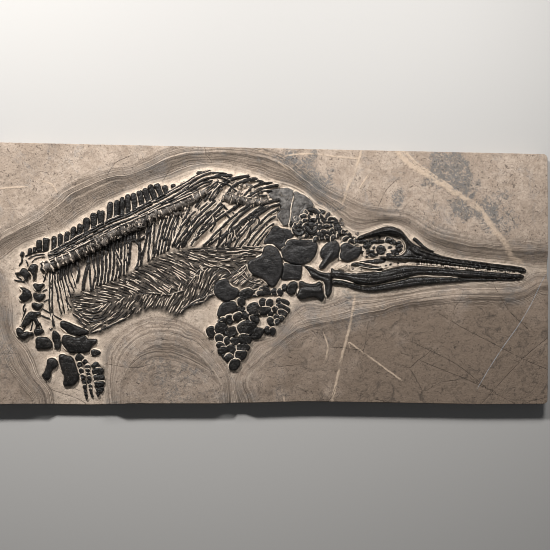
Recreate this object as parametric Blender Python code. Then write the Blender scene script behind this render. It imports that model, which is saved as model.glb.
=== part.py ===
"""Fossil ichthyosaur skeleton in a slab of thin-bedded limestone.

The slab lies on its back: +X runs towards the snout, +Y towards the animal's back and +Z out of the
prepared face. The origin is the middle of the slab's underside. The bones lie in a shallow hollow that
the preparator cut down to the bone layer, so that the stone's thin beds come out around them as steps.

Plan figures are in centimetres from the slab's middle, as on a find's grid plan. Heights are in metres.
"""

import math
import random

import bmesh
import bpy
from mathutils import Vector

# Driving dimensions, in metres
SLAB_LENGTH = 1.52
SLAB_WIDTH = 0.70
SLAB_THICKNESS = 0.040
SLAB_CORNER = 0.012
SLAB_EDGE_BEVEL = 0.0025
HOLLOW_DEPTH = 0.010
REST_GAP = 0.0003
CENTRUM_LENGTH = 0.0185
CENTRUM_RADIUS = 0.0165

CM = 0.01
BONE_FLOOR = SLAB_THICKNESS - HOLLOW_DEPTH
BONE_BASE = BONE_FLOOR + REST_GAP
CUTTER_REACH = 0.06
SEED = 7

# How far the lower edge lies in from the slab's full width: place along the edge and distance inwards
LOWER_EDGE_WAVES = [(-66, 0.3), (-50, 0.0), (-37, 0.35), (-16, 0.3), (8, 0.9), (30, 0.55), (56, 0.05)]

# The hollow's wall: at each place, the brink at the top of the slope and the toe at the bone layer
HOLLOW_WALL = [
    ((-75.3, 8.0), (-74.2, 4.2)), ((-70, 11.2), (-69.5, 8.0)), ((-65, 14.2), (-64, 10.4)),
    ((-60, 17.8), (-58, 13.2)), ((-55, 21.6), (-53, 16.8)), ((-50, 24.2), (-48.5, 19.6)),
    ((-45, 25.8), (-44, 22.0)), ((-40, 27.0), (-39.5, 24.0)), ((-35, 29.0), (-34.5, 26.0)),
    ((-30, 31.3), (-29.5, 27.4)), ((-25, 32.9), (-24.6, 29.4)), ((-20, 33.5), (-19.8, 30.6)),
    ((-14, 33.5), (-14, 30.4)), ((-8, 33.0), (-8.6, 29.4)), ((-3, 32.2), (-4.4, 28.2)),
    ((1, 31), (-0.8, 26.6)), ((4, 29), (2.6, 25.6)), ((7, 26.5), (5.6, 24.6)),
    ((10, 24.2), (8.4, 22.8)), ((14, 21.8), (11.2, 20.4)), ((18, 20), (14.4, 18.6)),
    ((22, 18), (18.6, 14.6)), ((26, 17.2), (22.5, 12.8)), ((30, 16.9), (26.5, 14.0)),
    ((33.5, 16.8), (30.5, 15.0)), ((37, 15.8), (34.4, 14.4)), ((41, 13.2), (38.4, 11.9)),
    ((45, 11.2), (42.5, 9.2)), ((50, 9.9), (48.5, 6.8)), ((55, 9.3), (54.5, 5.9)),
    ((60, 8.9), (60, 5.3)), ((65, 8.4), (65.5, 4.8)), ((70, 8.0), (70.6, 4.2)), ((77, 7.2), (77, 3.2)),
    ((77, -0.6), (77, 1.4)), ((73, -2.2), (72.2, 0.6)), ((70, -4), (70.4, -0.6)), ((66, -5), (66, -1.9)),
    ((60, -5.1), (60, -2.0)), ((50, -5.5), (50, -2.5)), ((40, -6.3), (40, -3.4)),
    ((35, -6.9), (34.5, -4.3)), ((30, -8.4), (29, -5.2)), ((25, -9.6), (23.6, -5.6)),
    ((20, -11), (18.5, -6.2)), ((14, -12.2), (12.8, -8.2)), ((10, -13), (7.2, -8.0)),
    ((5, -15), (3.9, -10.8)), ((2.5, -16.6), (1.4, -13.8)), ((0, -18.6), (-1.0, -16.8)),
    ((-4, -22), (-5.2, -18.4)), ((-7.5, -25), (-7.4, -21.6)), ((-9.2, -27.5), (-10.2, -26.2)),
    ((-9.3, -30.5), (-11.3, -29)), ((-8, -33), (-10.8, -33)), ((-7, -37), (-10.3, -37)),
    ((-13.6, -37), (-11.8, -37)), ((-14.4, -33), (-12.2, -33)), ((-15.2, -29.5), (-12.6, -29)),
    ((-17.2, -26.2), (-13.6, -25.8)), ((-20, -22.8), (-16.6, -21)), ((-24, -20), (-20, -16)),
    ((-29, -18.6), (-26, -12.8)), ((-34, -19.4), (-33, -12)), ((-38, -22.3), (-40, -14.6)),
    ((-40.6, -26.5), (-44.6, -19.5)), ((-42, -31), (-45.4, -27)), ((-43, -37), (-45.6, -37)),
    ((-61.5, -37), (-58.5, -37)), ((-63.5, -32), (-60.6, -31.4)), ((-67, -27.5), (-63.8, -27.2)),
    ((-70.4, -22.4), (-66.2, -21.4)), ((-73, -16), (-70.6, -16)), ((-74.6, -9), (-71.4, -9)),
    ((-75.3, -2), (-73.2, -2)), ((-75.4, 4), (-74.0, 2.5)),
]
# The wall's ledge, as (share of the way from brink to toe, share of the depth still above the bone layer)
WALL_STEPS = [(0.0, 1.0), (0.42, 0.62), (0.54, 0.36), (1.0, 0.0)]

# Flat bones: name, height above the bone layer in metres, outline
SKULL_BONES = {
    "upper_skull": (0.017, [
        (20.6, 10.6), (22, 11.2), (24, 11.5), (26, 12.3), (28, 13.3), (30, 13.7), (32, 13.8), (33.5, 13.6),
        (34.8, 12.8), (36.2, 11.2), (37.4, 9.6), (39.2, 8.2), (41, 7.2), (43, 6.5), (46, 6.1), (50, 5.2),
        (55, 4.6), (60, 4.15), (65, 3.75), (67.5, 3.4), (69, 2.7), (69.6, 2.1), (69.1, 1.75), (67, 1.8),
        (62, 2.3), (55, 2.95), (50, 3.5), (44, 4.1), (40, 4.5), (35, 4.8), (30, 5.0), (27.4, 5.2),
        (24.6, 5.3), (24.4, 5.9), (27, 5.9), (30, 6.0), (32.4, 6.3), (34.2, 7.1), (34.9, 8.4), (34.8, 9.8),
        (34.1, 10.8), (32.6, 11.5), (30, 11.5), (27.6, 11.0), (25.6, 10.4), (23.6, 9.6), (22.2, 9.9),
    ]),
    "nasal_bone": (0.009, [
        (37.9, 10.6), (38.3, 11.0), (39.4, 10.3), (40.8, 9.0), (42.4, 7.9), (44.0, 7.1), (43.4, 6.8),
        (41.2, 7.6), (39.6, 8.5), (38.4, 9.5),
    ]),
    "lower_jaw": (0.016, [
        (15.3, 0.9), (16.2, 1.8), (17.6, 1.7), (19.6, 1.5), (22, 1.1), (25, 0.95), (28, 1.1), (31, 1.9),
        (34, 2.7), (38, 3.1), (42, 3.0), (46, 2.6), (50, 2.2), (55, 1.9), (60, 1.6), (65, 1.2),
        (68.6, 1.1), (69, 0.6), (68.5, 0.15), (64, 0.15), (58, 0.3), (50, 0.5), (44, 0.75), (38, 0.55),
        (35, 0.0), (32, -0.9), (29, -1.6), (26, -2.1), (23, -2.2), (20.6, -1.6), (18.6, -0.9),
        (16.8, -0.4), (15.2, -0.2),
    ]),
    "far_jaw_branch": (0.009, [
        (15.3, -1.0), (17, -1.2), (19, -1.8), (21, -2.5), (24, -2.75), (28, -2.5), (31, -2.05),
        (34, -1.3), (36.4, -0.5), (40, -0.05), (46, -0.1),
        (52, -0.1), (60, -0.12), (67.8, -0.15), (67.4, -0.6),
        (60, -0.75), (55, -0.85), (50, -1.2), (45, -1.6), (40, -2), (37, -2.4), (34, -2.9), (31, -3.35),
        (28, -3.8), (25, -4.0), (22, -3.7), (20, -3.1), (18, -2.6), (15.4, -2.1),
    ]),
    "cheek_bar": (0.008, [
        (20.3, 3.2), (20.6, 3.9), (21.6, 3.8), (23.6, 3.1), (26, 2.7), (28.4, 2.4), (28.2, 2.0),
        (26, 1.9), (23.6, 2.2), (21.8, 2.9),
    ]),
    "upper_cheek_bar": (0.008, [
        (24.4, 3.9), (24.6, 4.3), (27, 4.6), (29.6, 4.8), (29.6, 4.1), (27, 3.9),
    ]),
    "hind_cheek_bone": (0.011, [
        (17.4, 7.0), (17.7, 8.3), (18.4, 8.9), (19.3, 9.0), (20.4, 8.4), (22, 7.9), (22.8, 7.3),
        (22.2, 6.1), (21.2, 5.0), (20, 4.6), (19.2, 4.2), (18.2, 4.5), (17.6, 5.4),
    ]),
}

SHOULDER_BONES = {
    "quadrate": (0.012, [
        (12, 6.4), (12.4, 7.5), (13.2, 8.4), (14.2, 9.0), (15.4, 9.1), (16.3, 8.7), (16.9, 7.7),
        (16.9, 6.2), (16.2, 5.4), (15.2, 4.8), (14.2, 4.2), (13.4, 3.4), (12.7, 2.6), (12.2, 1.9),
        (11.6, 2.2), (11.7, 3.0), (12.5, 3.8), (12.6, 4.6), (12.1, 5.4),
    ]),
    "clavicle": (0.010, [
        (7.7, 2.8), (8.6, 2.2), (9.8, 1.6), (11.2, 1.2), (12.5, 1.0), (13.6, 0.9), (14.7, 1.3),
        (14.9, 0.2), (14.8, -1.8), (14.7, -4), (14.3, -5.2), (13.6, -5.4), (13.2, -4.4), (12.9, -2.6),
        (12.4, -1.4), (11.9, -0.8), (10.4, -0.6), (9.3, 0.0), (8.3, 1.1),
    ]),
    "scapula_hind": (0.009, [
        (-2.0, 22.6), (-1.5, 23.5), (0.5, 23.9), (3, 23.9), (4.1, 23.5), (4.0, 22.4), (4.15, 21.2),
        (3.9, 20.1), (3.2, 18.9), (3.0, 17), (2.9, 15.3), (2.7, 14.3), (2, 14.0), (1.3, 14.4),
        (0.9, 15.4), (0.3, 16.6), (0.5, 17.6), (0.95, 18.5),
        (0.5, 19.6), (0, 20.6), (-0.4, 21.5), (-1.4, 22.0),
    ]),
    "scapula_front": (0.009, [
        (4.4, 23.4), (5, 23.1), (6, 22.5), (7, 22.0), (8.2, 21.3), (9.1, 20.5), (9.6, 19.6), (9, 19.1),
        (7.9, 18.9), (7.1, 18.0), (6.7, 17.3), (6.7, 16.4), (6.3, 15.4), (6.1, 14.7), (4.6, 14.5),
        (3.2, 14.5), (3.2, 15.5), (3.3, 17.2), (3.5, 18.8), (4.2, 20.0), (4.45, 21.2), (4.3, 22.4),
    ]),
    "coracoid_hind": (0.007, [
        (-3.4, 9.2), (-3.2, 10.4), (-2.6, 11.5), (-1.9, 12.3), (-1.2, 13.1), (0.6, 13.2), (1.6, 12.4),
        (3, 12.3), (3.8, 11.9), (4.0, 10.9), (3.2, 10.4), (2.4, 10.0), (2.1, 9.2), (2.0, 8.3), (1.0, 7.4),
        (0.5, 7.3), (-0.2, 8.3), (-1.2, 8.8), (-2.4, 9.0),
    ]),
    "coracoid_front": (0.010, [
        (2.7, 9.4), (2.6, 8.2), (1.5, 7.1), (1.3, 6.2), (1.7, 4.8), (2.4, 4.3), (3.4, 4.0), (4.8, 3.5),
        (6.6, 3.3), (8.2, 4.0), (9.6, 5.0), (10.5, 6.4), (10.8, 8), (10.6, 9.2), (9.6, 9.7), (7.5, 9.8),
        (4.8, 9.9), (3.4, 9.8),
    ]),
    "coracoid_lower": (0.012, [
        (-8, 2.6), (-7.9, 3.4), (-7.2, 4), (-6, 4.3), (-4.8, 4.8), (-4.1, 5.4), (-3.9, 6.4), (-3.7, 7.5),
        (-3, 8.2), (-1.9, 8.2), (-0.9, 7.8), (-0.1, 6.9), (0.3, 5.7), (0.8, 4.7), (1.2, 3.3), (1.3, 1.9),
        (0.9, 0.6), (0.3, -0.9), (-0.4, -2.2), (-1.3, -2.8), (-2.1, -2.3), (-3, -1.3), (-4.4, -0.6),
        (-6, 0.2), (-7.3, 0.9), (-7.8, 1.8),
    ]),
    "interclavicle": (0.007, [
        (2.0, 3.7), (3, 3.5), (4.6, 3.0), (6.3, 2.8), (6.5, 1.5), (6.5, 0.2), (6, -0.7), (4, -0.8),
        (2.2, -0.8), (1.2, -0.8), (1.15, 0), (1.6, 0.9), (1.8, 2.2),
    ]),
    "humerus": (0.012, [
        (6.2, -1.5), (7, -1.4), (7.9, -1.9), (9.4, -2.2), (10.8, -2.0), (11.6, -1.5), (12.0, -1.9),
        (12.2, -3), (12.5, -4.6), (12.8, -6), (12.4, -6.7), (11.6, -6.3), (10.8, -5.8), (9.5, -5.8),
        (8.2, -5.7), (7, -6.2), (6, -6), (5.5, -5.2), (5.6, -4.6), (5.9, -3.6), (6.1, -2.4),
    ]),
    "radius": (0.010, [
        (2.8, -4.2), (3, -2.7), (3.6, -1.8), (4.6, -1.5), (5.3, -1.9), (5.4, -3.2), (5.1, -4.5),
        (4.2, -5.1), (3.2, -4.9),
    ]),
}

NECK_BONES = {
    "neck_arch": (0.010, [
        (8.2, 18.3), (9.0, 18.45), (10.0, 18.3), (11.2, 17.6), (12.1, 16.4), (12.6, 15.1), (11.9, 14.9),
        (11.4, 16.0), (10.6, 17.1), (9.6, 17.7), (8.5, 17.9), (8.1, 17.8),
    ]),
    "neck_bar": (0.008, [
        (13.1, 15.1), (13.3, 16.4), (13.7, 17.6), (14.2, 17.7), (14.1, 16.6), (13.8, 15.2),
    ]),
    "atlas": (0.011, [
        (14.4, 16.5), (15.4, 16.2), (16.2, 15.3), (16.9, 14.2), (17.8, 13.2), (17.4, 12.6), (16.2, 12.5),
        (15.6, 13.1), (15.3, 14.5), (14.9, 15.4), (14.2, 15.8),
    ]),
    "neck_vertebra_1": (0.012, [
        (4.2, 12.4), (4.6, 13.4), (5.8, 13.9), (7.0, 13.4), (7.2, 12.2), (6.8, 11.4), (5.6, 10.9),
        (4.8, 11.2),
    ]),
    "neck_vertebra_2": (0.013, [
        (7.6, 14.6), (8.6, 14.9), (10, 14.7), (10.9, 14), (10.8, 13), (10.2, 12.3), (9.4, 11.4),
        (8.6, 11.8), (8, 12.6), (7.5, 13.4),
    ]),
    "neck_vertebra_3": (0.011, [
        (11.4, 14.5), (12.4, 14.3), (13.4, 14.2), (13.4, 13.3), (12.6, 12.8), (11.6, 13.0),
        (11.2, 13.7),
    ]),
    "neck_vertebra_4": (0.011, [
        (10.6, 11.9), (11.4, 12.5), (12.6, 12.3), (13.3, 11.4), (13, 10.5), (11.8, 10.2), (10.8, 10.7),
    ]),
    "neck_vertebra_5": (0.010, [
        (13.6, 12.5), (14.8, 12.5), (15.1, 11.6), (14.9, 10.5), (14, 10.1), (13.5, 11),
    ]),
}

TAIL_BONES = {
    "tail_vertebra_1": (0.012, [
        (-70.2, 0.1), (-69.2, 0.1), (-68.7, 1.1), (-68.1, 1.4), (-67.4, 1.1), (-67.0, 0.6), (-66.3, 0.2),
        (-65.9, -0.3), (-66.6, -0.9), (-67.0, -2.2), (-67.6, -1.9), (-68.1, -0.9), (-68.9, -0.3),
    ]),
    "tail_vertebra_2": (0.012, [
        (-66.3, 0.9), (-65.9, 2.2), (-65, 2.8), (-64.3, 2.4), (-64.3, 1.2), (-64.7, 0.2), (-64.6, -1.0),
        (-65.0, -1.8), (-65.4, -1.2), (-65.4, 0.2), (-66.0, 0.5),
    ]),
    "tail_vertebra_3": (0.012, [
        (-63.4, 2.3), (-62.9, 2.9), (-61.9, 2.7), (-61.9, 1.8), (-62.3, 0.7), (-62.9, 0.4),
        (-63.3, 1.0),
    ]),
    "tail_vertebra_4": (0.011, [
        (-65.9, -3.9), (-65.3, -2.8), (-64, -3.0), (-62.2, -2.6), (-62.5, -3.2), (-63.3, -3.7),
        (-63.4, -4.6), (-64.1, -4.8), (-65, -4.3),
    ]),
    "tail_vertebra_5": (0.011, [
        (-65, -6.3), (-64.9, -5.2), (-64.2, -5.6), (-63, -5.7), (-62.1, -5.4), (-62.3, -6.3), (-63, -7.0),
        (-63.6, -7.4), (-64.4, -7.0),
    ]),
    "tail_vertebra_6": (0.011, [
        (-65.7, -8.8), (-65.2, -7.9), (-64.4, -8.2), (-63.4, -8.3), (-62.4, -8.0), (-62.8, -8.8),
        (-63.6, -9.7), (-64.2, -9.8), (-65.0, -9.3),
    ]),
    "tail_vertebra_7": (0.012, [
        (-69.1, -3.4), (-68.3, -3.9), (-67.3, -3.9), (-66.4, -4.3), (-65.7, -5.3), (-66.1, -6.4),
        (-67.1, -7.2), (-67.8, -7.6), (-68.7, -7.2),
        (-69.2, -6.3), (-68.6, -5.8), (-68, -5.2), (-68.1, -4.4),
    ]),
    "tail_vertebra_8": (0.011, [
        (-66.9, -10.7), (-66.2, -10.1), (-65, -10.3), (-63.4, -10.2), (-63.6, -10.9), (-64.6, -11.3),
        (-64.2, -12.5), (-63.9, -13.6), (-64.6, -14.0), (-65.6, -14.1), (-67.0, -14.0), (-68.4, -14.1),
        (-68.5, -13.0), (-67.5, -11.7),
    ]),
    "tail_vertebra_9": (0.012, [
        (-69.6, -15.0), (-69.5, -16.0), (-69, -16.9), (-68, -17.5), (-67, -17.3), (-66.2, -16.6),
        (-65.3, -16.3), (-65.2, -15.3), (-66.4, -14.8), (-67.6, -15.2), (-68.2, -14.6), (-69.2, -14.5),
    ]),
    "tail_vertebra_10": (0.010, [
        (-64.9, -14.6), (-64, -14.3), (-62.9, -14.7), (-62.3, -15.5), (-62.8, -16.1), (-63.8, -16.3),
        (-64.9, -16.1),
    ]),
}

HIND_LIMB_BONES = {
    "ilium": (0.009, [
        (-59.9, -15.3), (-59.2, -15.3), (-58.3, -16.2), (-58.0, -17.6), (-57.8, -19), (-58.1, -19.9),
        (-58.8, -20.1), (-59.4, -19.7), (-59.8, -18.3), (-60.2, -16.6),
    ]),
    "left_ischium": (0.009, [
        (-64.5, -18.0), (-64, -17.3), (-63, -16.9),
        (-62, -17), (-61.1, -17.2), (-60.4, -18.2), (-60.1, -19.2),
        (-60.5, -19.8), (-61.8, -20.1), (-63.1, -20.0), (-64.3, -20), (-64.4, -19),
    ]),
    "pubis": (0.010, [
        (-58, -14), (-57.4, -12.9), (-56.6, -12.7), (-55.8, -13.2), (-54.8, -13.3), (-53.6, -14.3),
        (-52.2, -14.9), (-51.2, -14.8), (-50.8, -15.6), (-51.5, -16.2), (-53, -16.3), (-54.8, -15.9),
        (-56.5, -15.3),
    ]),
    "right_ischium": (0.010, [
        (-57.3, -16.7), (-55.5, -16.6), (-53.5, -17.1), (-52.5, -16.8), (-51.3, -16.7), (-50.9, -17.2),
        (-49, -17.3), (-48.6, -17.6), (-48.8, -18.5), (-49.8, -19.4), (-50.5, -20.5), (-51.2, -21),
        (-53, -21.0), (-54, -21.2), (-55.4, -21), (-56.4, -20.4), (-57.2, -19.2), (-57.5, -17.8),
    ]),
    "hind_paddle_chip": (0.007, [
        (-49.9, -20.3), (-48.6, -20.2), (-47.7, -20.7), (-48.1, -21.4), (-49.2, -21.9), (-49.8, -21.2),
    ]),
    "left_femur": (0.010, [
        (-61.3, -22.9), (-60.6, -22.5), (-59.7, -22.6), (-58.9, -23.3), (-58.6, -24.1), (-59.1, -24.9),
        (-60, -25.4), (-60.5, -26.3), (-60.6, -27.4), (-60.7, -28), (-61.6, -28.1), (-62.2, -27.6),
        (-62.7, -27.1), (-62.1, -26.7), (-61.8, -25.5), (-61.4, -24.4),
    ]),
    "right_femur": (0.010, [
        (-58.3, -22), (-57.5, -21.6), (-56.2, -21.8), (-54.9, -22.2), (-54.1, -23.3), (-53.6, -24.9),
        (-53.1, -26.5), (-53.3, -28), (-54.2, -29.2), (-55.2, -29.8), (-56.5, -30), (-57.0, -29.4),
        (-57.1, -27.6), (-57.4, -26), (-57.9, -24.4), (-58.4, -23),
    ]),
}

LOOSE_BONES = {
    "loose_spine": (0.006, [
        (-22.1, 27.4), (-22.0, 28.1), (-20.6, 28.2), (-18.4, 28.6), (-18.3, 28.0), (-20.2, 27.7),
    ]),
}

FORE_PADDLE_DISCS = {
    "ulnar_disc": (0.009, [
        (-16.9, -2.9), (-16.6, -2.1), (-15.6, -1.5),
        (-14.4, -1.1), (-13.6, -1.1), (-13.4, -2), (-12.7, -2.9),
        (-11.9, -3.4), (-10.9, -3.6), (-10.5, -4.4), (-10.8, -5.3), (-11.6, -6.1), (-12.6, -6.7),
        (-13.8, -6.9), (-15, -6.5), (-16.2, -5.7), (-16.9, -4.9), (-17.1, -3.9),
    ]),
    "wrist_disc": (0.009, [
        (-14.6, -7.4), (-13.4, -7.2), (-12.1, -7), (-11.3, -7.5), (-10.9, -8.5), (-11, -9.2), (-12.3, -9.8),
        (-13.6, -10.3), (-14.9, -10.9), (-15.8, -11.2), (-15.9, -9.5), (-15.4, -8.3),
    ]),
}

# Finger and toe bones in the order they follow along each digit: middle, half length and half width
DIGITS = {
    "fore_digit_1": (0.007, -96, [
        (-15.1, -12.2, 0.95, 1.0), (-15.2, -14.3, 1.5, 1.4), (-17.4, -15.0, 1.4, 1.35),
        (-15.6, -17.1, 1.55, 0.95), (-15.1, -18.9, 0.95, 0.85), (-14.7, -20.3, 0.95, 1.05),
    ]),
    "fore_digit_2": (0.008, -88, [
        (-12.5, -15.2, 1.3, 1.2), (-12.5, -17.1, 1.1, 0.8),
        (-11.6, -18.2, 1.1, 0.75), (-12.2, -20.2, 1.4, 0.9),
        (-13.1, -22.3, 1.1, 0.85),
    ]),
    "fore_digit_3": (0.008, -97, [
        (-8.4, -14.1, 2.05, 2.15), (-8.6, -17.2, 1.35, 1.5), (-9.1, -19.5, 1.15, 1.4),
        (-10.0, -21.8, 1.4, 1.3), (-11.2, -23.9, 1.7, 1.35),
    ]),
    "fore_digit_4": (0.008, -85, [(-6.4, -9.1, 1.75, 1.6), (-6.2, -11.2, 1.0, 1.15)]),
    "fore_digit_5": (0.007, -90, [
        (-3.6, -7.3, 1.1, 0.75), (-2.3, -7.5, 1.1, 0.75), (-3.2, -9.3, 1.15, 1.35),
    ]),
    "fore_digit_6": (0.006, -80, [
        (1.6, -7.0, 0.6, 1.4), (1.6, -8.3, 0.8, 1.5), (0.2, -9.0, 0.8, 0.9), (1.4, -9.9, 0.8, 1.1),
        (0.3, -11.1, 0.9, 0.9), (0.2, -12.6, 0.8, 0.8), (-1.0, -12.9, 1.1, 0.9), (-1.6, -14.8, 1.1, 1.0),
    ]),
    "hind_digit_1": (0.006, -84, [
        (-52.9, -22.4, 0.9, 1.0), (-52.7, -24.0, 0.9, 0.6),
        (-52.4, -25.7, 1.0, 0.6), (-52.1, -27.3, 0.95, 0.55),
        (-51.8, -28.8, 0.85, 0.5), (-51.6, -30.2, 0.75, 0.45),
        (-51.4, -31.4, 0.7, 0.4), (-51.2, -32.5, 0.6, 0.3),
    ]),
    "hind_digit_2": (0.006, -86, [
        (-51.3, -23.3, 0.8, 0.65), (-50.9, -24.8, 0.95, 0.55),
        (-50.6, -26.4, 0.95, 0.5), (-50.4, -28.0, 0.9, 0.5),
        (-50.2, -29.5, 0.85, 0.42), (-50.0, -30.9, 0.8, 0.4), (-49.7, -32.1, 0.65, 0.32),
    ]),
    "hind_digit_3": (0.006, -84, [
        (-48.8, -24.3, 1.0, 1.15), (-48.0, -26.1, 1.15, 1.5), (-47.9, -27.9, 1.1, 1.35),
        (-47.6, -29.6, 1.0, 1.15), (-47.5, -31.2, 1.0, 0.75),
    ]),
}

# Middle line of the backbone, from the tail forwards, and how wide it grows
SPINE_REAR = [
    (-60.8, 2.4), (-57, 4.0), (-54, 5.3), (-51, 6.8), (-48, 8.6), (-45, 10.3), (-42, 11.9), (-39, 13.2),
    (-36, 14.6), (-33, 16.2), (-30, 17.6), (-27, 18.9), (-24, 20.3), (-21.4, 21.6), (-19.6, 22.6),
]
SPINE_FRONT = [(-14.6, 21.4), (-12, 20.7), (-9.5, 20.3), (-7, 20.0), (-4.6, 20.3), (-2.6, 20.4)]
SPINE_SECTION = [(-1, 0), (-1, 0.38), (-0.74, 0.82), (-0.3, 1), (0.3, 1), (0.74, 0.82), (1, 0.38), (1, 0)]
ROD_SECTION = [(-1, 0), (-0.6, 0.95), (0.5, 1), (1, 0)]

# Ribs that hang from the rear backbone, from the head down: half width and middle line
REAR_RIBS = [
    (0.30, [(-60.0, 1.6), (-60.9, -5), (-60.9, -9), (-60.0, -12.6), (-59.6, -13.6)]),
    (0.28, [(-59.4, 2.2), (-59.8, -1), (-58.3, -10.4)]),
    (0.28, [(-58.6, 2.4), (-58.6, -1), (-56.8, -10.0)]),
    (0.28, [(-57.6, 2.8), (-57.5, -1), (-55.6, -7.4)]),
    (0.25, [(-56.6, 3.2), (-56.3, -1), (-54.7, -4.4)]),
    (0.30, [(-54.0, 4.2), (-53.3, 0.8), (-54.0, -2.0)]),
    (0.42, [(-51.2, 5.6), (-51.3, 1), (-52.0, -2), (-52.1, -3.6)]),
    (0.26, [(-49.7, 6.2), (-49.1, 0), (-49.4, -2.6)]),
    (0.32, [(-48.3, 7.2), (-48.3, 0), (-48.4, -2.4)]),
    (0.30, [(-47.2, 7.8), (-47.3, 0), (-47.5, -2.2)]),
    (0.28, [(-46.2, 8.4), (-46.3, 0), (-46.5, -1.7)]),
    (0.26, [(-45.1, 9.0), (-45.4, 0), (-45.6, -1.4)]),
    (0.26, [(-44.1, 9.6), (-44.4, 0), (-44.6, -1.0)]),
    (0.26, [(-43.1, 10.2), (-43.4, 0.4), (-43.5, -0.5)]),
    (0.28, [(-42.1, 10.8), (-42.4, 1.0), (-42.5, -0.1)]),
    (0.28, [(-41.1, 11.2), (-41.5, 1.4), (-41.6, 0.4)]),
    (0.32, [(-40.1, 11.6), (-40.4, 5), (-40.5, 1.6)]),
    (0.34, [(-37.8, 12.8), (-37.4, 6), (-37.9, 2.8)]),
    (0.30, [(-35.6, 13.4), (-35.2, 9), (-35.8, 6.4), (-36.5, 3.8)]),
    (0.30, [(-34.3, 14.2), (-34.6, 9), (-34.7, 4.6)]),
    (0.30, [(-31.6, 15.6), (-32.4, 11), (-33.3, 7.6), (-33.7, 5.4)]),
    (0.30, [(-30.2, 16.2), (-31.2, 11), (-32.2, 8), (-32.6, 5.9)]),
    (0.30, [(-28.9, 16.8), (-30, 11.5), (-31.1, 8), (-31.5, 6.6)]),
    (0.30, [(-27.4, 17.4), (-29, 12.5), (-30.1, 9), (-30.5, 7.4)]),
    (0.30, [(-26.1, 18.0), (-28, 12.5), (-29.3, 8.6), (-29.5, 7.6)]),
    (0.32, [(-23.9, 19.0), (-26.2, 14.4), (-27.3, 11.4), (-28.3, 8.0)]),
    (0.30, [(-22.3, 19.6), (-24.5, 13.4), (-26.1, 9.4), (-26.6, 7.8)]),
    (0.30, [(-21.0, 20.4), (-22.9, 13.0), (-24.8, 9.4), (-25.3, 8.0)]),
    (0.30, [(-20.2, 21.0), (-20.9, 14.4), (-22.8, 9.6), (-23.4, 8.2)]),
]
FRONT_RIBS = [
    (0.34, [(-2.6, 19.6), (-2.6, 17.0), (-4.2, 15.0), (-6.5, 12.6), (-8.6, 9.8), (-9.4, 8.6)]),
    (0.30, [(-2.6, 20.2), (-1.6, 17.8), (-1.7, 15.9), (-3, 14.6), (-5.0, 12.4), (-7, 10), (-7.8, 8.8)]),
    (0.36, [(-3.9, 19.6), (-5.4, 17.7), (-8, 15.7), (-10.5, 13.2), (-12.1, 10.2), (-12.6, 8.7)]),
    (0.36, [(-5.8, 19.4), (-7.6, 18.4), (-10, 16.5), (-12, 14.5), (-14.2, 11.4), (-15.4, 8.7)]),
    (0.32, [(-8.6, 19.6), (-11, 17.8), (-14.4, 14.4), (-16.8, 11.0), (-18.0, 8.5)]),
    (0.32, [(-11.2, 20.2), (-13.6, 17.8), (-16.4, 14.8), (-18.8, 11.4), (-20.4, 8.5)]),
    (0.25, [(-0.2, 24.7), (-2.5, 24.7), (-5.5, 23.6), (-8.2, 21.4), (-9.2, 20.6)]),
    (0.30, [(-2.6, 25.6), (-5.2, 25.3), (-7.9, 23.9), (-10.2, 21.8), (-11, 21)]),
    (0.36, [(-6.6, 26.8), (-9.8, 25.8), (-12.1, 24.2), (-13.2, 22.6), (-13.6, 21.6)]),
]

# Rods along the animal's back, above the backbone, and the spines that stand up from them
ARCH_LINE = [
    (-60.5, 5.5), (-55, 8.4), (-50, 11.2), (-45, 14.0), (-40, 16.2), (-36, 18.3), (-31, 20.9),
    (-27, 23.2), (-24, 24.5), (-21, 25.6), (-18, 26.1), (-15.4, 26.1),
]
ARCH_RODS = [(-0.75, 0.0045), (-0.05, 0.0060), (0.65, 0.0050)]
ARCH_STATIONS = 12
NEURAL_SPINES = [
    ((-60.2, 6.2), (-60.0, 10.0), 1.0),
    ((-58.3, 6.6), (-58.4, 10.6), 0.9), ((-56.8, 7.4), (-56.4, 11.1), 1.1),
    ((-55.0, 8.2), (-54.8, 12.5), 1.1), ((-53.3, 9.2), (-52.9, 13.4), 1.2),
    ((-51.4, 10.2), (-51.5, 15.0), 1.2), ((-49.4, 11.4), (-49.6, 16.3), 1.2),
    ((-47.5, 12.4), (-47.8, 17.2), 1.3), ((-45.5, 13.4), (-45.2, 19.3), 1.1),
    ((-43.8, 14.4), (-43.4, 19.8), 1.0), ((-42.1, 15.2), (-42.0, 20.7), 1.0),
    ((-40.4, 16.0), (-40.6, 21.4), 1.0), ((-38.5, 16.8), (-39.2, 21.8), 1.1),
    ((-36.6, 17.8), (-37.6, 22.7), 1.1), ((-34.6, 18.8), (-36.0, 23.2), 1.1),
    ((-33.0, 19.8), (-34.4, 24.1), 1.1), ((-31.2, 20.8), (-32.8, 24.6), 1.1),
    ((-29.8, 21.6), (-30.6, 24.0), 1.1), ((-27.8, 22.6), (-28.4, 24.8), 1.0),
]
TAIL_SPINES = [
    ((-63.9, 6.0), (-63.9, 8.8), 1.1), ((-62.2, 6.1), (-62.1, 9.5), 1.1),
]
TAIL_ARCH = [(-67.0, 4.9), (-65.4, 5.6), (-63.6, 6.1), (-61.7, 6.2)]

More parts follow.
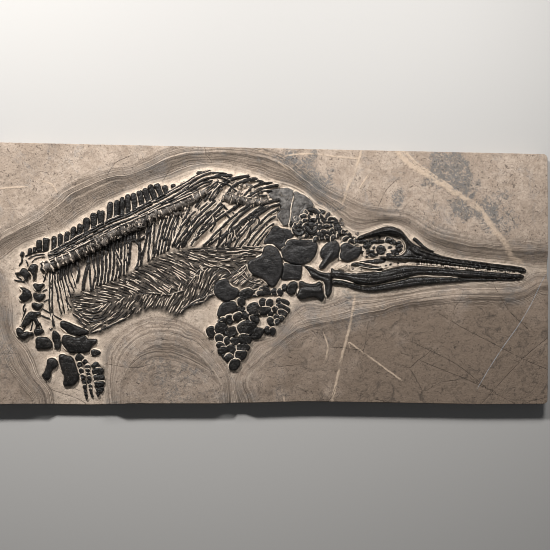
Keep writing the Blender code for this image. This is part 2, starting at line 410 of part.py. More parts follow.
# Belly ribs, flattened onto one another: the outline of the whole basket and the ridges of its strands
BASKET = [
    (-55.2, -5.9), (-53, -5.5), (-49, -3.9), (-46, -2.9), (-43, -1.5), (-40, -0.2), (-37, 1.5), (-34, 3.3),
    (-31, 4.8), (-28.4, 6.0), (-24, 6.9), (-20, 7.2), (-15, 7.6), (-10, 7.6), (-6.6, 7.7), (-4.4, 7.5),
    (-4.6, 6.2), (-6.0, 5.0), (-8.2, 4.2), (-8.7, 2.8),
    (-8.3, 0.9), (-6.6, -0.4), (-4.6, -1.4), (-3.6, -2.6),
    (-6.4, -2.7), (-10, -2.5), (-12.6, -1.9), (-13.3, -0.6), (-15.6, -0.9), (-17.3, -2.0), (-17.7, -4.6),
    (-18.4, -6.2), (-20.4, -7.5), (-23, -8.3), (-25, -9.5), (-26.4, -10.5), (-28.5, -10.5), (-31, -9),
    (-33.5, -9), (-37, -10.4), (-41, -12), (-44, -13.5), (-47.5, -15.0), (-49.8, -15.6), (-52.4, -13.6),
    (-54.4, -10.2),
]
BASKET_THICKNESS = 0.0032
# Sheaves of strands: first strand, last strand (each from start to end) and how many lie between them
SHEAVES = [
    (((-53.6, -6.4), (-37.0, 0.4)), ((-49.5, -14.2), (-31.4, -5.6)), 8),
    (((-36.6, 1.0), (-27.0, -3.0)), ((-30.0, 4.8), (-19.0, -1.4)), 5),
    (((-26.6, 5.6), (-17.4, 1.6)), ((-22.0, 6.5), (-10.0, 6.9)), 4),
    (((-26.2, -5.0), (-29.4, -9.4)), ((-19.6, -0.4), (-19.4, -7.0)), 5),
    (((-38.6, -10.4), (-29.6, -6.6)), ((-34.0, -9.0), (-28.6, -7.8)), 3),
    (((-17.4, 0.9), (-9.4, 4.4)), ((-12.4, -1.2), (-8.4, -0.4)), 4),
]

STONE = ((0.56, 0.48, 0.39, 1), 0.85)
DARK_BONE = ((0.055, 0.047, 0.043, 1), 0.5)
GREY_BONE = ((0.12, 0.108, 0.1, 1), 0.52)
BROWN_BONE = ((0.085, 0.07, 0.06, 1), 0.55)


def metres(point):
    return Vector((point[0] * CM, point[1] * CM, 0))


def resample(points, count):
    """Spread `count` places evenly along a line of points."""
    line = [metres(point) for point in points]
    lengths = [(b - a).length for a, b in zip(line, line[1:])]
    total = sum(lengths)
    places = []
    for index in range(count):
        wanted = total * index / (count - 1)
        for start, end, length in zip(line, line[1:], lengths):
            if wanted <= length or end is line[-1]:
                places.append(start.lerp(end, min(1, wanted / length)))
                break
            wanted -= length
    return places


def new_object(mesh_builder, name, collection):
    mesh = bpy.data.meshes.new(name)
    bmesh.ops.recalc_face_normals(mesh_builder, faces=mesh_builder.faces)
    mesh_builder.to_mesh(mesh)
    mesh_builder.free()
    made = bpy.data.objects.new(name, mesh)
    collection.objects.link(made)
    return made


def skin(rings, name, collection):
    """Close a row of equal rings into one body, with a flat face at either end."""
    builder = bmesh.new()
    rows = [[builder.verts.new(place) for place in ring] for ring in rings]
    for row, following in zip(rows, rows[1:]):
        for index, vert in enumerate(row):
            other = (index + 1) % len(row)
            builder.faces.new((vert, row[other], following[other], following[index]))
    builder.faces.new(rows[0])
    builder.faces.new(list(reversed(rows[-1])))
    return new_object(builder, name, collection)


def sweep(places, widths, heights, section, name, collection, base=BONE_BASE):
    """Carry a section along the places, upright, with its foot on the base."""
    rings = []
    for index, place in enumerate(places):
        ahead = places[min(index + 1, len(places) - 1)] - places[max(index - 1, 0)]
        side = Vector((-ahead.y, ahead.x, 0)).normalized()
        rings.append([
            place + side * across * widths[index] + Vector((0, 0, base + up * heights[index]))
            for across, up in section
        ])
    return skin(rings, name, collection)


def rod(points, half_width, name, collection, height=None, stations=None, base=BONE_BASE):
    """A rib or rod that narrows to both ends."""
    count = stations or max(3, len(points))
    places = resample(points, count)
    taper = [0.7] + [1.0] * (count - 2) + [0.6]
    high = height or half_width * CM * 1.5
    return sweep(places, [half_width * CM * t for t in taper], [high * t for t in taper], ROD_SECTION,
                 name, collection, base)


def plate(outline, base, top, name, collection, bevel=0.0022, grow=0.0):
    """A flat bone: its outline stood up, with the upper brim rounded off."""
    builder = bmesh.new()
    verts = [builder.verts.new(metres(point) + Vector((0, 0, base))) for point in outline]
    face = builder.faces.new(verts)
    face.normal_update()
    if face.normal.z < 0:
        face.normal_flip()
    if grow:
        moved = []
        loop = list(face.verts)
        for index, vert in enumerate(loop):
            before = (vert.co - loop[index - 1].co).normalized()
            after = (loop[(index + 1) % len(loop)].co - vert.co).normalized()
            out = Vector((before.y + after.y, -before.x - after.x, 0))
            reach = max(0.35, out.length / 2)
            moved.append(vert.co + out.normalized() * grow / reach)
        for vert, place in zip(loop, moved):
            vert.co = place
    raised = bmesh.ops.extrude_face_region(builder, geom=[face])["geom"]
    for item in raised:
        if isinstance(item, bmesh.types.BMVert):
            item.co.z = top
    if bevel:
        brim = [edge for edge in builder.edges if all(abs(vert.co.z - top) < 1e-6 for vert in edge.verts)]
        bmesh.ops.bevel(builder, geom=brim, offset=bevel, segments=1, affect="EDGES", clamp_overlap=True)
    bmesh.ops.triangulate(builder, faces=[face for face in builder.faces if len(face.verts) > 4])
    return new_object(builder, name, collection)


def boolean(target, operation, other=None, group=None):
    modifier = target.modifiers.new(operation.lower(), "BOOLEAN")
    modifier.operation = operation
    modifier.solver = "EXACT"
    if group:
        modifier.operand_type = "COLLECTION"
        modifier.collection = group
    else:
        modifier.object = other
    bpy.context.view_layer.update()
    depsgraph = bpy.context.evaluated_depsgraph_get()
    result = bpy.data.meshes.new_from_object(target.evaluated_get(depsgraph))
    target.modifiers.clear()
    old = target.data
    target.data = result
    bpy.data.meshes.remove(old)
    target.data.name = target.name
    return target


def new_collection(name):
    made = bpy.data.collections.new(name)
    bpy.context.scene.collection.children.link(made)
    return made


def fuse(pieces, name, collection):
    """Grow several solids together into one body."""
    first, *others = pieces
    group = new_collection("joined_" + name)
    for piece in others:
        group.objects.link(piece)
        cutters.objects.unlink(piece)
    cutters.objects.unlink(first)
    collection.objects.link(first)
    first.name = name
    boolean(first, "UNION", group=group)
    for piece in others:
        bpy.data.objects.remove(piece)
    bpy.data.collections.remove(group)
    builder = bmesh.new()
    builder.from_mesh(first.data)
    bmesh.ops.remove_doubles(builder, verts=builder.verts, dist=0.00002)
    bmesh.ops.dissolve_degenerate(builder, dist=0.00002, edges=builder.edges)
    bmesh.ops.dissolve_limit(builder, angle_limit=0.05, verts=builder.verts, edges=builder.edges)
    bmesh.ops.triangulate(builder, faces=builder.faces)
    builder.to_mesh(first.data)
    builder.free()
    return first


def finish(made, look):
    name = made.name
    colour, roughness = look
    material = bpy.data.materials.new(name + "_material")
    material.use_nodes = True
    shader = material.node_tree.nodes["Principled BSDF"]
    shader.inputs["Base Color"].default_value = colour
    shader.inputs["Roughness"].default_value = roughness
    material.diffuse_color = colour
    made.data.materials.clear()
    made.data.materials.append(material)
    return made


for stale in list(bpy.data.objects):
    bpy.data.objects.remove(stale)
chance = random.Random(SEED)
fossil = new_collection("fossil_ichthyosaur_skeleton")
cutters = new_collection("cutters")
cutters.hide_render = True

# Slab: a sawn block whose lower edge wanders a little, with the hollow cut into its upper face
half_length, half_width = SLAB_LENGTH / 2 / CM, SLAB_WIDTH / 2 / CM
corner = SLAB_CORNER / CM
outline = [(-half_length, half_width), (-half_length, -half_width + 0.2)]
outline += [(x, inwards - half_width) for x, inwards in LOWER_EDGE_WAVES]
for start, centre in (
    (-90, (half_length - corner, -half_width + corner)), (0, (half_length - corner, half_width - corner)),
):
    for step in range(4):
        turn = math.radians(start + step * 30)
        outline.append((centre[0] + corner * math.cos(turn), centre[1] + corner * math.sin(turn)))
slab = plate(outline, 0, SLAB_THICKNESS, "stone_slab", fossil, bevel=SLAB_EDGE_BEVEL)
wall_rings = []
for share, depth in reversed(WALL_STEPS):
    wall_rings.append([
        metres(brink).lerp(metres(toe), share) + Vector((0, 0, BONE_FLOOR + depth * HOLLOW_DEPTH))
        for brink, toe in HOLLOW_WALL
    ])
wall_rings.append([place + Vector((0, 0, CUTTER_REACH)) for place in wall_rings[-1]])
hollow = skin(wall_rings, "hollow", cutters)
hollow.display_type = "WIRE"
boolean(slab, "DIFFERENCE", other=hollow)
finish(slab, STONE)

# Flat bones
for group, look in (
    (SKULL_BONES, BROWN_BONE), (SHOULDER_BONES, GREY_BONE),
    (NECK_BONES, DARK_BONE), (TAIL_BONES, DARK_BONE),
    (HIND_LIMB_BONES, DARK_BONE), (LOOSE_BONES, BROWN_BONE), (FORE_PADDLE_DISCS, BROWN_BONE),
):
    for name, (height, shape) in group.items():
        finish(plate(shape, BONE_BASE, BONE_BASE + height, name, fossil), look)

# Digits: each bone an eight-sided tablet, grown against its neighbours
for name, (height, heading, bones) in DIGITS.items():
    tablets = []
    turn = math.radians(heading)
    along = Vector((math.cos(turn), math.sin(turn)))
    across = Vector((-along.y, along.x))
    for index, (x, y, length, width) in enumerate(bones):
        ring = []
        for step in range(7):
            bearing = 2 * math.pi * (step + 0.5) / 7
            reach = 1 + chance.uniform(-0.05, 0.05)
            ring.append(Vector((x, y)) + along * length * reach * math.cos(bearing) * 1.04
                        + across * width * reach * math.sin(bearing) * 1.04)
        top = BONE_BASE + height * (1 - 0.06 * (index % 2))
        tablets.append(plate(ring, BONE_BASE, top, f"{name}_{index}", cutters, bevel=0))
    finish(fuse(tablets, name, fossil), DARK_BONE)

# Backbone: waisted drums that touch at their rims, with the ribs grown onto them
for name, line, ribs, widest in (
    ("rear_backbone", SPINE_REAR, REAR_RIBS, 1.0), ("front_backbone", SPINE_FRONT, FRONT_RIBS, 0.82),
):
    run = sum((metres(b) - metres(a)).length for a, b in zip(line, line[1:]))
    drums = round(run / CENTRUM_LENGTH)
    places = resample(line, drums * 2 + 1)
    sizes = []
    for index in range(len(places)):
        growth = min(1.0, 0.78 + index * 0.02) if name == "rear_backbone" else 1.0
        sizes.append(widest * growth * (0.9 if index % 2 else 1.0))
    widths = [CENTRUM_RADIUS * size for size in sizes]
    drum_row = sweep(places, widths, [width * 1.3 for width in widths], SPINE_SECTION, name + "_drums",
                     cutters)
    pieces = [drum_row]
    for index, (half, points) in enumerate(ribs):
        pieces.append(rod(points, half, f"{name}_rib_{index}", cutters))
    finish(fuse(pieces, name, fossil), DARK_BONE)

# Arches and spines above the backbone
pieces = []
middle = resample(ARCH_LINE, ARCH_STATIONS)
for index, (offset, height) in enumerate(ARCH_RODS):
    places = []
    for step, place in enumerate(middle):
        ahead = middle[min(step + 1, ARCH_STATIONS - 1)] - middle[max(step - 1, 0)]
        side = Vector((-ahead.y, ahead.x, 0)).normalized()
        places.append(place + side * offset * CM)
    pieces.append(sweep(places, [0.0046] * ARCH_STATIONS, [height] * ARCH_STATIONS, ROD_SECTION,
                        f"arch_rod_{index}", cutters))
for index, (foot, tip, width) in enumerate(NEURAL_SPINES):
    pieces.append(rod([foot, tip], width / 2, f"spine_{index}", cutters, height=0.0068, stations=3))
finish(fuse(pieces, "neural_arches", fossil), DARK_BONE)
pieces = [rod(TAIL_ARCH, 0.4, "tail_arch", cutters, height=0.0050)]
for index, (foot, tip, width) in enumerate(TAIL_SPINES):
    pieces.append(rod([foot, tip], width / 2, f"tail_spine_{index}", cutters, height=0.0062, stations=3))
finish(fuse(pieces, "tail_arches", fossil), DARK_BONE)

# Belly basket: the mat of flattened strands with the uppermost ones standing proud
pieces = [plate(BASKET, BONE_BASE, BONE_BASE + BASKET_THICKNESS, "basket_mat", cutters, bevel=0)]
for sheaf, (first, last, count) in enumerate(SHEAVES):
    for index in range(count):
        share = index / (count - 1)
        start, end = (metres(a).lerp(metres(b), share) / CM for a, b in zip(first, last))
        sway = Vector((0, chance.uniform(-0.25, 0.25)))
        bend = (start.xy + end.xy) / 2 + sway
        pieces.append(rod([start.xy, bend, end.xy], 0.34, f"strand_{sheaf}_{index}", cutters,
                          height=BASKET_THICKNESS * 0.5 + chance.uniform(0, 0.0008), stations=3,
                          base=BONE_BASE + BASKET_THICKNESS * 0.8))
finish(fuse(pieces, "belly_ribs", fossil), BROWN_BONE)
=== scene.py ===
# Dresses the ichthyosaur slab: stone, bones, light and camera. Plan figures are centimetres on the slab.
import math
import random

import bmesh
import bpy
import numpy as np
from mathutils import Matrix, Vector, noise


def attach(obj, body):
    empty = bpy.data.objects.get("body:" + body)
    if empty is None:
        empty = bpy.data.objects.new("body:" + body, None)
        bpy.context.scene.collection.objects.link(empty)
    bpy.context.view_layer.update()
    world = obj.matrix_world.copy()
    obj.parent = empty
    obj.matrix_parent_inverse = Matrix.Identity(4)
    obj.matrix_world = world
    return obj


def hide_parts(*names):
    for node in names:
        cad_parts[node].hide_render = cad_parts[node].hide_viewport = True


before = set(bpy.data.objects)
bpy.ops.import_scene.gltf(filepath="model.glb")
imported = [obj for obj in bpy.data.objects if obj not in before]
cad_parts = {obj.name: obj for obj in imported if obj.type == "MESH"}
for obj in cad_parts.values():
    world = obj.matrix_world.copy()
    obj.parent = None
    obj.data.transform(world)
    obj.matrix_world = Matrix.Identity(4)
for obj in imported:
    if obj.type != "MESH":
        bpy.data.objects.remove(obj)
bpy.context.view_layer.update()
root = bpy.context.scene.collection
# Heights in cm: the slab's face, the hollow's floor, the top of any bone plate, the top of all; then cm in metres
slabTop, boneBed, plateTop, ceiling, toMetres = 4.0, 3.0, 5.15, 5.16, 0.01


# Plan geometry
def cumulative(line):
    return np.concatenate([[0], np.cumsum(np.linalg.norm(np.diff(line, axis=0), axis=1))])


def sideways(line):
    # Unit vectors to the left of a line, one for each of its points
    ahead = np.gradient(line, axis=0)
    ahead /= np.maximum(np.linalg.norm(ahead, axis=1), 1e-6)[:, None]
    return np.stack([-ahead[:, 1], ahead[:, 0]], 1)


def smoothLine(points, step, closed=False):
    # Centripetal spline through the points, then even spacing
    pts = np.array(points, float)
    ends = (pts[-1:], pts[:2]) if closed else (2 * pts[:1] - pts[1:2], 2 * pts[-1:] - pts[-2:-1])
    run = np.concatenate([ends[0], pts, ends[1]])
    made = []
    for a, b, c, d in zip(run, run[1:], run[2:], run[3:]):
        t1 = max(np.linalg.norm(b - a), 1e-4) ** 0.5
        t2 = t1 + max(np.linalg.norm(c - b), 1e-4) ** 0.5
        t3 = t2 + max(np.linalg.norm(d - c), 1e-4) ** 0.5
        count = max(2, int(np.linalg.norm(c - b) / step * 2))
        t = np.linspace(t1, t2, count, endpoint=False)[:, None]
        p1, p2, p3 = a + (b - a) * t / t1, b + (c - b) * (t - t1) / (t2 - t1), c + (d - c) * (t - t2) / (t3 - t2)
        q1, q2 = p1 + (p2 - p1) * t / t2, p2 + (p3 - p2) * (t - t1) / (t3 - t1)
        made.append(q1 + (q2 - q1) * (t - t1) / (t2 - t1))
    line = np.concatenate(made + [run[-2:-1]])
    along = cumulative(line)
    count = max(3 if closed else 2, int(round(along[-1] / step)))
    places = np.linspace(0, along[-1], count, endpoint=not closed)
    return np.stack([np.interp(places, along, line[:, k]) for k in (0, 1)], 1)


def nearest(points, line, closed=False):
    # Distance, closest place and side of each point from a line
    ends = np.roll(line, -1, axis=0) if closed else line[1:]
    starts = line if closed else line[:-1]
    best = np.full(len(points), 1e9)
    place, side = np.zeros((len(points), 2)), np.zeros(len(points))
    for a, b in zip(starts, ends):
        d = b - a
        t = np.clip(((points - a) @ d) / max(d @ d, 1e-9), 0, 1)
        q = a + t[:, None] * d
        away = np.hypot(*(points - q).T)
        closer = away < best
        best[closer], place[closer] = away[closer], q[closer]
        side[closer] = np.sign(d[0] * (points[closer, 1] - a[1]) - d[1] * (points[closer, 0] - a[0]))
    return best, place, side


def turned(ring):
    # Twice a ring's area, positive when it runs to the left
    return np.sum(ring[:, 0] * np.roll(ring[:, 1], -1) - ring[:, 1] * np.roll(ring[:, 0], -1))


def inside(points, ring):
    found = np.zeros(len(points), bool)
    for a, b in zip(ring, np.roll(ring, -1, axis=0)):
        if a[1] != b[1]:
            crosses = (a[1] > points[:, 1]) != (b[1] > points[:, 1])
            found ^= crosses & (points[:, 0] < (b[0] - a[0]) * (points[:, 1] - a[1]) / (b[1] - a[1]) + a[0])
    return found


def ease(low, high, x):
    t = np.clip((x - low) / (high - low), 0, 1)
    return t * t * (3 - 2 * t)


def grain(x, y, scale, seed=0.0, depth=3):
    # Rough number around 0 for one place
    return noise.fractal(Vector((x * scale, y * scale, seed)), 0.6, 2.1, depth)


def grainField(points, scale, seed=0.0, depth=3):
    return np.array([grain(x, y, scale, seed, depth) for x, y in points])


def placed(mesh, name, look):
    made = bpy.data.objects.new(name, mesh)
    mesh.name = name
    mesh.materials.clear()
    mesh.materials.append(look)
    root.objects.link(made)
    return made


# Shader writing
class Sock:
    # One socket; arithmetic on it adds Math nodes
    def __init__(self, tree, socket):
        self.tree, self.socket = tree, socket

    def sum(self, operation, *values):
        made = self.tree.nodes.new("ShaderNodeMath")
        made.operation = operation
        for place, value in zip(made.inputs, values):
            plug(self.tree, place, value)
        return Sock(self.tree, made.outputs[0])

    def __add__(self, other):
        return self.sum("ADD", self, other)

    def __sub__(self, other):
        return self.sum("SUBTRACT", self, other)

    def __rsub__(self, other):
        return self.sum("SUBTRACT", other, self)

    def __mul__(self, other):
        return self.sum("MULTIPLY", self, other)

    def __truediv__(self, other):
        return self.sum("DIVIDE", self, other)

    def __abs__(self):
        return self.sum("ABSOLUTE", self)

    __radd__, __rmul__ = __add__, __mul__


def plug(tree, place, value):
    if isinstance(value, Sock):
        tree.links.new(value.socket, place)
    else:
        place.default_value = value


class Look:
    # A material and the short ways to add nodes to it
    def __init__(self, name):
        self.material = bpy.data.materials.new(name)
        self.material.use_nodes = True
        self.tree = self.material.node_tree
        self.shader = self.tree.nodes["Principled BSDF"]
        self.place = self.add("ShaderNodeTexCoord", out="Object")

    def add(self, kind, settings=None, out=0, **inputs):
        made = self.tree.nodes.new(kind)
        for key, value in (settings or {}).items():
            if key == "stops":
                while len(made.color_ramp.elements) < len(value):
                    made.color_ramp.elements.new(0.5)
                for stop, (at, colour) in zip(made.color_ramp.elements, value):
                    stop.position, stop.color = at, colour
            else:
                setattr(made, key, value)
        for key, value in inputs.items():
            place = made.inputs[int(key[1:])] if key[0] == "i" and key[1:].isdigit() else made.inputs[key]
            plug(self.tree, place, value)
        return Sock(self.tree, made.outputs[out])

    def noise(self, scale, detail=3, rough=0.55, place=None, warp=0.0):
        return self.add("ShaderNodeTexNoise", out="Fac", Vector=place or self.place, Scale=scale, Detail=detail,
                        Roughness=rough, Distortion=warp)

    def gate(self, value, low, high):
        # 0 below low, 1 above high
        return self.add("ShaderNodeMapRange", {"interpolation_type": "SMOOTHSTEP"}, Value=value,
                        **{"From Min": low, "From Max": high})

    def blend(self, share, first, second, mode="MIX"):
        return self.add("ShaderNodeMix", {"data_type": "RGBA", "blend_type": mode}, out=2, i0=share, i6=first,
                        i7=second)

    def attribute(self, name, out="Fac"):
        return self.add("ShaderNodeAttribute", {"attribute_name": name}, out=out)

    def stretched(self, scale, turn=0.0):
        return self.add("ShaderNodeMapping", out=0, Vector=self.place, Scale=scale, Rotation=(0, 0, turn))

    def finish(self, colour, rough, height=None, depth=0.001, **rest):
        plug(self.tree, self.shader.inputs["Base Color"], colour)
        plug(self.tree, self.shader.inputs["Roughness"], rough)
        for key, value in rest.items():
            self.shader.inputs[key.replace("_", " ")].default_value = value
        if height is not None:
            bump = self.add("ShaderNodeBump", out=0, Height=height, Distance=depth, Strength=1.0)
            self.tree.links.new(bump.socket, self.shader.inputs["Normal"])
        return self.material


# Stone
stoneTones = {
    "warm": (0.395, 0.312, 0.246, 1), "pale": (0.570, 0.468, 0.384, 1), "grey": (0.165, 0.165, 0.162, 1),
    "brown": (0.235, 0.180, 0.138, 1), "bed": (0.088, 0.072, 0.060, 1), "fresh": (0.830, 0.700, 0.570, 1),
    # The crushed tone is crushed bone and also painted shade and shadow
    "vein": (0.62, 0.49, 0.375, 1), "crushed": (0.026, 0.0222, 0.0195, 1), "coldVein": (0.46, 0.50, 0.56, 1),
    # The wall tone is painted shade for the upper wall
    "crack": (0.050, 0.041, 0.035, 1), "speck": (0.080, 0.066, 0.056, 1), "wall": (0.185, 0.148, 0.115, 1),
    "cold": (0.255, 0.262, 0.268, 1),
}


def stoneLook():
    look = Look("bedded_limestone")
    tone = stoneTones
    x, y, z = (look.add("ShaderNodeSeparateXYZ", out=k, Vector=look.place) for k in range(3))
    broad = look.noise(4.5, 4, 0.6, warp=0.6)
    middle = look.noise(19, 6, 0.68, warp=0.5)
    fine = look.noise(85, 5, 0.7)
    gritty = look.noise(420, 3, 0.6)
    base = look.blend(look.gate(middle * 0.7 + fine * 0.3, 0.36, 0.64), tone["warm"], tone["pale"])
    base = look.blend(look.gate(broad * 0.55 + middle * 0.45, 0.49, 0.62) * 0.6, base, tone["brown"])
    # Cold grey stains: soft patches broken up by a finer mottling
    stain, bed, banding, fresh = (look.attribute(name) for name in ("stain", "bed", "banding", "fresh"))
    blotch = look.noise(60, 8, 0.84, warp=1.6)
    base = look.blend(look.gate(blotch + stain * 0.15, 0.54, 0.66) * look.gate(stain, 0.04, 0.6) * 0.88, base,
                      tone["grey"])
    cool = look.gate(look.noise(8, 7, 0.8, warp=1.8), 0.50, 0.66) * look.gate(blotch, 0.40, 0.58)
    base = look.blend(cool * 0.5 * (1 - fresh), base, tone["cold"])
    # Bedding lines that come out along the hollow's wall; its upper stretch gets painted shade, as it faces away from
    # the light
    wander = bed + (look.noise(9, 3, 0.5) - 0.5) * 0.20 + (fine - 0.5) * 0.05
    wallShade = look.gate(wander, -0.06, 0.16) * (1 - look.gate(wander, 0.62, 1.12)) * look.attribute("shade")
    # Painted shade: darker towards the lower right and the bottom, where the light falls off
    base = look.blend(look.attribute("deep") * 0.97, base, tone["brown"])
    # Painted shade on the upper wall
    base = look.blend(wallShade * 0.56, base, tone["wall"])
    layers = []
    for stretch, slip, low, high in ((7, 0.4, 0.53, 0.61), (19, 1.2, 0.51, 0.60), (45, 2.5, 0.52, 0.64)):
        at = look.add("ShaderNodeCombineXYZ", out=0, X=wander * stretch, Y=x * slip, Z=y * slip)
        layer = look.noise(1, 3, 0.7, place=at)
        layers.append((look.gate(layer, low, high), look.gate(layer, 0.36, 0.46)))
    lines = layers[0][0] * 0.55 + layers[1][0] * 0.75 + layers[2][0] * 0.6
    base = look.blend(banding * lines * 0.46, base, tone["bed"])
    base = look.blend(banding * (1 - layers[1][1]) * 0.62 * (1 - wallShade * 0.7), base, tone["fresh"])
    mottle = look.gate(look.noise(13, 4, 0.7), 0.5, 0.62)
    base = look.blend(banding * mottle * layers[0][1] * 0.4, base, tone["cold"])
    # Fresh stone that the preparator left around the bones
    base = look.blend(fresh * look.gate(fine, 0.22, 0.58) * 0.9, base, tone["fresh"])
    # Crushed bone under the mat, with painted shade between its strands and between the bones of neck and paddles,
    # and a painted shadow in the lee of the column
    crumbledAndShade = look.attribute("crushed") * look.gate(middle * 0.5 + fine * 0.5, 0.28, 0.50)
    base = look.blend(crumbledAndShade, base, tone["crushed"])
    # Specks and stains on the old surface
    skin = 1 - look.gate(fresh + banding * 0.6, 0.2, 0.8)
    pepper = look.gate(look.noise(165, 5, 0.82), 0.49, 0.66)
    dots = look.gate(look.noise(95, 4, 0.65, warp=0.6), 0.62, 0.70)
    dust = look.gate(look.noise(240, 3, 0.6), 0.58, 0.67) * look.gate(look.noise(14, 5, 0.75), 0.34, 0.56)
    # The bed-coloured patches grow in the painted falloff shade
    patches = look.gate(look.noise(30, 7, 0.78, warp=1.4), 0.50, 0.64) * (0.25 + look.attribute("deep") * 0.5)
    base = look.blend(patches * skin, base, tone["bed"])
    base = look.blend(pepper * (skin * 0.34 + 0.10), base, tone["brown"])
    base = look.blend((dust * 0.8 + dots * 0.7) * (skin * 0.85 + 0.08), base, tone["speck"])
    # Veins, cold hair veins and cracks, each from its own distance
    seams = []
    for name, width, ragged, strength in (("vein", 0.34, 0.32, 0.82), ("coldVein", 0.12, 0.08, 0.8),
                                          ("crack", 0.07, 0.05, 0.9)):
        away, near = look.attribute(name), look.attribute(name + "Near")
        wobble = (fine - 0.5) * ragged * 2.6 + (middle - 0.5) * ragged * 1.6 + (gritty - 0.5) * ragged * 0.6
        share = (1 - look.gate(abs(away + wobble * 0.6), width * 0.25, width)) * near
        share = share * look.gate(look.noise(23, 4, 0.7), 0.36, 0.52)
        base = look.blend(share * strength, base, tone[name])
        seams.append(share)
    # Hairlines of their own making
    bent = look.add("ShaderNodeMix", {"data_type": "VECTOR"}, out=1, i0=0.055, i4=look.place,
                    i5=look.add("ShaderNodeTexNoise", out="Color", Vector=look.place, Scale=9.0, Detail=4.0))
    web = look.add("ShaderNodeTexVoronoi", {"feature": "DISTANCE_TO_EDGE"}, out="Distance", Vector=bent, Scale=6.0)
    hair = (1 - look.gate(web, 0.0015, 0.006)) * look.gate(look.noise(7, 2, 0.5), 0.52, 0.62) * skin
    base = look.blend(hair * 0.6, base, tone["bed"])
    base = look.blend(1.0, base, look.blend(look.gate(gritty, 0.3, 0.7), (0.86, 0.85, 0.84, 1), (1, 1, 1, 1)),
                      "MULTIPLY")
    height = (middle * 0.9 + fine * 0.85 + gritty * 0.3 - dots * 0.35 - pepper * 0.15 - hair * 0.5
              - lines * banding * 0.55 - seams[2] * 0.8 + seams[0] * 0.25)
    return look.finish(base, 0.86 - fresh * 0.05 + (gritty - 0.5) * 0.2, height, 0.0026,
                       Specular_IOR_Level=0.25)


def rimLook(name, low, high):
    # Pale stone left standing against the bones
    look = Look(name)
    fine, gritty = look.noise(70, 5, 0.65), look.noise(330, 3, 0.6)
    base = look.blend(look.gate(fine, 0.3, 0.62), low, high)
    base = look.blend(look.gate(gritty, 0.58, 0.72) * 0.4, base, (0.2, 0.16, 0.13, 1))
    return look.finish(base, 0.82, fine * 0.8 + gritty * 0.5, 0.0012, Specular_IOR_Level=0.25)


def boneLook(name, dark, light, dust=0.5, gloss=0.36, brush=0.0, stripes=240.0,
             powderTone=(0.36, 0.29, 0.22, 1), sheen=0.32):
    # Mineral-black bone: mottled, fibrous, with stone dust in its pits and at its foot
    look = Look(name)
    z = look.add("ShaderNodeSeparateXYZ", out=2, Vector=look.place)
    broad, middle = look.noise(22, 4, 0.6), look.noise(90, 5, 0.65)
    fine = look.noise(380, 4, 0.65)
    fibre = look.noise(1, 3, 0.6, place=look.stretched((38, stripes * 1.6, stripes), brush))
    base = look.blend(look.gate(middle * 0.6 + broad * 0.4, 0.36, 0.66), dark, light)
    base = look.blend(look.gate(fibre, 0.56, 0.76) * 0.35, base, tuple(v * 1.9 for v in light[:3]) + (1,))
    pits = look.gate(fine, 0.60, 0.70)
    bent = look.add("ShaderNodeMix", {"data_type": "VECTOR"}, out=1, i0=0.03, i4=look.place,
                    i5=look.add("ShaderNodeTexNoise", out="Color", Vector=look.place, Scale=30.0, Detail=3.0))
    web = look.add("ShaderNodeTexVoronoi", {"feature": "DISTANCE_TO_EDGE"}, out="Distance", Vector=bent, Scale=34.0)
    split = (1 - look.gate(web, 0.004, 0.02)) * look.gate(look.noise(26, 3, 0.6), 0.50, 0.62)
    foot = 1 - look.gate(z + (middle - 0.5) * 0.0022, boneBed * toMetres + 0.0003, boneBed * toMetres + 0.0014)
    powder = look.gate(look.noise(58, 6, 0.72, warp=0.6), 0.58, 0.72)
    base = look.blend((powder * 0.34 + pits * 0.16 + split * 0.3) * dust, base, powderTone)
    base = look.blend(foot * 0.85, base, (0.44, 0.36, 0.275, 1))
    rough = gloss + powder * 0.22 + foot * 0.3 + (fine - 0.5) * 0.25
    height = middle * 0.8 + fine * 0.32 + fibre * 0.5 - split * 0.9 - pits * 0.3
    return look.finish(base, rough, height, 0.0015, Specular_IOR_Level=sheen)


stone = stoneLook()
# Pale matrix, also the colour of painted highlights: light-side threads, drum crests and rims
paleRimAndHighlight = rimLook("pale_matrix_and_highlight", (0.56, 0.455, 0.36, 1), (0.86, 0.745, 0.62, 1))
filling = rimLook("matrix_filling", (0.36, 0.295, 0.235, 1), (0.64, 0.54, 0.44, 1))
looks = {
    "dark": boneLook("black_bone", (0.007, 0.0064, 0.006, 1), (0.024, 0.0225, 0.0215, 1), 0.4, 0.30),
    "grey": boneLook("grey_bone", (0.013, 0.0124, 0.0126, 1), (0.036, 0.0343, 0.034, 1), 0.45, 0.35, 0.9),
    "dusty": boneLook("dusty_bone", (0.040, 0.037, 0.0352, 1), (0.185, 0.173, 0.162, 1), 1.6, 0.42, 0.9),
    "brown": boneLook("brown_bone", (0.006, 0.0054, 0.005, 1), (0.024, 0.0214, 0.0198, 1), 0.8, 0.30),
    "column": boneLook("column_bone", (0.020, 0.0174, 0.0152, 1), (0.165, 0.143, 0.124, 1), 2.6, 0.33, 0.5, 200,
                       (0.64, 0.53, 0.43, 1)),
    "strand": boneLook("strand_bone", (0.012, 0.0106, 0.0096, 1), (0.056, 0.0495, 0.0445, 1), 0.6, 0.30, 0.4, 160),
    "jaw": boneLook("jaw_bone", (0.006, 0.0054, 0.005, 1), (0.024, 0.0216, 0.02, 1), 0.4, 0.27, 0.03, 330,
                    sheen=0.45),
}
slots = {
    "dark": "dark_bone", "grey": "girdle_bone", "dusty": "girdle_bone", "brown": "belly_bone",
    "strand": "belly_bone", "column": "dark_bone", "jaw": "skull_bone",
}
footprints = []  # every bone's plan shape, for the stone that stands against it
threadsAndHighlights = []  # pale threads: painted highlights on the side of a rod that faces the light, and pale lines of stone on the skull
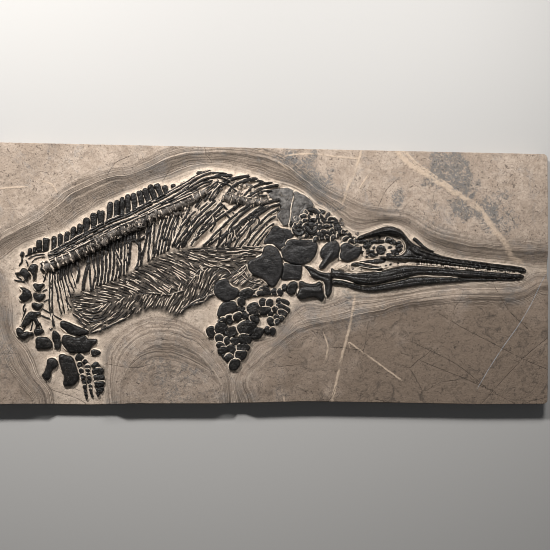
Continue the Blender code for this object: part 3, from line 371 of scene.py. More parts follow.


# Bones cut to an outline
def boneShell(target, points, height, seed, base=boneBed, brim=0.45, foot=0.5, wobble=0.045, rough=0.045,
              dome=0.10, marks=(), smooth=True, tilt=(0.0, 0.0), slope=None, grow=0.10, corner=0.0):
    # A grid trimmed to the outline, its border pulled onto it, raised to a worn crown and closed below
    pts = np.array(points, float)
    if corner:  # keep the outline's corners by passing each one in two steps
        pts = np.stack([pts + (np.roll(pts, 1, axis=0) - pts) * corner,
                        pts + (np.roll(pts, -1, axis=0) - pts) * corner],
                       1).reshape(-1, 2)
    ring = smoothLine(pts, 0.11, True) if smooth else pts
    ahead = np.roll(ring, -1, axis=0) - np.roll(ring, 1, axis=0)
    ahead /= np.maximum(np.linalg.norm(ahead, axis=1), 1e-6)[:, None]
    turning = np.sign(turned(ring))
    ring = ring + np.stack([ahead[:, 1], -ahead[:, 0]], 1) * grow * turning
    area = abs(turned(ring)) / 2
    girth = np.sum(np.linalg.norm(ring - np.roll(ring, -1, axis=0), axis=1))
    wide = 2 * area / girth
    step = min(0.15, max(0.06, wide / 7))
    ring = ring + np.array([[grain(x, y, 0.9, seed), grain(x, y, 0.9, seed + 9)] for x, y in ring]) * wobble * 1.6
    ring = ring + np.array([[grain(x, y, 3.1, seed), grain(x, y, 3.1, seed + 9)] for x, y in ring]) * wobble * 0.6
    low, high = ring.min(0) - step, ring.max(0) + step
    counts = np.ceil((high - low) / step).astype(int)
    shape = bmesh.new()
    bmesh.ops.create_grid(
        shape, x_segments=int(counts[0]), y_segments=int(counts[1]), size=0.5,
        matrix=Matrix.Translation((*((low + high) / 2), 0)) @ Matrix.Diagonal((*(counts * step), 1, 1)))
    plan = np.array([v.co.xy for v in shape.verts])
    keep = inside(plan, ring)
    away = nearest(plan, ring, True)[0]
    keep &= away > step * 0.42
    bmesh.ops.delete(shape, geom=[v for v, kept in zip(shape.verts, keep) if not kept], context="VERTS")
    loose = [f for f in shape.faces if sum(e.is_boundary for e in f.edges) > 3]
    bmesh.ops.delete(shape, geom=loose, context="FACES")
    bmesh.ops.delete(shape, geom=[v for v in shape.verts if not v.link_faces], context="VERTS")
    for turn in range(3):  # corners that meet at one point only
        pinched = [v for v in shape.verts if sum(e.is_boundary for e in v.link_edges) > 2]
        if not pinched:
            break
        bmesh.ops.delete(shape, geom=pinched, context="VERTS")
    border = [v for v in shape.verts if v.is_boundary]
    places = nearest(np.array([v.co.xy for v in border]), ring, True)[1]
    for v, place in zip(border, places):
        v.co.xy = place
    inner = [v for v in shape.verts if not v.is_boundary]
    for turn in range(2):
        bmesh.ops.smooth_vert(shape, verts=inner, factor=0.5, use_axis_x=True, use_axis_y=True)
    plan = np.array([v.co.xy for v in shape.verts])
    away = nearest(plan, ring, True)[0]
    round_ = min(brim, wide * 0.55)
    rise = np.sqrt(np.clip(1 - (1 - np.clip(away / round_, 0, 1)) ** 2, 0, 1))
    middle = plan.mean(0)
    lift = height * (foot + (1 - foot) * rise) + dome * np.clip(away / max(wide, 0.1), 0, 1.2) * height
    lift += ((plan - middle) @ np.array(tilt)) * rise
    if slope:
        lift *= np.interp(plan[:, 0], [a for a, b in slope], [b for a, b in slope])
    for line, width, depth in marks:
        gap = nearest(plan, smoothLine(line, 0.3) if len(line) > 2 else np.array(line, float))[0]
        lift += depth * np.exp(-(gap / width) ** 2) * ease(0.0, 0.25, away)
    lift += grainField(plan, 0.55, seed + 3, 2) * rough * 1.6 * rise
    lift += grainField(plan, 2.6, seed + 5, 3) * rough * rise
    lift = np.minimum(lift, plateTop - base)
    for v, z in zip(shape.verts, lift):
        v.co.z = base + max(z, 0.05)
    rimEdges = [e for e in shape.edges if e.is_boundary]
    for drop in (0.55, 0.0):
        made = bmesh.ops.extrude_edge_only(shape, edges=rimEdges)["geom"]
        for v in (item for item in made if isinstance(item, bmesh.types.BMVert)):
            v.co.z = base + (v.co.z - base) * drop - (0.0 if drop else 0.12)
        rimEdges = [item for item in made if isinstance(item, bmesh.types.BMEdge)]
    bmesh.ops.holes_fill(shape, edges=rimEdges, sides=0)
    shape.normal_update()
    bmesh.ops.recalc_face_normals(shape, faces=shape.faces)
    for face in shape.faces:
        face.smooth = True
    gather(target, shape)
    footprints.append(("ring", ring))
    return ring


def gather(target, shape):
    # Moves a finished shape into a bigger one, and from cm to metres
    if shape.calc_volume(signed=True) < 0:  # inside out
        bmesh.ops.reverse_faces(shape, faces=shape.faces)
    bmesh.ops.scale(shape, vec=(toMetres,) * 3, verts=shape.verts)
    carrier = bpy.data.meshes.new("carrier")
    shape.to_mesh(carrier)
    shape.free()
    target.from_mesh(carrier)
    bpy.data.meshes.remove(carrier)


def toPiece(shape, name, look, slotName, *nodes):
    for v in shape.verts:
        v.co.z = min(v.co.z, ceiling * toMetres)
    mesh = bpy.data.meshes.new(name)
    shape.to_mesh(mesh)
    shape.free()
    made = placed(mesh, name, look)
    mesh.set_sharp_from_angle(angle=math.radians(52))
    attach(made, "root")
    if nodes:
        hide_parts(*nodes)
    return made


# Rods: ribs, strands and rims drawn as bevelled curves
profiles = {
    "grooved": [(-1, -0.45), (-1, 0.1), (-0.8, 0.55), (-0.42, 0.74), (0, 0.56), (0.42, 0.74), (0.8, 0.55),
        (1, 0.1), (1, -0.45)],
    "round": [(-1, -0.4), (-0.9, 0.25), (-0.5, 0.68), (0, 0.82), (0.5, 0.68), (0.9, 0.25), (1, -0.4)],
    "sharp": [(-1, -0.3), (-0.6, 0.45), (0, 0.8), (0.6, 0.45), (1, -0.3)],
    "bank": [(-1.15, -1.3), (-0.6, 0.1), (-0.15, 0.6), (0.25, 0.5), (0.7, -0.2), (1.2, -1.3)],
}
profileCurves = {}
for profileName, profilePoints in profiles.items():
    flat = bpy.data.curves.new("profile_" + profileName, "CURVE")
    flat.dimensions = "2D"
    line = flat.splines.new("POLY")
    line.points.add(len(profilePoints) - 1)
    for point, (px, py) in zip(line.points, profilePoints):
        point.co = (px, py, 0, 1)
    line.use_cyclic_u = True
    profileCurves[profileName] = bpy.data.objects.new("profile_" + profileName, flat)
    root.objects.link(profileCurves[profileName])


def rodBatch(target, rods, profile="round", standing=None):
    # rods: (line in cm, half width in cm, height of its middle in cm, ends left blunt)
    data = bpy.data.curves.new("rods", "CURVE")
    data.dimensions, data.twist_mode, data.use_fill_caps = "3D", "Z_UP", True
    data.bevel_mode, data.bevel_object = "OBJECT", profileCurves[profile]
    for line, half, level, blunt in rods:
        spline = data.splines.new("POLY")
        spline.points.add(len(line) - 1)
        halves = half if isinstance(half, np.ndarray) else np.full(len(line), half)
        levels = level if isinstance(level, np.ndarray) else np.full(len(line), level)
        if standing:
            for a in range(0, len(line) - 1, 8):
                part = slice(a, min(len(line), a + 9))
                footprints.append((standing, line[part], float(halves[part].mean()), float(levels[part].mean())))
        last = len(line) - 1
        for k, point in enumerate(spline.points):
            point.co = (*(line[k] * toMetres), levels[k] * toMetres, 1)
            end = min(k, last - k)
            taper = 1.0 if blunt or end > 1 else (0.55, 0.88)[end]
            point.radius = max(halves[k] * toMetres * taper, 1e-5)
    carrier = bpy.data.objects.new("rods", data)
    root.objects.link(carrier)
    bpy.context.view_layer.update()
    mesh = bpy.data.meshes.new_from_object(carrier.evaluated_get(bpy.context.evaluated_depsgraph_get()))
    bpy.data.objects.remove(carrier)
    bpy.data.curves.remove(data)
    shape = bmesh.new()
    shape.from_mesh(mesh)
    bpy.data.meshes.remove(mesh)
    bmesh.ops.remove_doubles(shape, verts=shape.verts, dist=1e-6)
    bmesh.ops.recalc_face_normals(shape, faces=shape.faces)
    for face in shape.faces:
        face.smooth = True
    carrier = bpy.data.meshes.new("carrier")
    shape.to_mesh(carrier)
    shape.free()
    target.from_mesh(carrier)
    bpy.data.meshes.remove(carrier)


def livelyRod(points, half, level, seed, step, sway, vary=0.12):
    # A rod's line with a waver, uneven thickness and a crack or two
    line = smoothLine(points, step)
    side = sideways(line)
    swing = np.array([grain(x, y, 0.5, seed) for x, y in line])
    line = line + side * (swing * sway * 2)[:, None]
    girth = np.array([1 + vary * grain(x, y, 1.7, seed + 4) * 1.6 for x, y in line])
    chance = random.Random(int(seed * 13) + 5)
    if len(line) > 12:
        for crack in range(chance.choice((0, 1, 1, 2))):
            girth[chance.randrange(3, len(line) - 3)] *= 0.72
    return line, half * girth, level + np.array([grain(x, y, 0.4, seed + 7) for x, y in line]) * 0.06, False


def stoneAndHighlightThreads(rods, thick, share, seed, rise=0.02, both=0.0):
    # Broken pale threads along each rod's side that faces the light, painted highlights; sometimes along the other
    # side too
    chance = random.Random(seed)
    for line, halves, levels, blunt in rods:
        if chance.random() > share or len(line) < 4:
            continue
        side = sideways(line)
        if side.mean(0) @ (-0.62, 0.78) < 0:
            side = -side
        for way in (1, -1) if chance.random() < both else (1,):
            shown = np.array([grain(x, y, 0.5, seed + way) for x, y in line]) > -0.22
            drop = np.interp(line[:, 0], *zip(*rearSpine)) - line[:, 1]
            # None in the column's shadow
            shown &= ~((line[:, 0] > -59.5) & (line[:, 0] < -38) & (drop > 0) & (drop < 4.4))
            girth = thick * (1 + 0.5 * np.array([grain(x, y, 1.9, seed) for x, y in line]))
            path, high = line + side * ((halves + thick * 0.35) * way)[:, None], levels + rise
            cuts = np.flatnonzero(np.diff(np.concatenate([[0], shown.astype(int), [0]])))
            for a, b in zip(cuts[::2], cuts[1::2]):
                if b - a > 2:
                    threadsAndHighlights.append((path[a:b], np.maximum(girth[a:b], 0.03), high[a:b], False))


# Flat bones: piece name, CAD node, look, height in cm, outline in cm, extras
flatBones = [
    ("orbitAndSnout", "upper_skull", "jaw", 1.5, [(22.0, 10.6), (22.5, 11.1), (24, 11.7), (26, 12.5),
        (27.5, 13.1), (29, 13.65), (30.5, 13.9), (32, 13.8), (33.3, 13.4), (34.2, 12.9), (35, 12.1),
        (35.8, 11.1), (36.6, 10.2), (37.4, 9.4), (38.6, 8.8), (40, 8.1), (41.5, 7.4), (43, 6.95), (44.5, 6.4),
        (46, 5.95), (48, 5.55), (50, 5.15), (53, 4.85), (56, 4.5), (59, 4.1), (62, 3.8), (65, 3.5), (67.5, 3.2),
        (69, 2.8), (69.7, 2.2), (69.2, 1.75), (68, 1.75), (66, 1.9), (63, 2.1), (60, 2.4), (57, 2.6),
        (54, 3.05), (50, 3.55), (46, 3.7), (44, 4.0), (42, 4.4), (40, 4.6), (38, 4.7), (36, 4.75), (33, 4.85),
        (30.6, 4.95), (28.6, 5.1), (28.4, 5.5), (30.4, 5.6), (32.8, 5.75), (34.4, 6.2), (35.3, 7.0),
        (35.7, 8.0), (35.6, 9.0), (35.0, 10.1), (34.0, 11.0), (32.6, 11.5), (31, 11.7), (29, 11.6),
        (27.4, 11.3), (26, 11.1), (24.2, 10.8), (23.0, 10.3)], {"brim": 0.7, "dome": 0.25,
        "marks": [
        ([(37.2, 8.4), (40, 6.9), (44, 5.8), (50, 4.75), (58, 3.75), (66, 2.9), (69, 2.4)], 0.18, -0.35),
        ([(33, 5.4), (37, 5.5), (41, 5.1), (47, 4.3), (55, 3.4), (64, 2.45)], 0.15, -0.3),
        ([(24, 11.3), (27, 12.2), (30, 12.8), (32.5, 12.7), (34.5, 11.4), (36, 9.4)], 0.3, 0.3),
        ([(36.2, 7.6), (37.6, 6.4), (39.6, 5.8)], 0.3, -0.4),
        ([(36.4, 9.2), (38, 7.9), (40, 7.2)], 0.25, 0.25)],
        "slope": [(20, 0.95), (30, 1.1), (37, 1.15), (45, 0.95), (60, 0.8), (70, 0.62)]}),
    ("nasalBone", "nasal_bone", "jaw", 1.0, [(37.5, 10.5), (37.9, 11.0), (38.7, 10.6), (39.6, 9.9), (40.6, 8.9),
        (42, 7.9), (43.6, 7.25), (43.1, 7.0), (41.2, 7.6), (39.8, 8.4), (38.5, 9.5)], {"brim": 0.3}),
    ("lowerJaw", "lower_jaw", "jaw", 1.45, [(15, 2.2), (15.8, 1.75), (17.5, 1.8), (19, 1.2), (20.3, 1), (22, 1),
        (24, 1.2), (28, 1.6), (29.3, 1.8), (31, 2.3), (33, 2.7), (34.5, 3.05), (36, 3.25), (40, 3.1), (43, 2.9),
        (46, 2.7), (50, 2.3), (54, 2), (58, 1.8), (62, 1.5), (66, 1.2), (68.5, 1), (69.1, 0.6), (68.7, 0.2),
        (67, 0.05), (60, 0.2), (55, 0.25), (50, 0.35), (46, 0.7), (44, 0.85), (40, 0.85), (38, 0.55),
        (36, 0.05), (34, -0.45), (32, -0.85), (30, -1.25), (28, -1.75), (26, -2.1), (24, -2.1), (22, -1.8),
        (20.5, -1.2), (19, -0.75), (17, -0.45), (15, -0.25), (14.7, 0.9)], {"brim": 0.8, "dome": 0.3,
        "marks": [([(16, 0.7), (20, 0.1), (25, -0.4), (30, 0.2), (36, 1.5), (44, 1.8), (54, 1.2), (64, 0.7)],
            0.20, -0.15), ([(17, 1.3), (22, 0.5), (27, 0.9), (33, 2.1), (40, 2.6), (50, 1.9)], 0.2, 0.10),
        ([(20, -0.8), (25, -1.6), (30, -0.8), (36, 0.6)], 0.25, 0.15)],
        "slope": [(14, 1.0), (24, 1.1), (40, 1.0), (55, 0.85), (70, 0.62)]}),
    ("farJaw", "far_jaw_branch", "jaw", 0.85, [(15.2, -1.15), (17, -1.1), (19, -1.35), (20.5, -1.75),
        (22, -2.3), (24, -2.75), (26, -2.75), (28, -2.3), (30, -1.85), (32, -1.5), (34, -1.1), (36, -0.5),
        (38, -0.15), (40, 0), (44, 0.0), (47, 0.0), (52, -0.05), (60, -0.12), (67.6, -0.15), (68.4, -0.3),
        (66, -0.6), (62, -0.6), (58, -0.72), (54, -0.82), (50, -1.12), (46, -1.42), (42, -1.82), (39, -2.12),
        (37, -2.42), (35, -2.72), (33, -3.0), (31, -3.4), (29, -3.7), (27, -3.9), (25, -3.9), (23, -3.7),
        (21, -3.3), (19, -2.62), (17, -2.25), (15, -2.05)], {"brim": 0.45, "dome": 0.2,
        "slope": [(14, 1.0), (30, 1.0), (50, 0.8), (70, 0.5)],
        "marks": [([(18, -1.9), (23, -3.1), (28, -3.0), (35, -1.7), (42, -0.9), (52, -0.5)], 0.14, -0.10)]}),
    ("jugalBar", "cheek_bar", "jaw", 0.95, [(20.3, 3.3), (20.7, 3.85), (22, 3.65), (23, 3.5), (25, 3.0),
        (27, 2.85), (28.9, 2.6), (28.7, 2.1), (27, 2.0), (25.4, 2.2), (24, 2.5), (22, 3.1)],
        {"brim": 0.3, "grow": 0.22}),
    ("upperCheekBar", "upper_cheek_bar", "jaw", 0.9, [(22.6, 4.0), (24.5, 4.3), (26, 4.5), (28, 4.85),
        (29.8, 4.9), (29.6, 4.3), (28, 3.95), (26, 3.8), (24, 3.7)], {"brim": 0.3, "grow": 0.22}),
    ("hindCheekBone", "hind_cheek_bone", "grey", 1.15, [(17.5, 8.3), (18.4, 9.0), (19.4, 9.1), (20.4, 8.5),
        (21.6, 8.1), (22.8, 7.8), (23.1, 7.1), (22.5, 6.1), (21.8, 5.3), (20.5, 4.8), (19.4, 4.2), (18.5, 4.4),
        (17.5, 5), (17.3, 5.7), (17.6, 6.9)],
        {"brim": 0.7, "marks": [([(19.2, 8.4), (19.8, 7.6), (20.8, 7.9)], 0.35, -0.25)]}),
    ("quadrateBone", "quadrate", "grey", 1.2, [(15, 9.6), (16, 9.7), (16.6, 9), (16.95, 8), (16.8, 6.7),
        (16.5, 5.6), (15.5, 5.0), (14.6, 4.4), (13.8, 3.5), (12.8, 2.45), (12, 2.15), (11.6, 2.75), (12.3, 3.8),
        (12.7, 4.8), (12.1, 5.6), (12, 6.6), (12.4, 7.7), (13.2, 8.6), (14.2, 9.3)],
        {"brim": 0.8, "dome": 0.3, "marks": [([(12.2, 2.8), (13.6, 4.6), (15, 6.6)], 0.4, 0.25)]}),
    ("clavicleBone", "clavicle", "dark", 1.0, [(7.6, 2.9), (8.8, 2.6), (10, 2.15), (11.4, 1.35), (13.2, 0.95),
        (14.7, 0.85), (15, -1.5), (15.05, -3.5), (14.7, -4.8), (14, -5.65), (13.35, -5.0), (13.3, -3.6),
        (13, -2), (12.3, -0.95), (11, -0.85), (10, -0.55), (9.2, 0.25), (8.5, 1.4)], {"brim": 0.5,
        "marks": [([(9, 1.7), (11.5, 0.3), (13.6, -0.4)], 0.3, -0.25),
        ([(14.2, 0.2), (14.4, -2.5), (14, -4.8)], 0.25, 0.2)]}),
    ("scapulaHind", "scapula_hind", "dusty", 0.8, [(-2.6, 22.2), (-2.2, 22.9), (-1.5, 23.5), (0, 23.8),
        (1.5, 23.9), (3, 23.8), (4.0, 23.3), (4.05, 22.4), (4.15, 21.4), (4.0, 20.5), (3.4, 18.5), (3.25, 16.5),
        (3.0, 14.9), (2.3, 14.0), (1.5, 14.1), (0.9, 15), (0.1, 16.3), (0.3, 17.2), (0.8, 18.2), (0.8, 19),
        (0, 20), (-0.9, 20.9), (-2, 21.5)], {"brim": 0.5, "rough": 0.07, "tilt": (0.0, 0.012),
        "marks": [([(-1.5, 22.5), (1, 21.5), (3.2, 20)], 0.5, -0.12),
        ([(1.6, 23), (1.9, 20), (1.8, 16)], 0.5, 0.12), ([(2.6, 22.8), (2.9, 21.4), (2.4, 20.6)], 0.09, -0.2)]}),
    ("scapulaFront", "scapula_front", "dusty", 0.85, [(4.4, 22.7), (5, 23), (6, 22.5), (7.2, 22), (8.3, 21.2),
        (9.2, 20.3), (9.6, 19.6), (9.2, 19.0), (8.2, 18.8), (7.5, 18.2), (6.9, 17.1), (6.6, 15.9), (6.1, 14.9),
        (5.3, 14.6), (3.7, 14.6), (3.6, 15.6), (3.75, 17.2), (3.95, 18.6), (4.5, 20.4), (4.6, 21.6)],
        {"brim": 0.5, "rough": 0.07, "marks": [([(5, 22), (6, 19), (5, 15.6)], 0.6, 0.12),
        ([(6.5, 21.5), (7.4, 19.6), (6.0, 17.4)], 0.1, -0.18)]}),
    ("coracoidHind", "coracoid_hind", "grey", 0.62, [(-3.6, 9), (-3.2, 10), (-2.9, 10.8), (-2, 11.8),
        (-1.5, 12.8), (-0.9, 13.4), (0.2, 13.4), (0.8, 12.9), (1.8, 12.8), (3, 12.6), (3.8, 12), (4.1, 11.1),
        (3.6, 10.4), (2.6, 10.0), (2.35, 8.9), (1.9, 8.2), (0.95, 7.2), (0.3, 7.7), (-0.6, 8.5), (-1.8, 8.95),
        (-2.9, 8.9)], {"brim": 0.4,
        "marks": [([(1.4, 12.4), (1.9, 10.8), (1.4, 9)], 0.12, -0.16), ([(-2, 10), (0.6, 10.6)], 0.7, 0.1)]}),
    ("coracoidFront", "coracoid_front", "grey", 0.9, [(1.35, 7.2), (2.1, 7.9), (2.8, 9.3), (3.6, 9.8),
        (5, 9.85), (7, 9.75), (8.8, 9.7), (9.7, 9.8), (10.5, 9.3), (10.8, 8), (10.3, 6), (9.5, 4.8),
        (8.4, 3.95), (7.2, 3.4), (6, 3.3), (4.5, 3.5), (3.1, 3.9), (2.1, 4.4), (1.5, 5.6)],
        {"brim": 0.6, "dome": 0.22, "marks": [([(2.4, 6.4), (4.5, 8.2), (8.5, 8.6)], 0.8, -0.1),
        ([(3.6, 9.4), (5.4, 8.4), (8, 8.2), (10, 8.7)], 0.09, -0.12)]}),
    ("coracoidLower", "coracoid_lower", "grey", 1.15, [(-8, 3.25), (-7.7, 2), (-7.3, 1.2), (-6.5, 0.4),
        (-5, -0.1), (-3.9, -0.8), (-2.8, -1.7), (-2, -2.5), (-1.2, -2.75), (-0.3, -2.1), (0.3, -1), (0.9, 0.2),
        (1.25, 1.8), (1.4, 3), (1.1, 4.3), (0.8, 5.3), (0.4, 6.2), (0, 7), (-0.8, 7.7), (-1.9, 8.1), (-3, 8.05),
        (-3.6, 7.4), (-3.8, 6.5), (-4.3, 5.5), (-5.1, 5), (-6.2, 4.5), (-7.3, 4.1)], {"brim": 0.7, "dome": 0.2,
        "marks": [([(-2.6, 7.4), (-2.0, 5.4), (-2.4, 3.4)], 0.9, 0.14),
        ([(-6.8, 2.6), (-4, 1.4), (-1.4, -1.4)], 0.9, -0.1)]}),
    ("interclavicleBone", "interclavicle", "grey", 0.62, [(2, 3.3), (2.9, 3.25), (4.5, 3.05), (6.5, 2.85),
        (6.6, 2), (6.5, 0.5), (6.15, -0.65), (5, -0.75), (3, -0.75), (1.6, -0.8), (1.35, -0.4), (1.65, 1)],
        {"brim": 0.4, "marks": [([(2.4, 1.6), (5.8, 0.4)], 0.7, 0.1)]}),
    ("humerusBone", "humerus", "dark", 1.15, [(6.2, -1.45), (7, -1.4), (8, -1.9), (9.5, -2.15), (10.5, -2.0),
        (11.4, -1.45), (12.05, -1.7), (12.3, -2.8), (12.6, -4), (12.85, -5.3), (12.7, -6.3), (12.2, -6.7),
        (11.4, -6.2), (10.4, -5.75), (9, -5.75), (7.8, -6), (6.6, -6.2), (5.8, -6), (5.5, -5.3), (5.8, -4.3),
        (6.15, -3.3), (6.1, -2.2)], {"brim": 0.7, "dome": 0.25, "marks": [
        ([(7, -3.8), (9.5, -3.9), (11.8, -3.9)], 0.5, 0.16),
        ([(7.6, -2.8), (9.6, -3.0), (11.4, -2.6)], 0.25, -0.14)]}),
    ("radiusBone", "radius", "dark", 0.95, [(2.8, -2.7), (3.4, -1.8), (4.2, -1.5), (5, -1.55), (5.4, -1.9),
        (5.5, -2.8), (5.3, -3.8), (4.8, -4.75), (3.8, -5), (2.9, -4.7), (2.5, -4.0), (2.7, -3.3)],
        {"brim": 0.5}),
    ("neckArch", "neck_arch", "dark", 0.95, [(7.9, 18.35), (8.8, 18.75), (10.2, 18.55), (11.3, 17.8),
        (12.2, 16.7), (12.9, 15.5), (12.5, 15.0), (11.8, 15.4), (11.2, 16.5), (10.3, 17.3), (9.3, 17.8),
        (8.4, 17.9)], {"brim": 0.35}),
    ("neckBar", "neck_bar", "dark", 0.75,
        [(13.0, 15.3), (13.4, 16.4), (13.8, 17.3), (14.3, 17.5), (14.2, 16.6), (13.7, 15.3), (13.2, 15.0)],
        {"brim": 0.3}),
    ("atlasBone", "atlas", "dark", 1.05, [(15.1, 16.3), (15.9, 16.1), (16.6, 15.3), (17.0, 14.2), (17.9, 12.9),
        (17.8, 12.3), (17, 12.7), (16, 12.3), (15.5, 12.1), (15.3, 13), (15.5, 14.2), (15.3, 15.4)],
        {"brim": 0.5}),
    ("neckVertebraA", "neck_vertebra_1", "dark", 1.1, [(4.2, 12.9), (4.3, 11.9), (5.1, 11.2), (6.2, 10.9),
        (7.1, 11.2), (7.3, 12.3), (7.1, 13.4), (5.8, 14.1), (4.6, 13.9)], {"brim": 0.5,
        "marks": [([(4.9, 12.5), (5.8, 11.9), (6.6, 12.4), (5.8, 13.2), (4.9, 12.6)], 0.3, -0.3)]}),
    ("neckVertebraB", "neck_vertebra_2", "dark", 1.2, [(7.6, 14.5), (8.4, 14.9), (9.6, 14.8), (10.8, 14.2),
        (11.0, 13), (10.4, 12), (9.4, 11.2), (8.5, 11.5), (7.8, 12.6), (7.5, 13.5)],
        {"brim": 0.5, "marks": [([(8.2, 13.9), (9.4, 12.6), (10.2, 13.6)], 0.25, -0.35)]}),
    ("neckVertebraC", "neck_vertebra_3", "dark", 1.0,
        [(11.3, 14.4), (12.4, 14.5), (13.4, 14.3), (13.6, 13.4), (12.7, 12.8), (11.7, 12.8), (11.2, 13.6)],
        {"brim": 0.4}),
    ("neckVertebraD", "neck_vertebra_4", "dark", 1.0,
        [(10.7, 11.9), (11.5, 12.5), (12.6, 12.4), (13.3, 11.5), (13.1, 10.5), (12, 10.1), (10.9, 10.5)],
        {"brim": 0.4}),
    ("neckVertebraE", "neck_vertebra_5", "dark", 0.95,
        [(13.6, 12.4), (14.5, 12.7), (15.1, 12.0), (15.2, 11.0), (14.6, 10.2), (13.8, 10.3), (13.6, 11.3)],
        {"brim": 0.4}),
    ("tailVertebraA", "tail_vertebra_1", "dark", 1.1, [(-68.9, 0.3), (-68.4, 1.3), (-67.5, 1.4), (-66.8, 0.8),
        (-66.0, -0.3), (-66.7, -1.0), (-66.9, -2.0), (-67.5, -1.8), (-68.0, -0.9), (-68.8, -0.2), (-70.1, -0.1),
        (-70.2, 0.2)], {"brim": 0.4}),
    ("tailVertebraB", "tail_vertebra_2", "dark", 1.1, [(-66.9, 0.95), (-66.5, 1.6), (-65.9, 2.4), (-64.6, 2.5),
        (-64.3, 1.6), (-64.7, 0.6), (-64.65, -0.8), (-64.9, -1.8), (-65.3, -1.6), (-65.6, -0.4), (-66.2, 0.4)],
        {"brim": 0.4}),
    ("tailVertebraC", "tail_vertebra_3", "dark", 1.15, [(-63.6, 2.8), (-62.3, 3.0), (-61.7, 2.3), (-61.6, 1.0),
        (-62.3, 0.6), (-63.2, 0.5), (-63.5, 1.2), (-63.2, 2.0)], {"brim": 0.4}),
    ("tailVertebraD", "tail_vertebra_4", "dark", 1.0, [(-65.4, -3.0), (-64.9, -2.6), (-63.8, -2.85),
        (-62.3, -2.6), (-62.6, -3.3), (-63.2, -3.9), (-63.4, -4.6), (-64.2, -4.7), (-65.0, -3.9)],
        {"brim": 0.4}),
    ("tailVertebraE", "tail_vertebra_5", "dark", 1.0, [(-65.1, -5.1), (-64.2, -5.4), (-62.8, -5.4),
        (-62.1, -5.5), (-62.5, -6.6), (-63.2, -7.3), (-64.0, -7.4), (-64.9, -6.8), (-65.3, -6.2)],
        {"brim": 0.4}),
    ("tailVertebraF", "tail_vertebra_6", "dark", 1.0, [(-65.6, -7.95), (-64.9, -7.8), (-63.8, -8.1),
        (-62.6, -8.0), (-63.1, -9.0), (-63.8, -9.8), (-64.6, -9.7), (-65.4, -9.2), (-65.7, -8.6)],
        {"brim": 0.4}),
    ("tailVertebraG", "tail_vertebra_7", "dark", 1.1, [(-69.0, -3.4), (-68.5, -3.85), (-67.6, -3.8),
        (-66.9, -4.2), (-66.0, -4.8), (-65.7, -6.0), (-66.4, -7.0), (-67.4, -7.4), (-68.0, -7.5), (-68.9, -6.8),
        (-68.9, -6.1), (-68.1, -5.3), (-68.1, -4.5), (-68.7, -4.1)], {"brim": 0.4}),
    ("tailVertebraH", "tail_vertebra_8", "dark", 0.95, [(-66.3, -10.2), (-65.0, -10.3), (-63.4, -10.25),
        (-63.3, -10.9), (-64.5, -11.3), (-64.0, -12.4), (-63.4, -13.8), (-64.4, -14.0), (-64.9, -12.8),
        (-65.6, -12.2), (-66.2, -13.4), (-67.2, -14.0), (-68.4, -14.1), (-67.9, -12.6), (-67.1, -11.2)],
        {"brim": 0.3, "rough": 0.09}),
    ("tailVertebraI", "tail_vertebra_9", "dark", 1.15, [(-69.6, -15.1), (-69.3, -16.5), (-68.5, -17.3),
        (-67.5, -17.6), (-66.8, -17.2), (-66.3, -16.6), (-65.3, -16.4), (-65.2, -15.7), (-66.0, -15.8),
        (-66.8, -15.4), (-67.6, -15.7), (-68.3, -14.7), (-69.2, -14.4)], {"brim": 0.45, "rough": 0.08}),
    ("tailVertebraJ", "tail_vertebra_10", "dark", 1.0, [(-64.9, -14.9), (-64, -14.5), (-63.0, -14.7),
        (-62.35, -15.3), (-62.7, -15.9), (-63.7, -16.3), (-64.8, -16.3)], {"brim": 0.4}),
    ("iliumBone", "ilium", "dark", 0.85, [(-60.1, -15.6), (-59.8, -15.2), (-59.2, -15.4), (-58.4, -16.1),
        (-58.1, -17.2), (-57.95, -18.3), (-57.95, -19.2), (-58.3, -19.9), (-58.9, -20.1), (-59.4, -19.8),
        (-59.7, -18.6), (-60.1, -17.2)], {"brim": 0.55}),
    ("leftIschium", "left_ischium", "dark", 0.85, [(-64.5, -17.7), (-64.0, -17.0), (-63.0, -16.9),
        (-61.6, -17.0), (-60.9, -17.6), (-60.2, -18.6), (-60.25, -19.5), (-60.9, -20.0), (-62.5, -20.1),
        (-64.2, -20.0), (-64.4, -19.0)], {"brim": 0.6}),
    ("rightIschium", "right_ischium", "dark", 0.95, [(-57.3, -16.6), (-56.6, -16.3), (-55.6, -16.45),
        (-54.5, -16.9), (-53.2, -17.0), (-52.4, -16.6), (-51.4, -16.5), (-50.9, -17.3), (-49.4, -17.4),
        (-48.4, -17.5), (-48.5, -18.3), (-49.2, -19.0), (-50.0, -19.8), (-50.5, -20.7), (-51.3, -21.0),
        (-52.8, -21.1), (-54.6, -21.1), (-55.6, -21.0), (-56.3, -20.3), (-57.0, -19.5), (-57.5, -18.6),
        (-57.7, -17.6)], {"brim": 0.6, "marks": [([(-56, -18.6), (-53.4, -19), (-50.6, -18.4)], 0.9, 0.1)]}),
    ("pubisBone", "pubis", "dark", 1.0, [(-58.1, -13.2), (-57.7, -12.6), (-57.0, -12.6), (-56.2, -12.9),
        (-55.2, -13.3), (-54.3, -13.7), (-53.4, -14.1), (-52.4, -14.5), (-51.5, -14.8), (-50.8, -15.2),
        (-50.9, -16.1), (-52.0, -16.3), (-53.0, -16.45), (-54.3, -16.3), (-55.3, -16.0), (-56.4, -15.6),
        (-57.0, -15.0), (-57.9, -14.2)], {"brim": 0.6}),
    ("hindChip", "hind_paddle_chip", "dark", 0.65, [(-49.9, -20.5), (-49.2, -20.2), (-48.2, -20.3),
        (-47.4, -20.8), (-47.6, -21.4), (-48.5, -21.8), (-49.3, -22.0), (-49.8, -21.6)], {"brim": 0.4}),
    ("leftFemur", "left_femur", "dark", 1.0, [(-61.4, -23.1), (-60.8, -22.6), (-59.9, -22.5), (-59.1, -22.9),
        (-58.7, -23.6), (-58.6, -24.2), (-59.0, -24.8), (-59.8, -25.4), (-60.3, -26.3), (-60.4, -27.3),
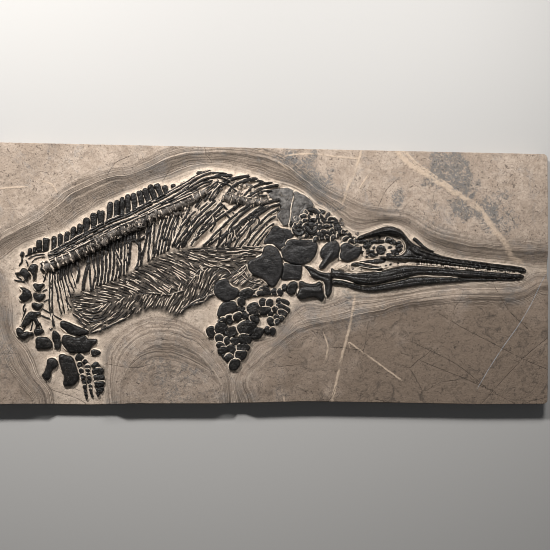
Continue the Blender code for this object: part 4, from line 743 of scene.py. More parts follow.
        (-60.8, -28.0), (-61.7, -28.2), (-62.3, -27.7), (-62.7, -27.0), (-62.2, -26.3), (-61.8, -25.3),
        (-61.5, -24.2)], {"brim": 0.6, "dome": 0.3}),
    ("rightFemur", "right_femur", "dark", 1.0, [(-58.4, -22.2), (-58.1, -21.6), (-57.3, -21.5), (-56.3, -21.8),
        (-55.2, -22.0), (-54.6, -22.6), (-54.2, -23.6), (-53.8, -24.8), (-53.4, -26.0), (-53.1, -27.2),
        (-53.2, -28.3), (-53.8, -29.2), (-54.8, -29.8), (-55.9, -29.9), (-56.8, -29.9), (-57.1, -29.2),
        (-56.9, -27.8), (-57.2, -26.5), (-57.7, -25.2), (-58.2, -23.7)], {"brim": 0.7, "dome": 0.25}),
    ("looseSpine", "loose_spine", "brown", 0.5,
        [(-22.2, 27.5), (-22.0, 28.1), (-20.6, 28.2), (-18.5, 28.55), (-18.3, 28.0), (-20.2, 27.6)],
        {"brim": 0.3}),
    ("ulnarDisc", "ulnar_disc", "grey", 0.85, [(-16.9, -2.9), (-16.6, -2.1), (-15.6, -1.5), (-14.4, -1.1),
        (-13.6, -1.15), (-13.35, -2), (-12.7, -2.9), (-11.9, -3.4), (-10.9, -3.6), (-10.5, -4.4), (-10.8, -5.3),
        (-11.6, -6.1), (-12.6, -6.7), (-13.8, -6.9), (-15, -6.5), (-16.2, -5.7), (-16.9, -4.9), (-17.1, -3.9)],
        {"brim": 0.6, "dome": 0.2}),
    ("wristDisc", "wrist_disc", "grey", 0.85, [(-14.6, -7.4), (-13.4, -7.2), (-12.1, -7.05), (-11.3, -7.5),
        (-10.95, -8.5), (-11, -9.2), (-12.3, -9.8), (-13.6, -10.3), (-14.9, -10.9), (-15.8, -11.3),
        (-16.1, -10.6), (-15.9, -9.5), (-15.4, -8.3)], {"brim": 0.6}),
]
rimLines = []
otherSlots = {
    "hind_cheek_bone": "skull_bone", "clavicle": "girdle_bone", "humerus": "girdle_bone",
    "radius": "girdle_bone", "ulnar_disc": "belly_bone", "wrist_disc": "belly_bone",
}
print("flat bones")
for number, (piece, node, tone, high, outline, extras) in enumerate(flatBones):
    shape = bmesh.new()
    extras.setdefault("grow", 0.27 if slots[tone] == "girdle_bone" or node.startswith("neck") else 0.10)
    cut = node[:4] in ("tail", "neck", "atla", "hind") or piece.endswith("Disc")
    extras.setdefault("corner", 0.15 if cut else 0.0)
    ring = boneShell(shape, outline, high, number * 3.7 + 1, **extras)
    toPiece(shape, piece, looks[tone], otherSlots.get(node, slots[tone]), node)
    rimLines.append((ring, high, 0.5 if tone == "jaw" else 1.0))


# Paddle bones: each disc its own worn tablet
paddles = {
    "foreDigitA": ("fore_digit_1", "dark", 0.80, [
        [(-16, -12.4), (-14.9, -11.6), (-14.1, -11.7), (-14.1, -12.6), (-15.5, -12.9)], [(-16.6, -13.9),
        (-16.2, -13.1), (-15.2, -12.8), (-14.2, -13.1), (-13.7, -14), (-14.2, -15), (-15.1, -15.8),
        (-16.2, -15.5), (-16.7, -14.8)], [(-19, -14.8), (-18.2, -14), (-17.3, -14), (-17, -15), (-16.95, -15.8),
        (-17.6, -16.7), (-18.4, -16.5), (-18.9, -15.6)],
        [(-16.6, -16.6), (-15.6, -16.1), (-14.9, -16.6), (-14.6, -17.6), (-15.4, -18.1), (-16.3, -17.9)],
        [(-16.3, -18.6), (-15.6, -18.2), (-14.6, -18.6), (-14.2, -19.1), (-15, -19.3), (-15.9, -19.4)],
        [(-15.7, -19.8), (-14.6, -19.5), (-13.5, -19.7), (-13.7, -20.5), (-14.7, -20.6), (-15, -21.1),
        (-15.8, -21)], [(-14.9, -21.6), (-14.1, -21.4), (-13.9, -22.0), (-14.4, -22.3)]]),
    "foreDigitB": ("fore_digit_2", "dark", 0.88, [
        [(-13.9, -11.3), (-12.6, -10.9), (-11.95, -11.6), (-12.2, -12.8), (-13.2, -12.9)],
        [(-14, -15.6), (-13.5, -14.6), (-12.6, -14.2), (-11.6, -14), (-11.1, -14.9), (-11.3, -15.8),
        (-12.3, -16.4), (-13.4, -16.5)],
        [(-14.1, -17.3), (-13.6, -16.9), (-12.8, -17), (-12.75, -17.9), (-13.2, -18.6), (-14.1, -18.2)],
        [(-12.4, -17.3), (-11.5, -16.9), (-10.45, -17.2), (-10.35, -18.2), (-11, -18.8), (-12.2, -18.6)],
        [(-13, -19), (-12, -18.9), (-11.25, -19.6), (-11.35, -20.8), (-12.3, -21.1), (-13, -20.7)],
        [(-13.8, -21.9), (-12.9, -21.3), (-12.1, -21.8), (-12.1, -22.8), (-12.9, -23.2), (-13.8, -22.9)]]),
    "foreDigitC": ("fore_digit_3", "dark", 0.90, [
        [(-11.8, -10.9), (-10.2, -10.1), (-9.75, -10.6), (-9.9, -11.7), (-10.9, -12.1), (-11.7, -11.8)],
        [(-10.7, -13.9), (-9.8, -13), (-8.6, -12.4), (-7.4, -12.1), (-6.3, -12.7), (-5.8, -13.5), (-6.1, -14.6),
        (-6.7, -15.6), (-7.6, -16.0), (-8.8, -15.8), (-9.9, -15.6), (-10.4, -14.9)], [(-6.1, -14.7),
        (-5.5, -14.2), (-4, -14.5), (-3.6, -15), (-4.2, -16), (-5, -16.8), (-6.3, -17), (-6.85, -16.5),
        (-6.3, -15.8)], [(-10.2, -16.4), (-9.2, -16.1), (-7.9, -16.3), (-7.1, -16.9), (-7.2, -17.9),
        (-8.2, -18.3), (-9.5, -18.3), (-10.15, -17.5)], [(-10.6, -18.9), (-9.4, -18.65), (-8, -18.8),
        (-7.5, -19.6), (-8.1, -20.2), (-9.4, -20.3), (-10.6, -20.1)], [(-10.95, -20.7), (-9.6, -20.65),
        (-8.3, -20.6), (-8.6, -21.9), (-9.5, -22.7), (-10.6, -22.6), (-11.1, -21.8)], [(-12.6, -23.9),
        (-12.2, -23.1), (-11.2, -22.8), (-10.2, -23), (-10.15, -24.1), (-11.1, -25.3), (-12, -25.4),
        (-12.8, -24.9)]]),
    "foreDigitD": ("fore_digit_4", "dark", 0.92, [[(-8, -8.5), (-7.3, -7.8), (-6.2, -7.4), (-5.2, -7.8),
        (-4.95, -8.8), (-4.85, -10.1), (-5.5, -10.7), (-6.8, -10.5), (-7.8, -9.9), (-8.1, -9.2)],
        [(-10.6, -6.5), (-9.8, -6.1), (-9, -6.7), (-8.9, -7.5), (-9.4, -8.3), (-10.2, -8.2), (-10.6, -7.4)],
        [(-9.4, -10.2), (-8.7, -9.8), (-8.0, -10.5), (-7.95, -11.4), (-8.8, -11.7), (-9.5, -11.2)],
        [(-7.2, -11.1), (-5.5, -11.0), (-5, -11.9), (-5.2, -12.7), (-6.2, -12.4), (-7.1, -11.8)]]),
    "foreDigitE": ("fore_digit_5", "dark", 0.85, [
        [(-10.4, -5.5), (-9.7, -4.3), (-7.9, -3.6), (-6.5, -4.3), (-7.4, -5.7), (-9.2, -6.1)],
        [(-10.9, -8.9), (-9.6, -8.5), (-8.7, -8.9), (-9.3, -9.7), (-10.6, -9.8)],
        [(-4.8, -6.9), (-4, -6.3), (-3.3, -6.5), (-3.05, -7.6), (-3.8, -8.2), (-4.6, -7.9)],
        [(-2.8, -7), (-2.2, -6.4), (-1.5, -6.6), (-1.3, -7.8), (-2, -8.5), (-2.7, -8.1)],
        [(-4.7, -8.9), (-3.5, -8.65), (-1.7, -8.95), (-2.5, -10.1), (-3.8, -10.5), (-4.75, -9.9)],
        [(-5.6, -5.1), (-5.2, -4.4), (-3.6, -4.2), (-1.9, -4.2), (-1.8, -4.8), (-3.6, -5.0)],
        [(-5.1, -3.8), (-4.2, -3.2), (-2.5, -3.25), (-2.4, -3.8), (-3.8, -3.95)]]),
    "foreDigitF": ("fore_digit_6", "dark", 0.70, [
        [(-0.1, -6.6), (0.4, -6.1), (1.0, -6.5), (0.9, -7.2), (0.2, -7.3)],
        [(1.4, -6.5), (2.2, -6.6), (3.2, -7.2), (3.0, -7.8), (2.0, -7.5), (1.4, -7.2)],
        [(0.0, -7.7), (1.2, -7.8), (3.2, -8.9), (3.4, -9.6), (2.2, -9.5), (0.8, -9.0), (-0.1, -8.4)],
        [(-1.2, -8.7), (-0.5, -8.5), (0.1, -9.0), (-0.1, -9.7), (-0.9, -9.8)],
        [(0.5, -9.4), (1.4, -9.4), (2.6, -10.1), (2.5, -10.8), (1.4, -10.5), (0.5, -10.1)],
        [(-2.2, -10.1), (-1.6, -9.8), (-1.2, -10.3), (-1.6, -10.9), (-2.2, -10.7)],
        [(-0.6, -11.1), (0, -10.6), (0.6, -11), (0.5, -11.7), (-0.2, -11.9)],
        [(0.9, -11.1), (1.5, -11), (1.8, -11.6), (1.3, -12.1), (0.8, -11.8)],
        [(-2.5, -11.8), (-1.7, -11.4), (-1.2, -12), (-1.0, -13.1), (-1.6, -13.7), (-2.1, -13)],
        [(-0.4, -12.2), (0.2, -11.9), (0.6, -12.4), (0.3, -12.9), (-0.3, -12.9)],
        [(-3.1, -14.4), (-2.6, -13.8), (-2.0, -14.2), (-1.9, -15.2), (-2.4, -15.8), (-3.0, -15.3)],
        [(-1.7, -14.5), (-1.1, -14.1), (-0.6, -14.6), (-0.6, -15.5), (-1.1, -15.9), (-1.6, -15.4)],
        [(1.5, -2.7), (2.1, -2.3), (2.4, -3.2), (2.0, -3.8), (1.5, -3.4)],
        [(0.2, -4.0), (0.9, -3.5), (1.4, -4.1), (1.3, -5.0), (0.6, -5.2)],
        [(-1.4, -4.0), (-0.7, -3.5), (-0.1, -4.1), (-0.4, -5.0), (-1.2, -4.9)]]),
    "hindDigitA": ("hind_digit_1", "dark", 0.72, [[(-54.0, -22.3), (-53.6, -21.5), (-52.8, -21.4),
        (-52.1, -21.8), (-51.85, -22.5), (-52.3, -23.05), (-53.1, -23.2), (-53.9, -22.9)],
        [(-53.45, -23.9), (-52.95, -23.45), (-52.4, -23.8), (-52.35, -24.6), (-52.95, -24.9), (-53.4, -24.6)],
        [(-52.95, -25.5), (-52.5, -25.2), (-51.95, -25.6), (-51.95, -26.4), (-52.5, -26.6), (-52.95, -26.2)],
        [(-52.55, -27.0), (-52.1, -26.8), (-51.6, -27.1), (-51.6, -27.9), (-52.1, -28.1), (-52.5, -27.8)],
        [(-52.05, -28.5), (-51.6, -28.35), (-51.2, -28.6), (-51.2, -29.3), (-51.65, -29.4), (-52.0, -29.2)],
        [(-51.9, -29.8), (-51.5, -29.65), (-51.1, -29.8), (-51.1, -30.5), (-51.5, -30.6), (-51.9, -30.4)],
        [(-51.65, -30.9), (-51.3, -30.8), (-50.95, -31), (-50.95, -31.5), (-51.3, -31.65), (-51.65, -31.45)],
        [(-51.4, -31.95), (-51.1, -31.85), (-50.8, -32), (-50.8, -32.45), (-51.1, -32.55), (-51.4, -32.4)],
        [(-51.15, -32.85), (-50.9, -32.75), (-50.65, -32.9), (-50.7, -33.3), (-50.95, -33.4), (-51.15, -33.2)]]),
    "hindDigitB": ("hind_digit_2", "dark", 0.72, [
        [(-52.1, -23.3), (-51.6, -22.8), (-51.0, -23.0), (-50.85, -23.6), (-51.4, -23.95), (-52.0, -23.7)],
        [(-51.3, -24.5), (-50.8, -24.2), (-50.3, -24.5), (-50.3, -24.95), (-50.8, -25.1), (-51.3, -25.0)],
        [(-51.25, -25.4), (-50.8, -25.25), (-50.3, -25.5), (-50.3, -26.0), (-50.8, -26.15), (-51.2, -25.9)],
        [(-50.95, -26.4), (-50.5, -26.3), (-50.05, -26.5), (-50.05, -27.1), (-50.5, -27.2), (-50.9, -27.0)],
        [(-50.75, -27.4), (-50.3, -27.3), (-49.9, -27.5), (-49.95, -28.0), (-50.4, -28.1), (-50.7, -27.9)],
        [(-50.8, -28.4), (-50.4, -28.25), (-50.0, -28.5), (-50.0, -29.2), (-50.4, -29.3), (-50.75, -29.1)],
        [(-50.4, -29.6), (-50.0, -29.5), (-49.65, -29.7), (-49.65, -30.3), (-50.0, -30.4), (-50.35, -30.2)],
        [(-50.25, -30.65), (-49.9, -30.55), (-49.6, -30.7), (-49.6, -31.2), (-49.9, -31.3), (-50.2, -31.15)],
        [(-50.05, -31.5), (-49.75, -31.4), (-49.45, -31.6), (-49.45, -32.0), (-49.75, -32.1), (-50.0, -31.95)],
        [(-49.7, -32.35), (-49.4, -32.25), (-49.15, -32.4), (-49.2, -32.8), (-49.45, -32.9), (-49.7, -32.7)]]),
    "hindDigitC": ("hind_digit_3", "dark", 0.78, [
        [(-49.9, -24.6), (-49.2, -23.8), (-48.4, -23.4), (-47.8, -24.0), (-47.6, -24.7), (-48.6, -24.95)],
        [(-49.6, -25.7), (-48.8, -25.25), (-47.7, -25.1), (-46.8, -25.2), (-46.5, -25.9), (-46.9, -26.6),
        (-48.2, -26.8), (-49.4, -26.6)], [(-49.2, -27.1), (-48.0, -27.0), (-46.8, -26.9), (-46.3, -27.3),
        (-46.4, -28.2), (-47.6, -28.5), (-48.9, -28.4)], [(-48.9, -28.8), (-47.6, -28.75), (-46.5, -28.6),
        (-46.2, -29.3), (-46.5, -29.9), (-47.6, -30.1), (-48.7, -30.0)], [(-48.6, -30.4), (-47.6, -30.4),
        (-46.6, -30.2), (-46.45, -30.9), (-46.8, -31.5), (-47.5, -31.5), (-48.4, -31.3)],
        [(-48.3, -31.6), (-47.7, -31.7), (-47.4, -32.2), (-47.9, -32.7), (-48.25, -32.2)]]),
}
print("paddle bones")
for number, (piece, (node, tone, high, outlines)) in enumerate(paddles.items()):
    shape = bmesh.new()
    for k, outline in enumerate(outlines):
        lift = high * (1 + 0.10 * grain(outline[0][0], outline[0][1], 0.8, 4.0))
        ring = boneShell(shape, outline, lift, number * 5.1 + k * 1.3,
                         brim=0.20, dome=0.02, foot=0.66, rough=0.09, wobble=0.03,
                         grow=0.34 if piece[:4] == "fore" else 0.12, corner=0.13)
        rimLines.append((ring, lift * 1.15, 0.8))
    toPiece(shape, piece, looks[tone], slots[tone], node)


def tablet(start, end, wide, bulge=0.12):
    # Outline of a spine: a long rounded tablet from start to end
    a, b = np.array(start, float), np.array(end, float)
    ahead = (b - a) / np.linalg.norm(b - a)
    side = np.array([-ahead[1], ahead[0]]) * wide / 2
    long = np.linalg.norm(b - a)
    return [tuple(a + ahead * long * s + side * w) for s, w in (
        (0.0, 0.55), (0.05, 0.86), (0.3, 0.88 - bulge / 2), (0.6, 0.94), (0.85, 1 + bulge / 2), (0.97, 0.72),
        (1.0, 0.2),
        (1.0, -0.25), (0.96, -0.75), (0.84, -0.98), (0.6, -0.9), (0.3, -0.84), (0.05, -0.86), (0.0, -0.5))]


# Spines along the back: foot, tip, width in cm
backSpines = [
    ((-60.1, 5.9), (-60.0, 10.0), 1.0), ((-58.4, 6.5), (-58.4, 10.6), 0.95),
    ((-57.0, 7.2), (-56.4, 11.2), 1.15), ((-55.3, 8.2), (-54.8, 12.5), 1.1), ((-53.6, 9.2), (-52.9, 13.5), 1.3),
    ((-51.5, 10.0), (-51.5, 15.0), 1.35), ((-49.5, 11.3), (-49.6, 16.4), 1.4),
    ((-47.6, 12.4), (-47.8, 17.3), 1.5), ((-45.7, 13.2), (-45.2, 19.4), 1.2),
    ((-43.8, 14.3), (-43.4, 19.9), 1.1), ((-42.2, 15.0), (-42.0, 20.8), 1.0),
    ((-40.5, 15.8), (-40.6, 21.5), 1.05), ((-38.6, 16.8), (-39.1, 21.9), 1.15),
    ((-36.6, 17.8), (-37.6, 22.8), 1.2), ((-34.7, 18.6), (-36.1, 23.3), 1.25),
    ((-33.2, 19.8), (-34.7, 24.2), 1.3), ((-31.4, 20.8), (-33.1, 24.7), 1.25),
    ((-30.0, 21.6), (-30.9, 24.1), 1.2), ((-27.9, 22.5), (-28.6, 24.5), 1.0),
    ((-26.0, 23.9), (-26.2, 24.7), 0.5), ((-25.2, 24.5), (-25.6, 25.2), 0.45),
]
tailSpines = [
    ((-64.0, 6.0), (-63.9, 8.9), 1.15), ((-62.2, 6.2), (-62.1, 9.6), 1.25), ((-68.6, 4.7), (-68.2, 5.6), 0.7),
    ((-66.5, 5.2), (-66.2, 6.6), 0.75), ((-65.2, 5.7), (-65.0, 7.0), 0.7),
]
print("spines")
for name, node, rows in (("backSpines", "neural_arches", backSpines), ("tailSpines", "tail_arches", tailSpines)):
    shape = bmesh.new()
    for k, (start, end, wide) in enumerate(rows):
        outline = tablet(start, end, wide * 1.10)
        if wide > 1 and k % 3 == 1:  # some tips are notched
            tip = np.array(end) - (np.array(end) - np.array(start)) * 0.09
            outline[6:8] = [tuple(tip)]
        ring = boneShell(shape, outline, 0.85 + 0.1 * (k % 2), 60 + k * 1.7,
                         brim=0.4, dome=0.08, wobble=0.05, grow=0.19)
        rimLines.append((ring, 0.8, 0.75))
    toPiece(shape, name, looks["dark"], "dark_bone", node)


# Backbone: waisted drums, crushed against one another
def drum(target, middle, heading, long, half, high, seed, squash=0.25):
    # Its profile is spun round the drum's axis, then crushed and laid down
    shape = bmesh.new()
    profile = [(0.0, -0.36), (0.45, -0.40), (0.86, -0.5), (0.98, -0.49), (1.0, -0.40), (0.93, -0.28), (0.86, -0.1),
               (0.86, 0.1), (0.93, 0.28), (1.0, 0.40), (0.98, 0.49), (0.86, 0.5), (0.45, 0.40), (0.0, 0.36)]
    line = [shape.verts.new((along * long, 0, out * high)) for out, along in profile]
    edges = [shape.edges.new(pair) for pair in zip(line, line[1:])]
    bmesh.ops.spin(shape, geom=line + edges, cent=(0, 0, 0), axis=(1, 0, 0), angle=2 * math.pi, steps=22)
    bmesh.ops.remove_doubles(shape, verts=shape.verts, dist=1e-4)
    turn = Matrix.Rotation(heading, 3, "Z")
    for v in shape.verts:
        place = v.co.copy()
        place.y *= half / high
        bent = noise.fractal(Vector((place.x * 0.9 + seed, place.y * 0.9, place.z * 0.9)), 0.7, 2.1, 3)
        finer = noise.fractal(Vector((place.x * 2.9 + seed, place.y * 2.9, place.z * 2.9)), 0.7, 2.1, 3)
        place *= 1 + bent * squash * 0.7 + finer * 0.16
        v.co = turn @ place + Vector(middle)
        v.co.z = min(v.co.z, 5.15 + 0.02 * bent)
    bmesh.ops.recalc_face_normals(shape, faces=shape.faces)
    for face in shape.faces:
        face.smooth = True
    gather(target, shape)


rearSpine = [
    (-62.6, 1.6), (-60.8, 2.2), (-57, 4.0), (-54, 5.3), (-51, 6.8), (-48, 8.6), (-45, 10.3), (-42, 11.9),
    (-39, 13.2), (-36, 14.6), (-33, 16.2), (-30, 17.6), (-27, 18.9), (-24, 20.3), (-21.4, 21.6), (-19.4, 22.7),
]
frontSpine = [(-14.8, 21.4), (-12, 20.7), (-9.5, 20.3), (-7, 20.0), (-4.6, 20.3), (-2.8, 20.6)]
drumValues = {"long": 1.92, "half": 1.62, "high": 1.62, "sunk": 0.45, "top": 5.04}
drumHalf, drumBed = drumValues["half"], boneBed + drumValues["sunk"]
print("backbone")
seams, litCrests, rubble = [], [], []
for name, node, line, wide, extra in (
    ("rearColumn", "rear_backbone", rearSpine, 1.0, 0.0), ("frontColumn", "front_backbone", frontSpine, 0.86, 0.5),
):
    shape = bmesh.new()
    chance = random.Random(41)
    dense = smoothLine(line, 0.1)
    along = cumulative(dense)
    count = int(along[-1] / (drumValues["long"] * 0.97))
    for k in range(count):
        at = (k + 0.5) * along[-1] / count
        place = np.array([np.interp(at, along, dense[:, j]) for j in (0, 1)])
        ahead = np.array([np.interp(at + 0.8, along, dense[:, j]) - np.interp(at - 0.8, along, dense[:, j])
                          for j in (0, 1)])
        unit = ahead / np.linalg.norm(ahead)
        heading = math.atan2(ahead[1], ahead[0])
        crush = ease(3, 9, k) * (1 - 0.85 * ease(15, 19, k)) * 0.5 + extra * 0.25
        grow = wide * np.interp(k / count, [0, 0.12, 0.5, 0.85, 1], [1.0, 1.08, 1.0, 0.92, 0.84])
        skew = chance.uniform(-0.28, 0.28) * (0.3 + crush)
        offset = np.array([-unit[1], unit[0]]) * chance.uniform(-0.22, 0.22) * crush
        high = drumValues["high"] * grow * chance.uniform(0.88, 1.0)
        drum(shape, (*(place + offset), drumBed), heading + skew, drumValues["long"] * 0.97,
             drumHalf * grow, high, k * 2.3, 0.16 + crush * 0.5)
        side = np.array([-math.sin(heading + skew), math.cos(heading + skew)])
        edge = place + offset - unit * drumValues["long"] * 0.49
        seams.append([(edge + side * s * drumHalf * grow * 1.02, drumBed + high * math.sqrt(max(0, 1 - s * s)) * 0.97)
                      for s in np.linspace(-0.96, 0.96, 13)])
        litCrests.append([(place + offset + side * drumHalf * grow * s + unit * t * 0.8,
                        drumBed + high * math.sqrt(1 - s * s) * 0.98)
                       for s, t in ((0.90, -0.9), (0.80, -0.5), (0.84, 0.0), (0.78, 0.5), (0.9, 0.9))])
        # Big splinters lie across the drums, finer ones all over them
        for amount, least, reach, lift, sizes, kinds in (
            (crush * 5, -0.9, 1.0, 0.92, (0.34, 0.62), (0.3, 1.0)),
            (2 + crush * 12, -0.95, 1.05, 0.94, (0.10, 0.36), (0.0, 1.0)),
        ):
            for bit in range(int(amount)):
                s, t = chance.uniform(least, 0.95), chance.uniform(-1, 1)
                spot = place + side * s * drumHalf * reach + unit * t
                rubble.append((spot, drumBed + high * math.sqrt(max(0.02, 1 - s * s)) * lift,
                               chance.uniform(*sizes), chance.uniform(*kinds)))
    toPiece(shape, name, looks["column"], "dark_bone", node)
    footprints.append(("line", dense[::6], 1.5, boneBed + 0.5))

# Stone and splinters packed into the joints of the column, and pale painted highlights along each drum's lit upper
# crest
shape = bmesh.new()
rods = []
for k, arc in enumerate(seams):
    line = np.array([p for p, z in arc])
    levels = np.minimum(np.array([z for p, z in arc]) - 0.02, 5.08)
    line = line + np.array([[grain(x, y, 0.9, k), grain(x, y, 0.9, k + 5)] for x, y in line]) * 0.25
    half = (0.24 if k < 5 else 0.12) + 0.10 * np.array([grain(x, y, 1.1, k) for x, y in line])
    cut = 2 + (k * 5) % 6
    for part in (slice(0, cut + 1), slice(cut + 1, 13)):
        if len(line[part]) > 2:
            rods.append((line[part], np.maximum(half[part], 0.035), levels[part], False))
# Pale rods on each drum's upper-left crest, the side facing the light: painted highlights
for k, crest in enumerate(litCrests):
    if k % 4 != 2:
        line = smoothLine([p for p, z in crest], 0.3)
        levels = np.interp(np.linspace(0, 1, len(line)), np.linspace(0, 1, 5), [z for p, z in crest])
        line = line + np.array([[grain(x, y, 1.1, k), grain(x, y, 1.1, k + 5)] for x, y in line]) * 0.2
        half = 0.11 + 0.11 * np.array([grain(x, y, 1.3, k) for x, y in line])
        rods.append((line, np.maximum(half, 0.04), np.minimum(levels, 5.06), False))
# Splinters that lie steeply across the crushed drums, dark ones and pale ones
splinters, chance = [], random.Random(61)
for line, amount, start, wide in ((rearSpine, 130, 8.0, 1.0), (frontSpine, 10, 0.0, 0.86)):
    dense = smoothLine(line, 0.1)
    along = cumulative(dense)
    for turn in range(amount):
        at = chance.uniform(start, along[-1] if line is frontSpine else 31)
        place, later = (np.array([np.interp(at + more, along, dense[:, j]) for j in (0, 1)]) for more in (0, 0.5))
        ahead = (later - place) / max(np.linalg.norm(later - place), 1e-6)
        side = np.array([-ahead[1], ahead[0]])
        first = chance.uniform(-0.95, 0.55)
        span = np.linspace(first, min(0.97, first + chance.uniform(0.35, 1.0)), 5)
        slant = chance.uniform(-0.35, 0.75)
        high = drumValues["high"] * wide * np.interp(at / along[-1], [0, 0.5, 1], [1.0, 0.97, 0.86])
        course = (place + side * span[:, None] * drumHalf * wide * 1.02
                  + ahead * (slant * (span - first))[:, None] * 1.6)
        levels = np.minimum(drumBed + high * np.sqrt(1 - span ** 2) + 0.03, drumValues["top"])
        if turn % 5 < 2:
            rods.append((course, np.full(5, chance.uniform(0.05, 0.10)), levels + 0.03, False))
        else:
            splinters.append((course, np.full(5, chance.uniform(0.12, 0.24)), levels, turn % 2 == 0))
rodBatch(shape, rods, "sharp")
toPiece(shape, "jointStone", paleRimAndHighlight, "stone")
shape = bmesh.new()
rodBatch(shape, splinters, "sharp")
toPiece(shape, "columnSplinters", looks["strand"], "dark_bone")


def chip(target, spot, level, size, seed, tall=0.6):
    # A broken crumb: a twelve-sided ball knocked out of shape
    shape = bmesh.new()
    bmesh.ops.create_icosphere(shape, subdivisions=1, radius=size)
    turn = Matrix.Rotation(seed * 6.3, 3, "Z")
    for v in shape.verts:
        knock = 1 + 0.6 * noise.noise(v.co * (1.6 / size) + Vector((seed * 31, 0, 0)))
        v.co = turn @ Vector((v.co.x * (1.0 + seed) * knock, v.co.y * (1.3 - seed * 0.7) * knock,
                              v.co.z * tall * knock))
        v.co += Vector((spot[0], spot[1], level))
        v.co.z = min(v.co.z, ceiling)
    gather(target, shape)


pale, dark = bmesh.new(), bmesh.new()
for spot, level, size, kind in rubble:
    chip(pale if kind < 0.36 and size > 0.2 else dark, spot, level, size * (0.8 if kind < 0.36 else 1.15), kind)
scatter = random.Random(9)
for x0, x1, y0, y1, amount, low, high in (
    (-13, -6.5, 20.6, 25.2, 60, 0.5, 1.0), (-19.5, -14.6, 19.2, 23.4, 34, 0.5, 1.1),
    (-33, -24, 16.2, 19.8, 30, 0.8, 1.3),
    (4.2, 16, 10.4, 14.6, 64, 0.3, 1.0), (-5.4, -1.6, 19.2, 22.6, 20, 0.5, 1.0),
    (12.5, 18.0, 12.0, 15.6, 44, 0.12, 0.4),
    (17.4, 22.6, 8.4, 12.0, 36, 0.10, 0.35), (-22, -8, 24.4, 26.8, 30, 0.5, 0.8)):
    for turn in range(amount):
        kind = scatter.random()
        spot = (scatter.uniform(x0, x1), scatter.uniform(y0, y1))
        level, size = boneBed + scatter.uniform(low, high), scatter.uniform(0.14, 0.5)
        chip(pale if kind < 0.34 else dark, spot, level, size, kind)
toPiece(pale, "paleRubble", filling, "stone")
toPiece(dark, "darkRubble", looks["column"], "dark_bone")

